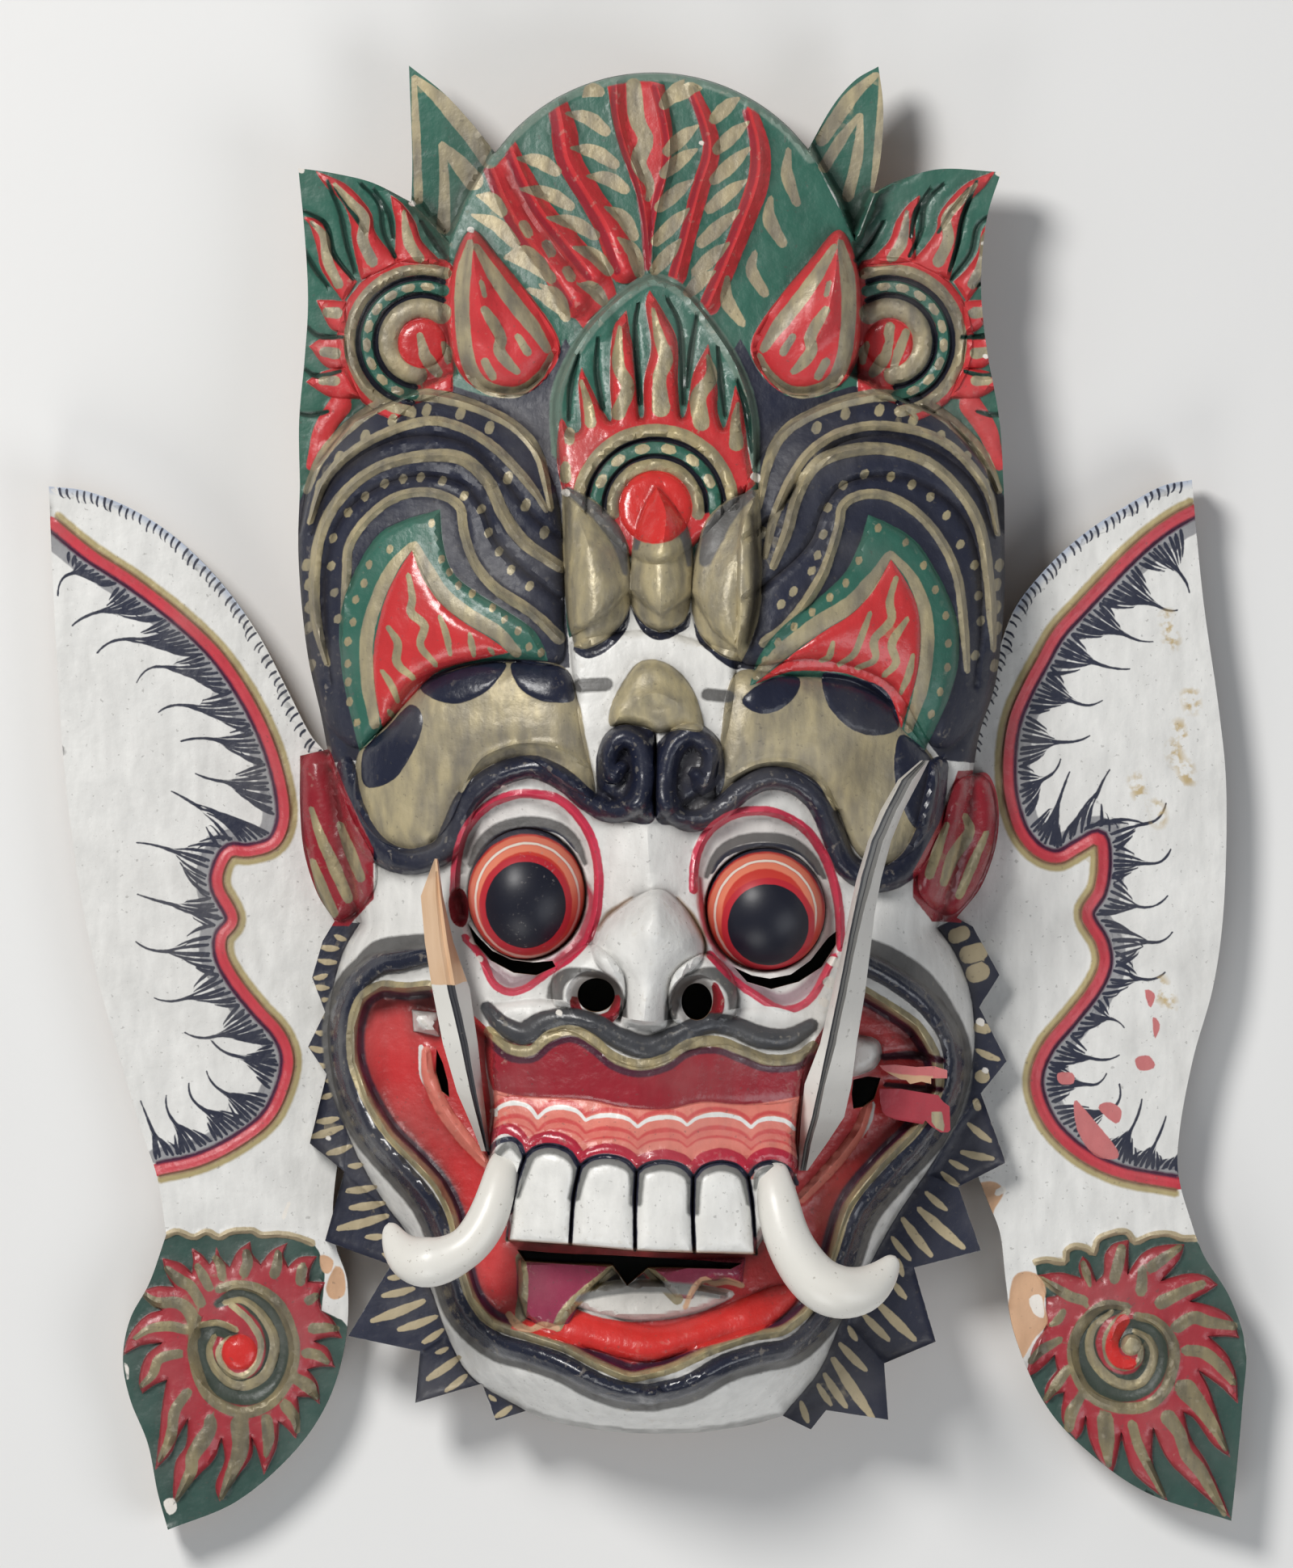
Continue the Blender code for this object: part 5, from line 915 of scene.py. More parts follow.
put([stroke([(584, 1160), (604, 1190), (628, 1212), (650, 1212), (684, 1190), (714, 1170)], [3, 7, 8, 8, 8, 5]),
    stroke([(884, 1176), (912, 1204), (940, 1226), (968, 1236), (1000, 1220), (1028, 1180)], [3, 6, 8, 8, 8, 5])],
    "lilac")
put([stroke([(724, 1092), (732, 1112), (730, 1136), (718, 1162), (698, 1182), (682, 1192)], [2, 5, 7, 7, 6, 3]),
    stroke([(866, 1086), (868, 1120), (876, 1154), (896, 1184)], [2, 4, 5, 3])], "pink")
# a grey band above each eye's dark line: painted shade under the lid
put([stroke([(582, 1070), (592, 1046), (610, 1028), (632, 1019), (658, 1016), (690, 1022), (712, 1040), (724, 1068)],
    [3, 5, 6, 6, 6, 6, 5, 3]), stroke([(874, 1084), (886, 1058), (908, 1042), (940, 1036), (976, 1040), (1004, 1060),
    (1020, 1086)], [3, 5, 6, 6, 6, 5, 3])], "shadeGrey")
put([stroke([(586, 1064), (604, 1040), (630, 1027), (656, 1023), (692, 1029), (716, 1052)], 3.0),
    stroke([(880, 1078), (896, 1058), (926, 1047), (960, 1046), (992, 1056), (1014, 1080)], 3.0)], "navy4")
put(area([(558, 1104), (568, 1098), (578, 1108), (580, 1132), (574, 1146), (562, 1142), (556, 1124)]), "red3",
    step=-4.0, soft=8)

# Nose: a roof between the eyes, the ball with its wings, the nostrils hollowed round their holes
noseBall = [(815, 1099), (838, 1112), (856, 1134), (870, 1160), (868, 1186), (846, 1206), (834, 1226), (828, 1252),
    (820, 1282), (794, 1291), (768, 1274), (770, 1246), (764, 1218), (744, 1198), (732, 1176), (737, 1150),
    (754, 1130), (782, 1110)]
put(stroke([(801, 1006), (802, 1050), (806, 1100), (806, 1150)], [46, 54, 62, 66]), ridge=9.0, soft=58)
put([area([(737, 1168), (712, 1176), (690, 1196), (683, 1222), (690, 1254), (716, 1268), (752, 1266), (772, 1246),
    (770, 1200)]), area([(864, 1180), (882, 1182), (902, 1200), (912, 1228), (906, 1258), (880, 1272), (846, 1270),
    (828, 1252), (832, 1206)])], swell=12.0, soft=24)
put(area(noseBall), swell=17.0, soft=42)
put(stroke([(812, 1106), (806, 1150), (802, 1200), (797, 1262)], [10, 26, 28, 14]), ridge=1.2, soft=24)
put([oval(736, 1232, 36, 33), oval(861, 1239, 33, 35)], step=-9.0, soft=13)
# brown lines in the creases beside the nose
put([stroke([(740, 1150), (752, 1131), (782, 1110)], [1, 2.5, 1]), stroke([(838, 1110), (856, 1132), (871, 1162),
    (872, 1180)], [1, 2.5, 3, 1])], "creaseBrown", ridge=-1.4, soft=3)
# grey round the hollowed nostrils: painted shade
put([stroke([(692, 1254), (687, 1230), (694, 1211), (712, 1202), (738, 1204), (758, 1217), (768, 1238), (771, 1260)],
    [6, 10, 9, 6, 5, 6, 7, 6]), stroke([(829, 1264), (832, 1240), (844, 1218), (864, 1204), (888, 1205), (904, 1222),
    (908, 1246), (902, 1262)], [7, 9, 7, 6, 8, 8, 7, 5])], "shadeGrey")
put([stroke([(711, 1236), (716, 1252), (738, 1262), (758, 1254), (764, 1234)], [5, 7, 8, 7, 4]),
    stroke([(868, 1263), (884, 1254), (889, 1236), (884, 1218)], [5, 7, 7, 4])], "red3")

# Mouth: the rolled lip, the lining, the muzzle with its teeth
lipLeft = [(533, 1180), (497, 1189), (466, 1195), (438, 1219), (421, 1259), (421, 1308), (432, 1354), (456, 1403),
    (493, 1446), (527, 1486), (547, 1530), (556, 1580), (572, 1625), (612, 1661), (656, 1674), (695, 1687),
    (736, 1709), (774, 1722), (805, 1724)]
lipRight = [(1062, 1188), (1105, 1210), (1150, 1245), (1178, 1290), (1180, 1345), (1155, 1400), (1110, 1450),
    (1068, 1500), (1046, 1560), (1030, 1612), (1007, 1645), (978, 1668), (940, 1675), (896, 1688), (851, 1713),
    (805, 1724)]
goldLeft = [(530, 1219), (502, 1222), (472, 1220), (447, 1236), (436, 1271), (437, 1314), (454, 1360), (481, 1403),
    (512, 1434), (541, 1466), (560, 1505), (570, 1560), (584, 1606), (610, 1636), (656, 1652), (698, 1665),
    (736, 1684), (778, 1701), (806, 1697)]
goldRight = [(1062, 1222), (1100, 1245), (1135, 1270), (1158, 1310), (1160, 1350), (1135, 1395), (1090, 1440),
    (1050, 1490), (1030, 1550), (1012, 1600), (997, 1623), (968, 1645), (928, 1652), (880, 1668), (832, 1690),
    (806, 1697)]


muzzle = {"middle": 796, "half": 205, "crest": 0.81, "fall": 0.11}
mouth = {"middle": axis, "sides": [120, 330], "floor": 0.40, "middleRise": 0.15, "lipRise": 0.06, "lip": (1600, 90)}
pegLevel, tongueLevel = 62.0, 76.0


def muzzleLevel(xy):
    share = np.clip(np.abs(sheetPlaces(xy)[0] - muzzle["middle"]) / muzzle["half"], 0, 1.2)
    return (muzzle["crest"] - muzzle["fall"] * share**2) * mask["depth"]


def mouthLevel(xy):
    u, v = sheetPlaces(xy)
    side = np.interp(np.abs(u - mouth["middle"]), mouth["sides"], [0, 1])
    lip = ease((v - mouth["lip"][0]) / mouth["lip"][1])
    return (mouth["floor"] + mouth["middleRise"] * (1 - side) + mouth["lipRise"] * lip) * mask["depth"]


# a grey band outside the raised lip roll and at the upper corners of the mouth: painted shade
put([*moved(lipLeft, -17, 4.5), *moved(lipRight, 17, 5)], "shadeGrey")
put([stroke([(540, 1164), (500, 1166), (466, 1172), (438, 1196)], [9, 9, 8, 5]), stroke([(1062, 1166), (1100, 1180),
    (1140, 1206), (1172, 1246), (1190, 1290)], [9, 9, 9, 8, 6])], "shadeGrey")
put([stroke(lipLeft, 14), stroke(lipRight, 14)], "navy2", swell=5.5, soft=14)
put([*moved(lipLeft, -5, 1.5), *moved(lipRight, 5, 1.5)], swell=-0.8, soft=2)
lining = [*goldLeft, *goldRight[::-1][1:], (1040, 1236), (1000, 1300), (806, 1320), (612, 1280), (566, 1236)]
put(poly(lining), "red2", level=mouthLevel, soft=12)
put([stroke(goldLeft, 6.5), stroke(goldRight, 6.5)], "gold3", swell=1.6)
put([*moved(goldLeft, 11, 4.5), *moved(goldRight, -11, 4.5)], "purple")
put(chain([(601, 1310), (608, 1370), (606, 1436), (632, 1534)], [(706, 1538), (786, 1542), (860, 1546), (934, 1550)],
    [(986, 1452), (988, 1400), (1004, 1310), (1008, 1262)], [(940, 1244), (806, 1262), (690, 1236), (606, 1240)]),
    "white3", level=muzzleLevel, soft=9)
# the upper lip under the moustache is a dark red that also serves as its painted shade
put(area([(602, 1278), (640, 1290), (680, 1276), (712, 1276), (760, 1308), (800, 1318), (850, 1300), (900, 1290),
    (960, 1308), (1006, 1296), (994, 1354), (926, 1366), (870, 1363), (822, 1372), (769, 1369), (724, 1360),
    (646, 1356), (610, 1346)]), "red3", swell=2.0, soft=10)
put(chain([(646, 1355), (724, 1359), (769, 1368), (822, 1371), (870, 1362), (926, 1365), (992, 1355)], [(984, 1452)],
    [(858, 1462), (788, 1460), (717, 1452), (608, 1430)], [(612, 1348)]), "salmon", swell=1.5, soft=20)


# Rows of round arches, given as foot, top, foot, top ...
def arches(points, half, drop=0):
    made = []
    for a, top, b in zip(points[::2], points[1::2], points[2::2]):
        haunches = [(0.62 * u + 0.38 * top[0], 0.28 * v + 0.72 * top[1]) for u, v in (a, b)]
        made.append(stroke([(u, v + drop) for u, v in (a, haunches[0], top, haunches[1], b)], half, 3.5))
    return made


gumRows = {
    "white": [(609, 1380), (638, 1363), (666, 1382), (694, 1368), (725, 1384), (755, 1378), (789, 1392), (825, 1380),
        (850, 1390), (887, 1377), (929, 1393), (954, 1382), (984, 1397)],
    "crimson": [(606, 1418), (629, 1397), (652, 1420), (681, 1406), (720, 1431), (754, 1421), (788, 1438),
        (822, 1428), (856, 1444), (892, 1427), (924, 1444), (952, 1426), (987, 1446)],
    "navy": [(605, 1426), (632, 1407), (650, 1430), (682, 1415), (718, 1442), (752, 1428), (788, 1448), (822, 1435),
        (858, 1455), (892, 1436), (925, 1455), (954, 1436), (986, 1464)]}
put(arches(gumRows["white"], 2.2, -7), "salmonRed")
put(arches(gumRows["white"], [1.5, 2.6, 1.5]), "white4")
put(arches(gumRows["white"], [1.4, 2.8, 1.4], 16), "salmonRed")
put(arches(gumRows["white"], [0.8, 1.6, 0.8], 27), "salmonRed")
put(arches(gumRows["crimson"], [6, 8.5, 6]), "crimson2", swell=1.6, soft=7)
separators = [[(650, 1430), (636, 1478), (628, 1534)], [(718, 1442), (710, 1481), (706, 1539)],
    [(788, 1448), (786, 1487), (786, 1546)], [(858, 1455), (857, 1498), (859, 1549)],
    [(925, 1455), (930, 1487), (935, 1551)]]
for k, (left, right) in enumerate(zip(separators, separators[1:])):
    a, top, b = gumRows["navy"][2 * k + 2 : 2 * k + 5]
    haunches = [(0.66 * u + 0.34 * top[0], 0.3 * v + 0.7 * top[1]) for u, v in (a, b)]
    tooth = cornered(left[::-1], [a, haunches[0], top, haunches[1], b], right, [right[-1], left[-1]])
    put(tooth, "white4", level=muzzleLevel, soft=2)
    put(tooth, swell=5.0, soft=20)
    # a grey arc inside the top of each tooth: painted shade
    put(stroke([(left[1][0] + 5, left[1][1]), (a[0] + 6, a[1] + 4), (haunches[0][0] + 2, haunches[0][1] + 6),
        (top[0], top[1] + 6), (haunches[1][0] - 2, haunches[1][1] + 6), (b[0] - 5, b[1] + 4),
        (right[1][0] - 4, right[1][1])], [3, 4, 5, 5, 5, 4, 3]), "toothShadeGrey")
put(arches(gumRows["navy"], 2.8), "navy5", step=-0.6, soft=3)
for line in separators:
    put(stroke(line, [3, 2.6, 2.2]), "navy5", step=-3.0, soft=3)
# a brown line along the foot of the teeth
put(stroke([(628, 1533), (706, 1538), (786, 1545), (859, 1547), (935, 1549)], 1.6), "creaseBrown")
put([area([(606, 1424), (618, 1404), (634, 1404), (648, 1424), (650, 1450), (632, 1500), (600, 1520), (590, 1500),
    (608, 1462)]), area([(932, 1456), (940, 1442), (956, 1438), (978, 1450), (984, 1470), (980, 1510), (950, 1540),
    (936, 1500)])], "white4", swell=3.0, soft=16)
# grey on the tusk roots by the gum: painted shade
put([stroke([(613, 1430), (632, 1414), (646, 1430)], [4, 5, 3]), stroke([(934, 1468), (938, 1450), (956, 1444),
    (976, 1460)], [3, 4, 5, 4])], "toothShadeGrey")
moustache = [(603, 1252), (621, 1272), (648, 1284), (672, 1270), (702, 1264), (734, 1270), (764, 1288), (800, 1300),
    (836, 1288), (872, 1272), (904, 1274), (940, 1288), (974, 1290), (1003, 1274)]
put(stroke([(u, v - 6) for u, v in moustache], [8, 12, 15, 13, 12, 13, 15, 15, 14, 13, 13, 14, 13, 9]), "slate",
    swell=3.4, soft=14)
put(stroke([(606, 1276), (628, 1295), (658, 1299), (680, 1281), (707, 1274), (733, 1286), (759, 1307), (792, 1316),
    (826, 1308), (852, 1291), (886, 1287), (916, 1298), (949, 1310), (985, 1308), (1005, 1294)], 7), "gold5",
    swell=1.2)
put(stroke([(604, 1287), (630, 1307), (660, 1309), (684, 1291), (708, 1284), (733, 1297), (759, 1318), (792, 1327),
    (826, 1319), (852, 1302), (886, 1298), (916, 1309), (949, 1321), (985, 1319), (1004, 1306)], 4), "purpleLineAndShade")
put([stroke([(527, 1300), (530, 1330), (548, 1372), (574, 1408), (600, 1438)], [5, 9, 9, 9, 6]),
    stroke([(1074, 1368), (1062, 1400), (1032, 1440), (990, 1484)], [6, 8, 8, 6])], "salmon", swell=3.0, soft=9)
# white strokes along the gum folds: painted highlights
put([stroke([(521, 1296), (523, 1330), (532, 1352)], [3, 4, 2]), stroke([(1080, 1366), (1074, 1390), (1050, 1424)],
    [3, 4, 2])], "white3")
put(poly([(510, 1250), (543, 1253), (543, 1282), (512, 1276)]), "white3", level=pegLevel, soft=4)
put(area([(1050, 1284), (1070, 1282), (1085, 1287), (1091, 1300), (1088, 1314), (1076, 1325), (1050, 1329)]),
    "white4", level=pegLevel, soft=7)
# purple bands just above and between the splinters: their painted shadow
put([stroke([(1094, 1308), (1130, 1306), (1166, 1312)], [4, 5, 4]), stroke([(1096, 1342), (1130, 1346), (1166, 1348)],
    [3, 4, 3])], "purpleLineAndShade", step=-1.5, soft=4)
# lower lip, lower teeth, and what is left of the tongue
put(area([(634, 1640), (700, 1618), (735, 1622), (810, 1640), (880, 1622), (960, 1590), (990, 1600), (950, 1640),
    (860, 1668), (800, 1684), (730, 1668), (660, 1648)]), "red4", swell=4.0, soft=22)
put(area([(698, 1606), (735, 1588), (802, 1582), (884, 1592), (908, 1602), (860, 1624), (790, 1634), (735, 1626)]),
    "white5", step=6.0, soft=8)
# grey along the top of the lower teeth: painted shade
put(stroke([(716, 1606), (760, 1594), (806, 1591), (850, 1594), (896, 1602)], [4, 7, 7, 7, 4]), "toothShadeGrey")
put(poly([(640, 1556), (770, 1558), (722, 1604), (704, 1636), (676, 1642), (650, 1630), (640, 1600)]), "magenta",
    level=tongueLevel, soft=5)
put(poly([(786, 1556), (922, 1556), (918, 1588), (896, 1582), (870, 1586), (856, 1606), (836, 1604), (810, 1578)]),
    "magenta", level=tongueLevel, soft=5)
put([stroke([(644, 1556), (648, 1590), (644, 1628)], [6, 6, 7]), stroke([(770, 1560), (722, 1600), (700, 1622),
    (690, 1640)], [6, 6, 7, 6]), stroke([(788, 1558), (812, 1580), (838, 1606)], [4, 7, 7])], "gold5", swell=0.5)
put([stroke([(630, 1626), (640, 1638), (656, 1644), (672, 1638), (690, 1642)], [4, 5, 3, 4, 3]),
    stroke([(918, 1590), (900, 1584), (884, 1588), (872, 1582), (858, 1594), (848, 1616)], [3, 4, 3, 4, 3, 3])],
    "raw")
# near-black round the notch in the tongue: painted shadow
put(area([(742, 1578), (776, 1566), (800, 1580), (790, 1596), (748, 1598)]), "dark")

# Red lobes where the ears meet the cheeks
lobes = [
    [(373, 938), (404, 930), (416, 960), (436, 1010), (466, 1068), (458, 1110), (428, 1136), (411, 1136), (392, 1100),
        (377, 1050), (372, 1000)],
    [(1190, 962), (1220, 961), (1232, 990), (1231, 1040), (1213, 1092), (1184, 1130), (1160, 1128), (1138, 1108),
        (1135, 1082), (1150, 1056), (1166, 1018), (1174, 985)]]
put(poly([(362, 930), (406, 926), (430, 985), (462, 1050), (462, 1112), (430, 1146), (404, 1146), (362, 1050)]),
    "red3")
put(poly([(1186, 954), (1240, 952), (1244, 1050), (1190, 1142), (1154, 1140), (1130, 1110), (1130, 1078),
    (1162, 1020)]), "red3")
put([area(lobe) for lobe in lobes], swell=8.0, soft=32)
put([stroke([(384, 1000), (396, 1036), (410, 1066), (430, 1112)], [3, 6, 8, 6]), stroke([(420, 1020), (432, 1052),
    (446, 1086)], [4, 7, 6]), stroke([(386, 1066), (398, 1100), (412, 1130)], [4, 7, 6]),
    stroke([(1195, 1010), (1200, 1030), (1180, 1060), (1168, 1092)], [4, 8, 8, 5]), stroke([(1222, 1030),
    (1206, 1066), (1188, 1108)], [3, 6, 5]), stroke([(1172, 1020), (1160, 1052), (1150, 1082)], [3, 6, 6])], "gold5",
    swell=0.6)
put([stroke([(372, 932), (404, 928)], 4), stroke([(1196, 958), (1226, 958)], 4)], "pale4", swell=0.6)
# chips down to the priming and the wood
chips = [(582, 284, 4), (700, 611, 5), (934, 592, 6), (370, 208, 5), (372, 330, 3), (371, 420, 3), (509, 250, 4),
    (1238, 213, 5), (1218, 300, 3), (1220, 440, 3), (624, 976, 4), (1214, 1266, 5), (1220, 1326, 4), (560, 1245, 4),
    (1122, 214, 3), (868, 176, 3), (1030, 1190, 7), (1026, 1216, 8), (1018, 1240, 6), (586, 1164, 5), (594, 1186, 4),
    (692, 1252, 4), (405, 1410, 3), (611, 1376, 5)]
put([area([(u - r, v), (u - 0.3 * r, v - r), (u + r, v - 0.5 * r), (u + 0.7 * r, v + 0.9 * r)], 2.5) for u, v,
    r in chips], "chip")
print("head drawn:", len(head.guides), "shapes")


# Ears
ear = {"level": 21.5, "thick": 12.5, "rimRise": 2.0, "gap": 0.5, "overlap": 12}
ridgeLeft = [(60, 646), (106, 684), (158, 718), (213, 760), (261, 805), (296, 853), (323, 904), (341, 956),
    (349, 1008), (337, 1042), (306, 1053), (282, 1053), (268, 1075), (267, 1100), (285, 1137), (271, 1160),
    (272, 1186), (289, 1217), (317, 1252), (343, 1281), (354, 1313), (346, 1351), (327, 1386), (289, 1415),
    (244, 1437), (193, 1449)]
ridgeRight = [(1482, 630), (1459, 642), (1429, 663), (1400, 689), (1371, 719), (1341, 751), (1312, 783), (1292, 818),
    (1273, 853), (1258, 889), (1251, 930), (1251, 971), (1256, 1000), (1267, 1030), (1287, 1053), (1312, 1061),
    (1337, 1048), (1363, 1036), (1369, 1064), (1364, 1102), (1348, 1132), (1366, 1166), (1370, 1195), (1356, 1226),
    (1328, 1262), (1299, 1297), (1285, 1332), (1289, 1364), (1308, 1399), (1344, 1431), (1391, 1453), (1460, 1466)]
earTop = {
    "earLeft": [[(57, 600), (104, 606), (160, 628), (215, 664), (268, 716), (315, 780), (352, 850), (380, 905),
        (400, 930)], [(400, 930), (424, 960)]],
    "earRight": [[(1478, 592), (1440, 600), (1390, 628), (1340, 662), (1295, 704), (1258, 752), (1236, 810),
        (1214, 880), (1200, 930)], [(1200, 930), (1188, 960)]]}
earFoot = {
    "earLeft": [[(424, 1400), (416, 1440), (410, 1500), (414, 1545), (428, 1590), (426, 1660), (405, 1735),
        (362, 1800), (290, 1862), (205, 1897)], [(205, 1897), (192, 1850), (180, 1790), (158, 1735), (149, 1685),
        (158, 1635), (182, 1590), (203, 1530)], [(203, 1530), (192, 1460), (172, 1400), (142, 1300), (115, 1200),
        (92, 1080), (76, 950), (67, 820), (61, 700), (57, 600)]],
    "earRight": [[(1186, 1400), (1205, 1440), (1225, 1490), (1240, 1530), (1247, 1590), (1258, 1655), (1292, 1735),
        (1340, 1792), (1420, 1850), (1527, 1886)], [(1527, 1886), (1534, 1820), (1541, 1740), (1545, 1672),
        (1526, 1610), (1495, 1560), (1482, 1530)], [(1482, 1530), (1462, 1460), (1463, 1400), (1480, 1310),
        (1505, 1220), (1518, 1120), (1521, 980), (1512, 880), (1494, 755), (1484, 660), (1478, 592)]]}
earSide = {
    "earLeft": [(100, 1500), (100, 1950), (470, 1950), (470, 900), (330, 760), (200, 620), (40, 560)],
    "earRight": [(1580, 1500), (1580, 1950), (1140, 1950), (1140, 900), (1260, 720), (1400, 580), (1500, 560)]}
seats = {
    "earLeft": [(364, 860), (361, 925), (359, 1060), (366, 1200), (373, 1290), (372, 1420), (392, 1450), (386, 1545),
        (412, 1600), (418, 1690), (396, 1800), (600, 1800), (600, 860)],
    "earRight": [(1268, 740), (1256, 830), (1240, 880), (1236, 930), (1243, 960), (1243, 1050), (1252, 1120),
        (1250, 1210), (1258, 1310), (1258, 1440), (1226, 1482), (1228, 1555), (1180, 1600), (1180, 740)]}
# the flaming suns on the lobes, each drawn on a sheet of its own that is shrunk onto the mask
lobeScale, lobeOrigins = 0.28, {"earLeft": (60, 1480), "earRight": (1230, 1480)}
star = {
    "earLeft": [[(570, 305), (625, 350)], [(632, 300), (625, 240)], [(672, 272), (702, 310)],
        [(726, 280), (733, 236)], [(752, 280), (792, 322)], [(830, 250), (882, 212)], [(892, 262), (930, 310)],
        [(980, 250), (1048, 216)], [(1030, 270), (1052, 322)], [(1100, 280), (1178, 276)], [(1150, 330), (1142, 386)],
        [(1215, 392)], [(1190, 450), (1200, 516)], [(1250, 560), (1290, 638)], [(1230, 634), (1170, 652)],
        [(1230, 690), (1260, 768)], [(1200, 764), (1140, 778)], [(1180, 840), (1192, 932)],
        [(1150, 900), (1094, 900)], [(1100, 980), (1086, 1084)], [(1050, 1040), (1010, 1010)],
        [(1000, 1120), (944, 1244)], [(920, 1150), (890, 1082)], [(890, 1160), (820, 1260), (748, 1362)],
        [(730, 1290), (770, 1180), (756, 1084)], [(720, 1180), (640, 1260), (540, 1380)],
        [(550, 1200), (600, 1110), (606, 1000)], [(560, 1080), (530, 1150), (462, 1222)],
        [(480, 1080), (490, 960), (512, 826)], [(450, 850), (404, 886)], [(390, 820), (420, 720), (490, 660)],
        [(400, 670), (318, 714)], [(350, 620), (420, 540), (490, 514)], [(440, 480), (398, 432)],
        [(470, 408), (545, 412)], [(510, 350), (495, 285)]],
    "earRight": [[(300, 348), (396, 372)], [(384, 320), (400, 276)], [(432, 306), (462, 386)],
        [(494, 350), (500, 270), (540, 220), (604, 204)], [(604, 280), (602, 352)], [(660, 270), (740, 230),
        (852, 222)], [(830, 290), (752, 382)], [(860, 354), (940, 360), (1000, 402)], [(940, 440), (880, 474)],
        [(980, 500), (1060, 550), (1096, 638)], [(1030, 630), (962, 632)], [(1040, 710), (1080, 800), (1090, 928)],
        [(1010, 850), (920, 786)], [(960, 860), (1000, 980), (1056, 1168)], [(980, 1110), (900, 1000), (850, 968)],
        [(880, 1080), (960, 1210), (1058, 1438)], [(900, 1300), (780, 1180), (714, 1040)],
        [(710, 1180), (740, 1270), (776, 1358)], [(640, 1250), (600, 1170), (572, 1060)], [(556, 1160), (530, 1244)],
        [(470, 1170), (430, 1080), (414, 986)], [(400, 1050), (372, 1088)], [(310, 1000), (318, 880)],
        [(276, 890), (232, 938)], [(240, 850), (290, 780)], [(278, 730), (276, 716)], [(210, 780), (150, 812)],
        [(180, 680), (240, 590)], [(240, 460)], [(290, 440), (200, 362)]]}
cores = {
    "earLeft": [([(515, 330), (570, 380), (620, 410), (664, 480)], [14, 26, 24, 24]),
        ([(650, 320), (680, 370), (700, 412)], [14, 22, 20]), ([(726, 282), (750, 310), (758, 364)], [12, 20, 18]),
        ([(866, 262), (872, 300), (858, 346)], [20, 24, 22]), ([(1008, 262), (1004, 310), (992, 354)], [16, 22, 22]),
        ([(1116, 324), (1106, 384)], [22, 22]), ([(1176, 450), (1146, 470)], [14, 22]),
        ([(1270, 596), (1220, 592), (1164, 596)], [10, 22, 24]), ([(1226, 744), (1180, 712), (1134, 704)],
        [12, 22, 22]), ([(1176, 900), (1140, 850), (1090, 818)], [14, 30, 24]), ([(1092, 1050), (1080, 990),
        (1044, 940)], [10, 24, 26]), ([(954, 1160), (964, 1090), (958, 1000)], [10, 26, 24]),
        ([(754, 1350), (800, 1240), (840, 1130), (836, 1020)], [10, 26, 36, 40]), ([(556, 1360), (620, 1230),
        (630, 1160), (700, 1050), (706, 1000)], [8, 24, 28, 36, 26]), ([(480, 1180), (530, 1080), (550, 960),
        (604, 880)], [10, 24, 24, 22]), ([(400, 850), (450, 800), (480, 730), (570, 706)], [10, 20, 22, 20]),
        ([(370, 640), (440, 596), (520, 584), (600, 600)], [8, 18, 22, 20]), ([(402, 436), (470, 480), (560, 480),
        (620, 530), (640, 620)], [10, 24, 26, 28, 24])],
    "earRight": [([(214, 376), (270, 410), (340, 450), (404, 470)], [12, 20, 22, 22]),
        ([(402, 306), (420, 360), (432, 404)], [12, 18, 8]), ([(572, 240), (560, 300), (540, 376)], [18, 26, 22]),
        ([(664, 330), (664, 384), (660, 426)], [18, 22, 26]), ([(830, 236), (780, 270), (710, 320)], [14, 22, 26]),
        ([(930, 400), (850, 430), (750, 480)], [20, 24, 30]), ([(1070, 584), (960, 566), (890, 546), (820, 586)],
        [18, 24, 28, 28]), ([(1070, 836), (1010, 760), (940, 704), (860, 690)], [14, 24, 26, 24]),
        ([(1036, 1130), (980, 1030), (920, 940), (860, 866)], [10, 22, 34, 46]), ([(1030, 1420), (930, 1240),
        (860, 1150), (830, 1060), (780, 990)], [10, 22, 30, 26, 34]), ([(760, 1340), (700, 1220), (650, 1120),
        (620, 1020)], [10, 18, 22, 20]), ([(516, 1200), (508, 1110), (500, 1000)], [12, 34, 36]),
        ([(340, 1036), (350, 970), (390, 900)], [20, 28, 20]), ([(236, 910), (280, 850), (330, 780)], [10, 24, 20]),
        ([(170, 740), (220, 690), (300, 644)], [14, 22, 14]), ([(256, 580), (290, 560), (314, 520)], [8, 20, 14])]}
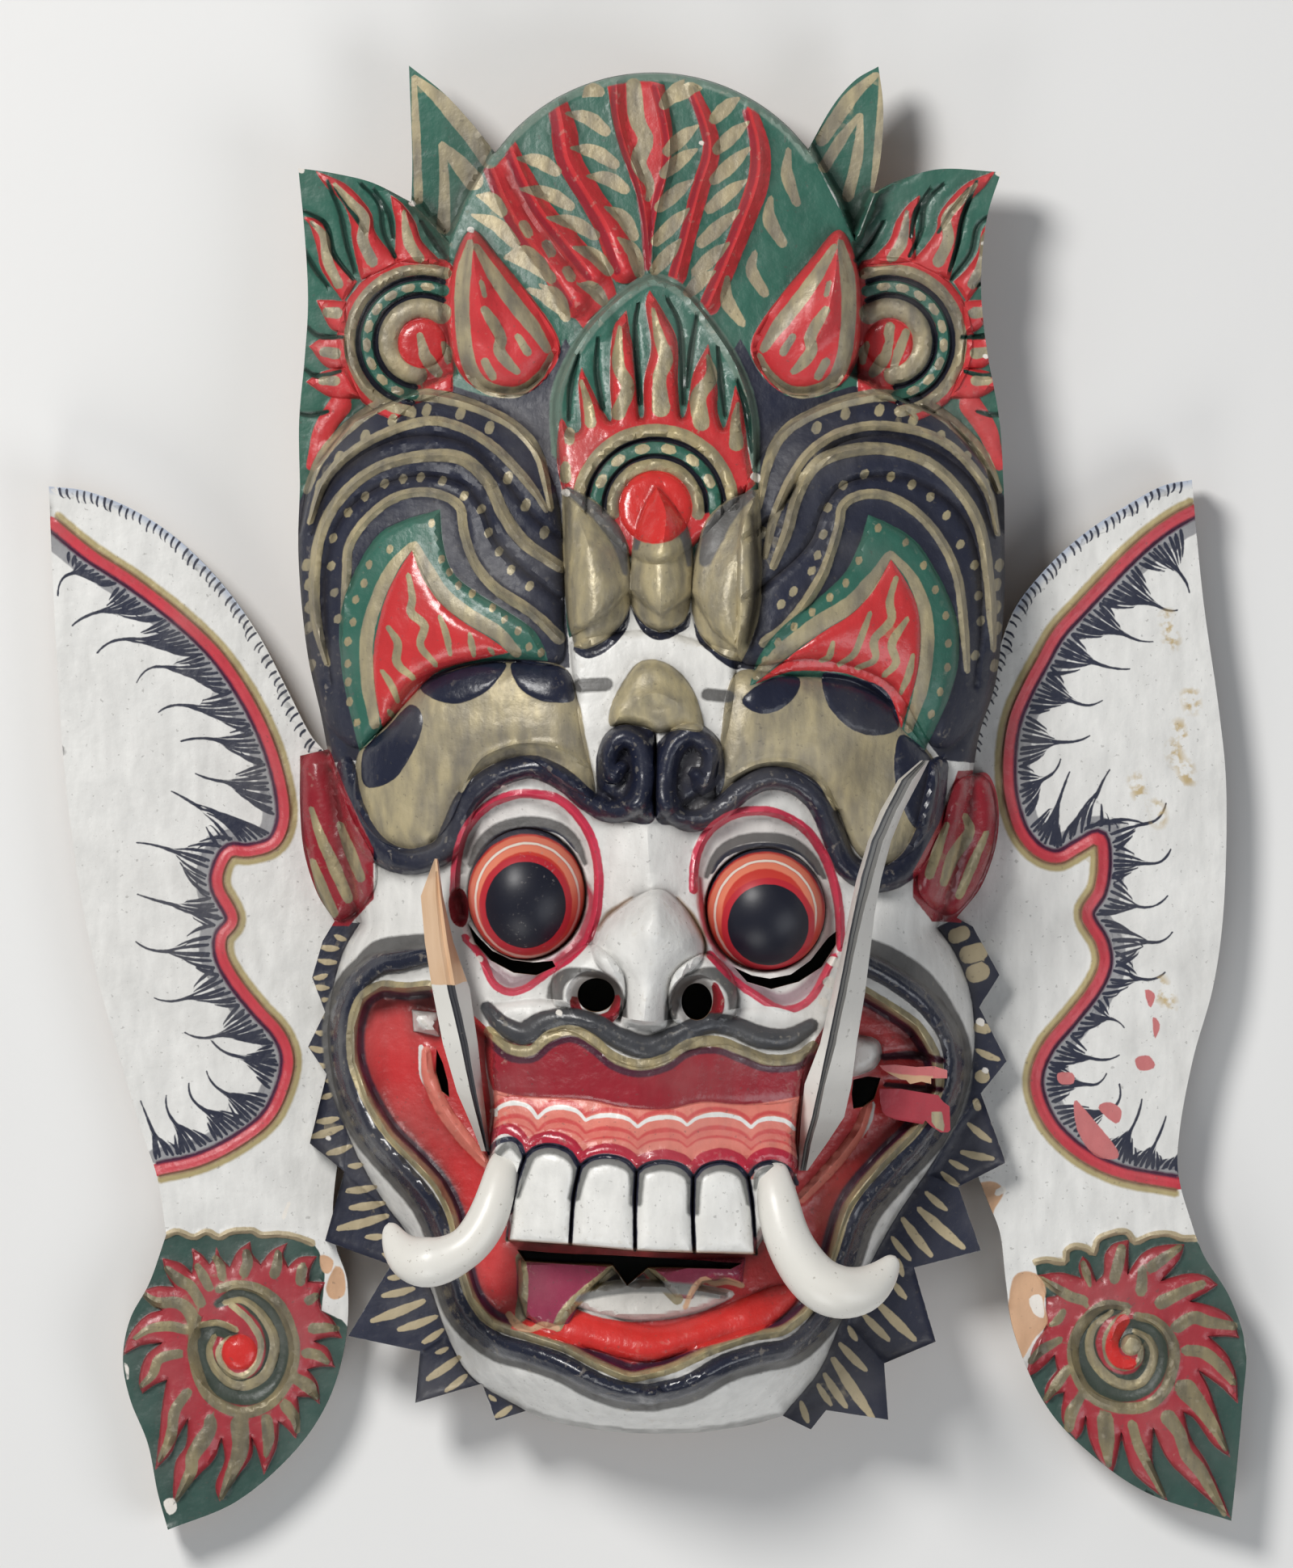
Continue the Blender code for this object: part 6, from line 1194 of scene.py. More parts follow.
swirls = {
    "earLeft": {"ring": [(745, 420), (820, 402), (920, 420), (1010, 490), (1060, 590), (1080, 690), (1060, 800),
        (1000, 900), (930, 950), (850, 968), (760, 940), (690, 880), (650, 790), (628, 690), (636, 600), (650, 550)],
        "groove": [(740, 486), (820, 450), (900, 480), (980, 560), (1014, 680), (984, 800), (900, 872), (800, 866),
        (710, 800), (664, 710), (672, 630), (730, 592), (800, 620)], "bead": [(770, 480), (850, 470), (930, 530),
        (984, 620), (990, 700), (950, 800), (860, 850), (780, 830), (720, 760), (702, 690), (724, 630)],
        "rim": [(660, 580), (740, 570), (820, 600)], "inner": [(800, 490), (880, 560), (930, 650), (920, 730),
        (880, 790), (826, 808), (776, 780), (746, 720), (756, 670), (800, 640)], "heart": [(836, 700), 78]},
    "earRight": {"ring": [(600, 500), (500, 490), (420, 550), (366, 640), (360, 740), (400, 850), (480, 920),
        (600, 950), (700, 930), (770, 860), (800, 770), (806, 690), (780, 620), (720, 560), (640, 540)],
        "groove": [(560, 510), (470, 540), (410, 620), (410, 720), (460, 810), (560, 860), (660, 840), (720, 760),
        (720, 660), (660, 600), (590, 600), (560, 650)], "bead": [(530, 520), (450, 590), (430, 680), (470, 770),
        (560, 840), (650, 840), (700, 780), (718, 700), (690, 640), (630, 606)], "rim": [(600, 520), (540, 570),
        (500, 650), (520, 740), (590, 770), (650, 740), (660, 680)], "inner": [(580, 560), (540, 630), (530, 690),
        (560, 740), (610, 750)], "heart": [(616, 668), 46]}}
greenTop = {
    "earLeft": [(503, 185), (560, 165), (632, 190), (690, 165), (745, 190), (800, 165), (892, 160), (930, 180),
        (1020, 178), (1090, 190), (1160, 216), (1186, 250), (1214, 330), (1210, 400), (1200, 516), (1290, 560),
        (1340, 620), (1300, 900), (900, 1400), (400, 1520), (280, 1000), (300, 600)],
    "earRight": [(190, 300), (240, 290), (320, 300), (330, 250), (370, 230), (420, 240), (450, 262), (470, 200),
        (540, 170), (600, 168), (634, 210), (700, 184), (780, 174), (840, 194), (900, 196), (1100, 500), (1150, 900),
        (1120, 1500), (900, 1450), (300, 1200), (140, 830), (200, 700), (240, 560), (236, 460), (200, 362)]}
greenBrow = {"earLeft": 11, "earRight": 15}  # so many of its points lie along the pale upper edge
boards = {"head": head}
rng = np.random.default_rng(11)


def earEdge(name):
    side = -1 if name == "earLeft" else 1
    u, v = sheetPlaces(core.line)
    upper, lower = earTop[name], earFoot[name]
    kept = ((u - axis) * side > 0) & (v > upper[-1][-1][1] + ear["overlap"]) & (v < lower[0][0][1] - ear["overlap"])
    run = core.line[kept]
    run = run[np.argsort(-run[:, 1])] + (side * ear["gap"] * mm / unit, 0)
    return np.vstack([*[smooth(r)[:-1] for r in upper], run, *[smooth(r)[:-1] for r in lower]])


def onLobe(name, points):
    u0, v0 = lobeOrigins[name]
    return [(u0 + lobeScale * u, v0 + lobeScale * v) for u, v in points]


# each tuft of hair: its tip, its neck and its foot on the ridge, in sheet units
hairTufts = {
    "earLeft": [(68, 736, 86, 708, 120, 690), (86, 773, 119, 756, 176, 738), (117, 807, 150, 790, 228, 784),
        (166, 844, 196, 824, 268, 826), (193, 881, 222, 872, 298, 878), (221, 917, 258, 914, 322, 920),
        (239, 957, 268, 966, 338, 976), (209, 979, 236, 994, 306, 1034), (166, 1043, 205, 1051, 264, 1072),
        (167, 1107, 203, 1118, 268, 1136), (165, 1166, 197, 1178, 268, 1178), (188, 1236, 222, 1238, 278, 1222),
        (226, 1279, 262, 1284, 318, 1268), (260, 1290, 289, 1308, 344, 1320), (253, 1327, 271, 1351, 322, 1384),
        (231, 1342, 243, 1370, 290, 1410), (203, 1357, 211, 1388, 242, 1434), (171, 1364, 185, 1399, 202, 1444)],
    "earRight": [(1475, 732, 1465, 710, 1436, 672), (1460, 754, 1440, 751, 1386, 722),
        (1430, 793, 1400, 787, 1346, 760), (1401, 827, 1365, 822, 1308, 802), (1367, 866, 1337, 870, 1284, 850),
        (1351, 910, 1320, 918, 1262, 916), (1315, 939, 1296, 963, 1256, 980), (1326, 955, 1315, 985, 1292, 1050),
        (1376, 952, 1364, 974, 1344, 1044), (1446, 994, 1423, 1019, 1370, 1030), (1452, 1051, 1428, 1069, 1376, 1068),
        (1448, 1109, 1414, 1123, 1364, 1112), (1454, 1154, 1430, 1167, 1376, 1166),
        (1445, 1204, 1419, 1213, 1374, 1206), (1394, 1273, 1377, 1262, 1340, 1250),
        (1388, 1307, 1358, 1312, 1304, 1298), (1372, 1330, 1352, 1344, 1292, 1340),
        (1388, 1343, 1377, 1374, 1318, 1404), (1416, 1362, 1405, 1395, 1380, 1444),
        (1446, 1383, 1433, 1416, 1416, 1456), (1470, 1410, 1462, 1430, 1452, 1462)]}


def bent(a, b, c, count=7):
    t = np.linspace(0, 1, count)[:, None]
    return (1 - t) ** 2 * a + 2 * t * (1 - t) * b + t**2 * c


# how the hairs of a tuft and the ticks of the upper edge are drawn: gaps, lengths and half widths
tuftForm = {"spread": (14, 34), "perHair": 4.2, "root": (12, 16), "neck": 14, "dip": 0.55,
    "tip": [1.9, 1.9, 1.5, 1.2, 0.9, 0.6], "long": [1.5, 2.2, 1.9, 1.2, 0.45], "short": [0.9, 1.1, 0.8, 0.35]}
tickForm = {"first": 12.0, "apart": (8.5, 11.5), "long": (9, 14), "lean": (3, 6), "half": [1.4, 1.3, 0.5]}


# Brush-drawn hair: thick strokes off the ridge that thin out towards the neck of their tuft, and a curled tip
def hairAlong(line, side, tufts):
    run = lengths(line)
    along = np.gradient(line, axis=0)
    across = side * np.column_stack([-along[:, 1], along[:, 0]]) / np.linalg.norm(along, axis=1)[:, None]

    def at(s, gap):
        s = np.clip(s, 0, run[-1])
        p = np.array([np.interp(s, run, line[:, i]) for i in (0, 1)])
        n = np.array([np.interp(s, run, across[:, i]) for i in (0, 1)])
        return p + gap * n / np.linalg.norm(n), n / np.linalg.norm(n)

    strokes = []
    feet = gapTo(plan([tuft[4:] for tuft in tufts]), line)[1] * run[-1]
    spreads = np.clip(np.abs(np.gradient(feet)) / 2, *tuftForm["spread"])
    for tuft, s, spread in zip(tufts, feet, spreads):
        tip, neck, foot = plan([tuft[:2]])[0], plan([tuft[2:4]])[0], at(s, tuftForm["root"][0])[0]
        way = (neck - foot) / np.linalg.norm(neck - foot)
        dip = neck + way * tuftForm["dip"] * np.linalg.norm(tip - neck)
        curl = np.vstack([[neck - way * tuftForm["neck"]], bent(neck, dip, tip, 8)])
        strokes.append(Shape(curl, tuftForm["tip"]))
        count = max(5, round(spread / tuftForm["perHair"]))
        for k in range(count + 1):
            share = 2 * k / count - 1
            root, n = at(s + share * spread + rng.uniform(-1, 1), rng.uniform(*tuftForm["root"]))
            gather = 1 - 0.62 * abs(share) * rng.uniform(0.7, 1.1)
            end = root + (neck - root) * gather + n * 3 * abs(share)
            bow = (neck - root) * gather * 0.4 + n * np.linalg.norm(neck - root) * gather * 0.22
            strokes.append(Shape(bent(root, root + bow, end), tuftForm["long"]))
            if k % 2:
                root, n = at(s + share * spread + 3, rng.uniform(14, 20))
                end = root + (neck - root) * gather * rng.uniform(0.5, 0.8) + rng.normal(0, 1.6, 2)
                strokes.append(Shape(bent(root, root + bow * 0.8, end), tuftForm["short"]))
    return strokes


for name, ridge, hairSide, rimSide in (("earLeft", ridgeLeft, -1, 1), ("earRight", ridgeRight, 1, -1)):
    board = Board(earEdge(name))
    line = smooth(ridge)
    board.put(cornered(ridge, *legs([ridge[-1], *earSide[name], ridge[0]])), step=ear["rimRise"], soft=7)
    board.put(Shape(line, 8.2), "earRed", swell=1.8)
    board.put(moved(ridge, 13 * rimSide, 4.4), "earGold", swell=0.3)
    board.put(moved(ridge, 9 * rimSide, 1.5), "umber")
    board.put(moved(ridge, 8 * hairSide, 2.2), "purple")
    # a grey band beside the raised ridge on the hair side: painted shade
    board.put(moved(ridge, 17 * hairSide, 9), "earShadeGrey")
    board.put(hairAlong(line, hairSide, hairTufts[name]), "ink")
    upper = smooth(earTop[name][0])
    run, whole, ticks = tickForm["first"], lengths(upper), []
    while run < whole[-1] - 4:
        k = min(int(np.searchsorted(whole, run)), len(upper) - 2)
        along = (upper[k + 1] - upper[k]) / np.linalg.norm(upper[k + 1] - upper[k])
        across = -rimSide * np.array([-along[1], along[0]])
        start = upper[k] + across * rng.uniform(1, 3)
        goal = start + across * rng.uniform(*tickForm["long"]) + along * rng.uniform(*tickForm["lean"])
        ticks.append(Shape(bent(start, (start + goal) / 2 + across * 2.5 - along * 2, goal, 4), tickForm["half"]))
        run += rng.uniform(*tickForm["apart"])
    board.put(ticks, "ink")
    board.put(Shape(upper[: int(len(upper) * 0.6)], 6, crisp=False), "bluish")
    board.put(poly(onLobe(name, greenTop[name])), "lobeGreen", step=-1.2, soft=4)
    board.put(stroke(onLobe(name, greenTop[name][: greenBrow[name]]), 4), "pale", swell=0.8)
    board.put(chain(*[onLobe(name, side) for side in star[name]]), "lobeRed", step=3.2, soft=3)
    for points, half in cores[name]:
        board.put(stroke(onLobe(name, points), [h * lobeScale for h in half]), "lobeGold", swell=0.8)
    turnings = swirls[name]
    board.put(stroke(onLobe(name, turnings["ring"]), [5, 7, 7, 7, 7, 7, 5]), "lobeGold", swell=1.6)
    board.put(stroke(onLobe(name, turnings["groove"]), [5, 14, 17, 17, 16, 14, 8]), "moss", swell=-2.6, soft=14)
    board.put(stroke(onLobe(name, turnings["bead"]), [3, 5, 6, 6, 5, 3]), "gold3", swell=1.6)
    board.put(stroke(onLobe(name, turnings["rim"]), 3.6), "gold3", swell=1.0)
    heart, radius = turnings["heart"]
    heartCoat, innerCoat = ("red4", "gold4") if name == "earLeft" else ("gold4", "red4")
    board.put(oval(*onLobe(name, [heart])[0], radius * lobeScale), heartCoat, swell=2.0, soft=14)
    board.put(stroke(onLobe(name, turnings["inner"]), 3.8 if name == "earLeft" else 8), innerCoat, swell=0.8)
    boards[name] = board
boards["earLeft"].put([area([(414, 1570), (424, 1580), (424, 1604), (410, 1610), (402, 1596)]),
    area([(395, 1556), (410, 1562), (406, 1578), (396, 1574)])], "raw", step=-0.6, soft=3)
boards["earLeft"].put([area([(200, 1862), (212, 1858), (216, 1872), (206, 1878)]), area([(60, 604), (66, 600),
    (68, 610)]), area([(151, 1690), (156, 1696), (155, 1712)]), dab(352, 1500, 2, 10, 70)], "chip")
boards["earRight"].put([area([(1258, 1582), (1282, 1578), (1296, 1596), (1294, 1616), (1298, 1640), (1282, 1660),
    (1262, 1690), (1252, 1660), (1250, 1620)]), area([(1204, 1474), (1228, 1464), (1244, 1476), (1232, 1500),
    (1224, 1530), (1212, 1510)])], "raw", step=-0.8, soft=3)
boards["earRight"].put([area([(1276, 1610), (1290, 1606), (1294, 1632), (1282, 1628)]), dab(1240, 1476, 4, 4, 30)],
    "chip")
patches = [[(1332, 1364), (1344, 1374), (1382, 1420), (1384, 1436), (1356, 1430), (1336, 1400)],
    [(1362, 1372), (1376, 1366), (1390, 1376), (1384, 1392)], [(1408, 1312), (1424, 1308), (1432, 1322),
    (1414, 1326)], [(1312, 1330), (1330, 1330), (1330, 1342), (1314, 1342)], [(1430, 1260), (1438, 1270),
    (1432, 1286)], [(1420, 1226), (1432, 1232), (1426, 1248)]]
boards["earRight"].put([area(patch) for patch in patches], "rose")
foxing = [(1448, 764), (1450, 780), (1462, 900), (1456, 926), (1470, 950), (1446, 1230), (1438, 1218), (1476, 860),
    (1410, 966), (1434, 1000)]
boards["earRight"].put([Shape(plan([(u, v), (u + 3, v + 14)]), 9, crisp=False) for u, v in foxing], "foxed")
print("ears drawn:", [len(board.guides) for board in boards.values()], "shapes")


# Shaders

brush = {"edge": 1.2, "wobble": 1.5}  # how soft a brushed edge is and how far it wavers, in sheet units
priming = {"head": ((0.80, 0.79, 0.76), 0.36), "ear": ((0.77, 0.765, 0.74), 0.42)}
soil = {"grimeAndShade": (0.026, 0.021, 0.018), "dust": (0.36, 0.34, 0.31), "worn": (0.50, 0.44, 0.35),
    "speck": (0.09, 0.08, 0.07)}
woodTones = {"early": (0.34, 0.20, 0.105), "late": (0.50, 0.33, 0.19)}
eyeTones = {"white": ((0.50, 0.040, 0.030), (0.60, 0.052, 0.034)), "outerLid": (0.72, 0.20, 0.12),
    "innerLid": (0.74, 0.22, 0.13), "paleLine": (0.78, 0.72, 0.62), "iris": (0.46, 0.022, 0.034),
    "pupil": (0.010, 0.011, 0.020), "lash": (0.03, 0.03, 0.05), "dust": (0.35, 0.32, 0.3)}
tuskTones = {"ivory": ((0.80, 0.785, 0.74), (0.74, 0.71, 0.64)), "speck": (0.26, 0.22, 0.17)}
fangTones = {"white": ((0.78, 0.77, 0.73), (0.70, 0.68, 0.63)), "shadedSide": (0.70, 0.68, 0.64),
    "speck": (0.20, 0.18, 0.16), "bandBroken": (0.055, 0.056, 0.062), "bandWhole": (0.14, 0.137, 0.13),
    "line": (0.010, 0.011, 0.018), "raw": ((0.60, 0.37, 0.21), (0.76, 0.54, 0.36))}
floorTones = ((0.74, 0.74, 0.735), (0.79, 0.785, 0.775))
coats = {  # in the order in which they were painted: colour, roughness, metallic, softness of the edge
    "green": ((0.034, 0.128, 0.092), 0.42, 0, 1),
    "lobeGreen": ((0.034, 0.080, 0.066), 0.42, 0, 1), "navy": ((0.018, 0.021, 0.041), 0.50, 0, 1),
    "bluish": ((0.45, 0.50, 0.60), 0.5, 0, 8), "earRed": ((0.58, 0.055, 0.075), 0.42, 0, 1.2),
    "earGold": ((0.44, 0.36, 0.18), 0.45, 0.10, 2.5), "umber": ((0.20, 0.11, 0.06), 0.5, 0, 3),
    "red": ((0.60, 0.042, 0.048), 0.40, 0, 1), "redPaintedShade": ((0.33, 0.022, 0.038), 0.42, 0, 2),
    "gold": ((0.385, 0.335, 0.230), 0.46, 0.18, 1), "pale": ((0.46, 0.38, 0.24), 0.48, 0.12, 1),
    "rimGreen": ((0.15, 0.23, 0.185), 0.42, 0, 2), "earShadeGrey": ((0.30, 0.30, 0.31), 0.5, 0, 1.5),
    "ink": ((0.022, 0.026, 0.048), 0.42, 0, 1), "navy2": ((0.016, 0.019, 0.036), 0.24, 0, 1),
    "green2": ((0.034, 0.132, 0.096), 0.40, 0, 1), "rimGreen2": ((0.15, 0.23, 0.185), 0.4, 0, 2),
    "red2": ((0.58, 0.038, 0.041), 0.27, 0, 1), "lobeRed": ((0.37, 0.036, 0.048), 0.36, 0, 1),
    "greenPaintedShade": ((0.014, 0.050, 0.038), 0.36, 0, 1.5), "moss": ((0.055, 0.075, 0.060), 0.4, 0, 2),
    "gold2": ((0.36, 0.315, 0.215), 0.46, 0.18, 1), "lobeGold": ((0.235, 0.20, 0.125), 0.44, 0.2, 1),
    "gold3": ((0.37, 0.315, 0.195), 0.44, 0.2, 1),
    "pale4": ((0.66, 0.56, 0.44), 0.4, 0.1, 4), "purple": ((0.075, 0.016, 0.050), 0.3, 0, 2.5),
    "navy4": ((0.014, 0.017, 0.036), 0.33, 0, 1), "green4": ((0.03, 0.12, 0.085), 0.42, 0, 1),
    "gold4": ((0.42, 0.365, 0.240), 0.44, 0.2, 1), "shadeGrey": ((0.125, 0.122, 0.118), 0.45, 0, 2.5),
    "petalPaintedShade": ((0.045, 0.036, 0.020), 0.5, 0.1, 8), "lilac": ((0.42, 0.30, 0.33), 0.4, 0, 5),
    "pink": ((0.50, 0.095, 0.13), 0.38, 0, 4), "dark": ((0.02, 0.010, 0.010), 0.5, 0, 3),
    "crimson": ((0.60, 0.040, 0.085), 0.32, 0, 1.2), "white3": ((0.80, 0.79, 0.76), 0.40, 0, 1),
    "red3": ((0.29, 0.017, 0.028), 0.28, 0, 1.2), "salmon": ((0.74, 0.22, 0.17), 0.36, 0, 1.5),
    "red4": ((0.66, 0.034, 0.030), 0.26, 0, 1.5), "salmonRed": ((0.62, 0.080, 0.075), 0.36, 0, 2),
    "crimson2": ((0.46, 0.024, 0.050), 0.26, 0, 1.2), "white4": ((0.82, 0.81, 0.775), 0.34, 0, 1),
    "white5": ((0.62, 0.60, 0.56), 0.42, 0, 1.5), "slate": ((0.046, 0.048, 0.055), 0.36, 0, 2),
    "magenta": ((0.30, 0.040, 0.085), 0.26, 0, 1), "gold5": ((0.37, 0.31, 0.185), 0.42, 0.22, 1),
    "purpleLineAndShade": ((0.070, 0.014, 0.030), 0.3, 0, 2), "toothShadeGrey": ((0.21, 0.21, 0.20), 0.45, 0, 3),
    "navy5": ((0.030, 0.033, 0.060), 0.32, 0, 1), "creaseBrown": ((0.34, 0.20, 0.10), 0.5, 0, 4),
    "rose": ((0.56, 0.17, 0.17), 0.45, 0, 1), "foxed": ((0.50, 0.37, 0.17), 0.55, 0, 9),
    "raw": ((0.62, 0.38, 0.23), 0.7, 0, 1.5),
    "chip": ((0.80, 0.76, 0.70), 0.6, 0, 1),
}


def feed(port, value):
    if isinstance(value, Wire):
        port.id_data.links.new(value.socket, port)
    elif value is not None:
        port.default_value = value


# A socket that can be reckoned with
class Wire:
    def __init__(self, socket):
        self.socket = socket

    def math(self, operation, *others, clamp=False):
        node = self.socket.id_data.nodes.new("ShaderNodeMath")
        node.operation, node.use_clamp = operation, clamp
        for port, value in zip(node.inputs, (self, *others)):
            feed(port, value)
        return Wire(node.outputs[0])

    def __add__(self, other):
        return self.math("ADD", other)

    def __sub__(self, other):
        return self.math("SUBTRACT", other)

    def __mul__(self, other):
        return self.math("MULTIPLY", other)

    def __truediv__(self, other):
        return self.math("DIVIDE", other)

    def __neg__(self):
        return self.math("MULTIPLY", -1.0)

    def __rsub__(self, other):
        return (-self) + other

    __radd__, __rmul__ = __add__, __mul__

    def clamp(self):
        return self.math("ADD", 0.0, clamp=True)

    def above(self, low, high):
        return ((self - low) / (high - low)).clamp()


class Finish:
    def __init__(self, name):
        self.material = bpy.data.materials.new(name)
        self.material.use_nodes = True
        self.tree = self.material.node_tree
        self.shader = self.tree.nodes["Principled BSDF"]
        self.place = Wire(self.tree.nodes.new("ShaderNodeTexCoord").outputs["Object"])

    def node(self, kind, settings=None, out=0, **values):
        made = self.tree.nodes.new("ShaderNode" + kind)
        for key, value in (settings or {}).items():
            setattr(made, key, value)
        for key, value in values.items():
            feed(made.inputs[key.replace("_", " ")], value)
        return Wire(made.outputs[out])

    def stretched(self, x, y, z):
        return self.node("Mapping", Vector=self.place, Scale=(x, y, z))

    def noise(self, scale, detail=3.0, place=None):
        return self.node("TexNoise", Vector=place or self.place, Scale=scale, Detail=detail)

    def attribute(self, name):
        return self.node("Attribute", {"attribute_name": name}, out="Fac")

    def mix(self, share, a, b):
        made = self.tree.nodes.new("ShaderNodeMix")
        made.data_type = "RGBA"
        feed(made.inputs[0], share)
        for port, value in ((made.inputs[6], a), (made.inputs[7], b)):
            feed(port, value if isinstance(value, Wire) else (*value, 1.0))
        return Wire(made.outputs[2])

    def tinted(self, colour, share):
        made = self.tree.nodes.new("ShaderNodeVectorMath")
        made.operation = "SCALE"
        feed(made.inputs[0], colour)
        feed(made.inputs["Scale"], share)
        return Wire(made.outputs[0])

    def set(self, **values):
        for key, value in values.items():
            feed(self.shader.inputs[key.replace("_", " ")], value)

    def bump(self, height, distance, strength):
        self.set(Normal=self.node("Bump", Height=height, Distance=distance, Strength=strength))
        return self.material


# Brushed paint over priming: the coats lie one over another, grime and painted shade in the hollows, worn on the
# ridges
def painted(name, board, base, baseRough):
    f = Finish(name)
    fine, broad, dents = f.noise(420, 2.0), f.noise(38, 4.0), f.noise(85, 1.0)
    hairs, cuts = f.noise(210, 5.0, f.stretched(1, 0.3, 1)), f.noise(190, 2.0)
    wobble = (fine - 0.5) * brush["wobble"] + (f.noise(150, 2.0) - 0.5) * brush["wobble"]
    sheen = hairs.above(0.34, 0.66) * 0.6 + broad.above(0.35, 0.65) * 0.4
    colour, rough, metal = f.mix(broad, base, tuple(c * 0.93 for c in base)), broad * 0.1 + baseRough, None
    for coat, (tint, coatRough, metallic, soft) in coats.items():
        if coat not in board.coats:
            continue
        cover = ((f.attribute(coat) + wobble + 0.35) / (brush["edge"] * soft) + 0.5).clamp()
        if coat == "foxed":
            cover = cover * f.noise(230, 5.0).above(0.47, 0.58) * 0.9
        if metallic > 0.15:
            red, green, blue = tint
            tint = f.mix(sheen, (red * 0.62, green * 0.64, blue * 0.74), (red * 1.26, green * 1.22, blue * 1.05))
        colour = f.mix(cover, colour, tint)
        rough = rough + (coatRough - rough) * cover
        if metal is not None:
            metal = metal + (metallic - metal) * cover
        elif metallic:
            metal = cover * metallic
    hollow = f.attribute("hollow")
    streaks = f.noise(90, 5.0, f.stretched(1, 0.4, 1))
    # near-black in the hollows, deeper where they are deeper: grime together with painted shade
    grimeAndShade = hollow.above(0.1, 2.0) * (streaks.above(0.25, 0.7) * 0.5 + 0.4)
    thin = hairs.above(0.30, 0.72) * 0.16 + 0.87 + (broad - 0.5) * 0.26
    colour = f.tinted(colour, thin)
    colour = f.mix(grimeAndShade * 0.7, colour, soil["grimeAndShade"])
    specks = f.noise(560, 3.0).above(0.66, 0.71)
    colour = f.mix(f.noise(27, 6.0).above(0.48, 0.72) * 0.15, colour, soil["dust"])
    wear = ((-hollow).above(0.4, 1.2) * f.noise(330, 4.0).above(0.60, 0.67)).clamp()
    colour = f.mix(wear * 0.25, colour, soil["worn"])
    colour = f.mix(specks * 0.35, colour, soil["speck"])
    rough = (rough + (fine - 0.5) * 0.20 + (dents - 0.5) * 0.16 + wear * 0.15 + grimeAndShade * 0.15).clamp()
    f.set(Base_Color=colour, Roughness=rough, Coat_Weight=((rough * -1 + 0.42) * 2.2).clamp(),
        Specular_IOR_Level=0.45, Coat_Roughness=0.22)
    if metal is not None:
        f.set(Metallic=metal.clamp())
    return f.bump(hairs * 0.55 + fine * 0.22 + f.noise(1500, 2.0) * 0.12 + dents * 1.6 + cuts * 0.9, 0.0008, 0.55)


def bareWood(name):
    f = Finish(name)
    grain = f.noise(70, 6.0, f.stretched(1, 0.07, 1))
    pores = f.noise(900, 3.0, f.stretched(1, 0.12, 1))
    gouges = f.node("TexVoronoi", Vector=f.stretched(1, 0.45, 1), Scale=95.0)
    colour = f.mix(grain.above(0.3, 0.7), woodTones["early"], woodTones["late"])
    colour = f.tinted(colour, pores.above(0.3, 0.7) * 0.25 + 0.78)
    f.set(Base_Color=colour, Roughness=pores * 0.15 + 0.66)
    return f.bump(gouges * 0.8 + pores * 0.1 + grain * 0.3, 0.0012, 0.7)


def eyeMaterial(name, ball):
    f = Finish(name)
    parts = f.node("SeparateXYZ", Vector=f.place)
    x, y = parts, Wire(parts.socket.node.outputs["Y"])

    def ring(u, v, halfU, halfV):
        (cx, cy), = plan([(u, v)]) * unit
        across, down = (x - float(cx)) / (halfU * unit), (y - float(cy)) / (halfV * unit)
        return (across * across + down * down).math("SQRT")

    fine = f.noise(260, 2.0)
    wobble = (fine - 0.5) * 0.03
    line, pupil = ring(*ball["line"]) + wobble, ring(*ball["pupil"]) + wobble
    top = (y - float((plan([(0, ball["place"][1])]) * unit)[0, 1])) / (ball["half"][1] * unit)
    upper = top.above(-0.45, 0.15)

    def between(low, high, soft=0.014):
        return line.above(low - soft, low + soft) * (line * -1 + high).above(-soft, soft)

    colour = f.mix(f.noise(60, 3.0), *eyeTones["white"])
    colour = f.mix(between(1.03, 1.13) * upper, colour, eyeTones["outerLid"])
    colour = f.mix(between(0.85, 0.97) * upper, colour, eyeTones["innerLid"])
    colour = f.mix(between(0.978, 1.022, 0.01) * (upper * 0.5 + 0.5), colour, eyeTones["paleLine"])
    colour = f.mix((pupil * -1 + 1.16).above(0, 0.03), colour, eyeTones["iris"])
    colour = f.mix((pupil * -1 + 1.0).above(0, 0.02), colour, eyeTones["pupil"])
    colour = f.mix(between(1.165, 1.5) * top.above(0.0, 0.3), colour, eyeTones["lash"])
    dust = f.noise(600, 4.0).above(0.62, 0.70) * f.noise(40, 3.0).above(0.5, 0.7)
    colour = f.mix(dust * 0.35, colour, eyeTones["dust"])
    f.set(Base_Color=colour, Roughness=fine * 0.1 + 0.36, Coat_Weight=0.1, Coat_Roughness=0.30,
        Specular_IOR_Level=0.3)
    return f.bump(fine, 0.0002, 0.3)


def tuskMaterial(name):
    f = Finish(name)
    broad, fine = f.noise(30, 4.0), f.noise(330, 3.0)
    colour = f.mix(broad, *tuskTones["ivory"])
    colour = f.mix(f.noise(520, 4.0).above(0.66, 0.72) * 0.5, colour, tuskTones["speck"])
    f.set(Base_Color=colour, Roughness=fine * 0.12 + 0.34, Coat_Weight=0.2, Coat_Roughness=0.25)
    return f.bump(f.noise(120, 4.0, f.stretched(1, 0.3, 1)) * 0.6 + fine * 0.3, 0.0006, 0.5)


# Pieces


def settle(piece, slot, *nodes):
    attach(piece, "root")
    if nodes:
        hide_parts(*nodes)


def edited():
    bpy.ops.object.mode_set(mode="EDIT")
    bpy.ops.mesh.select_all(action="SELECT")


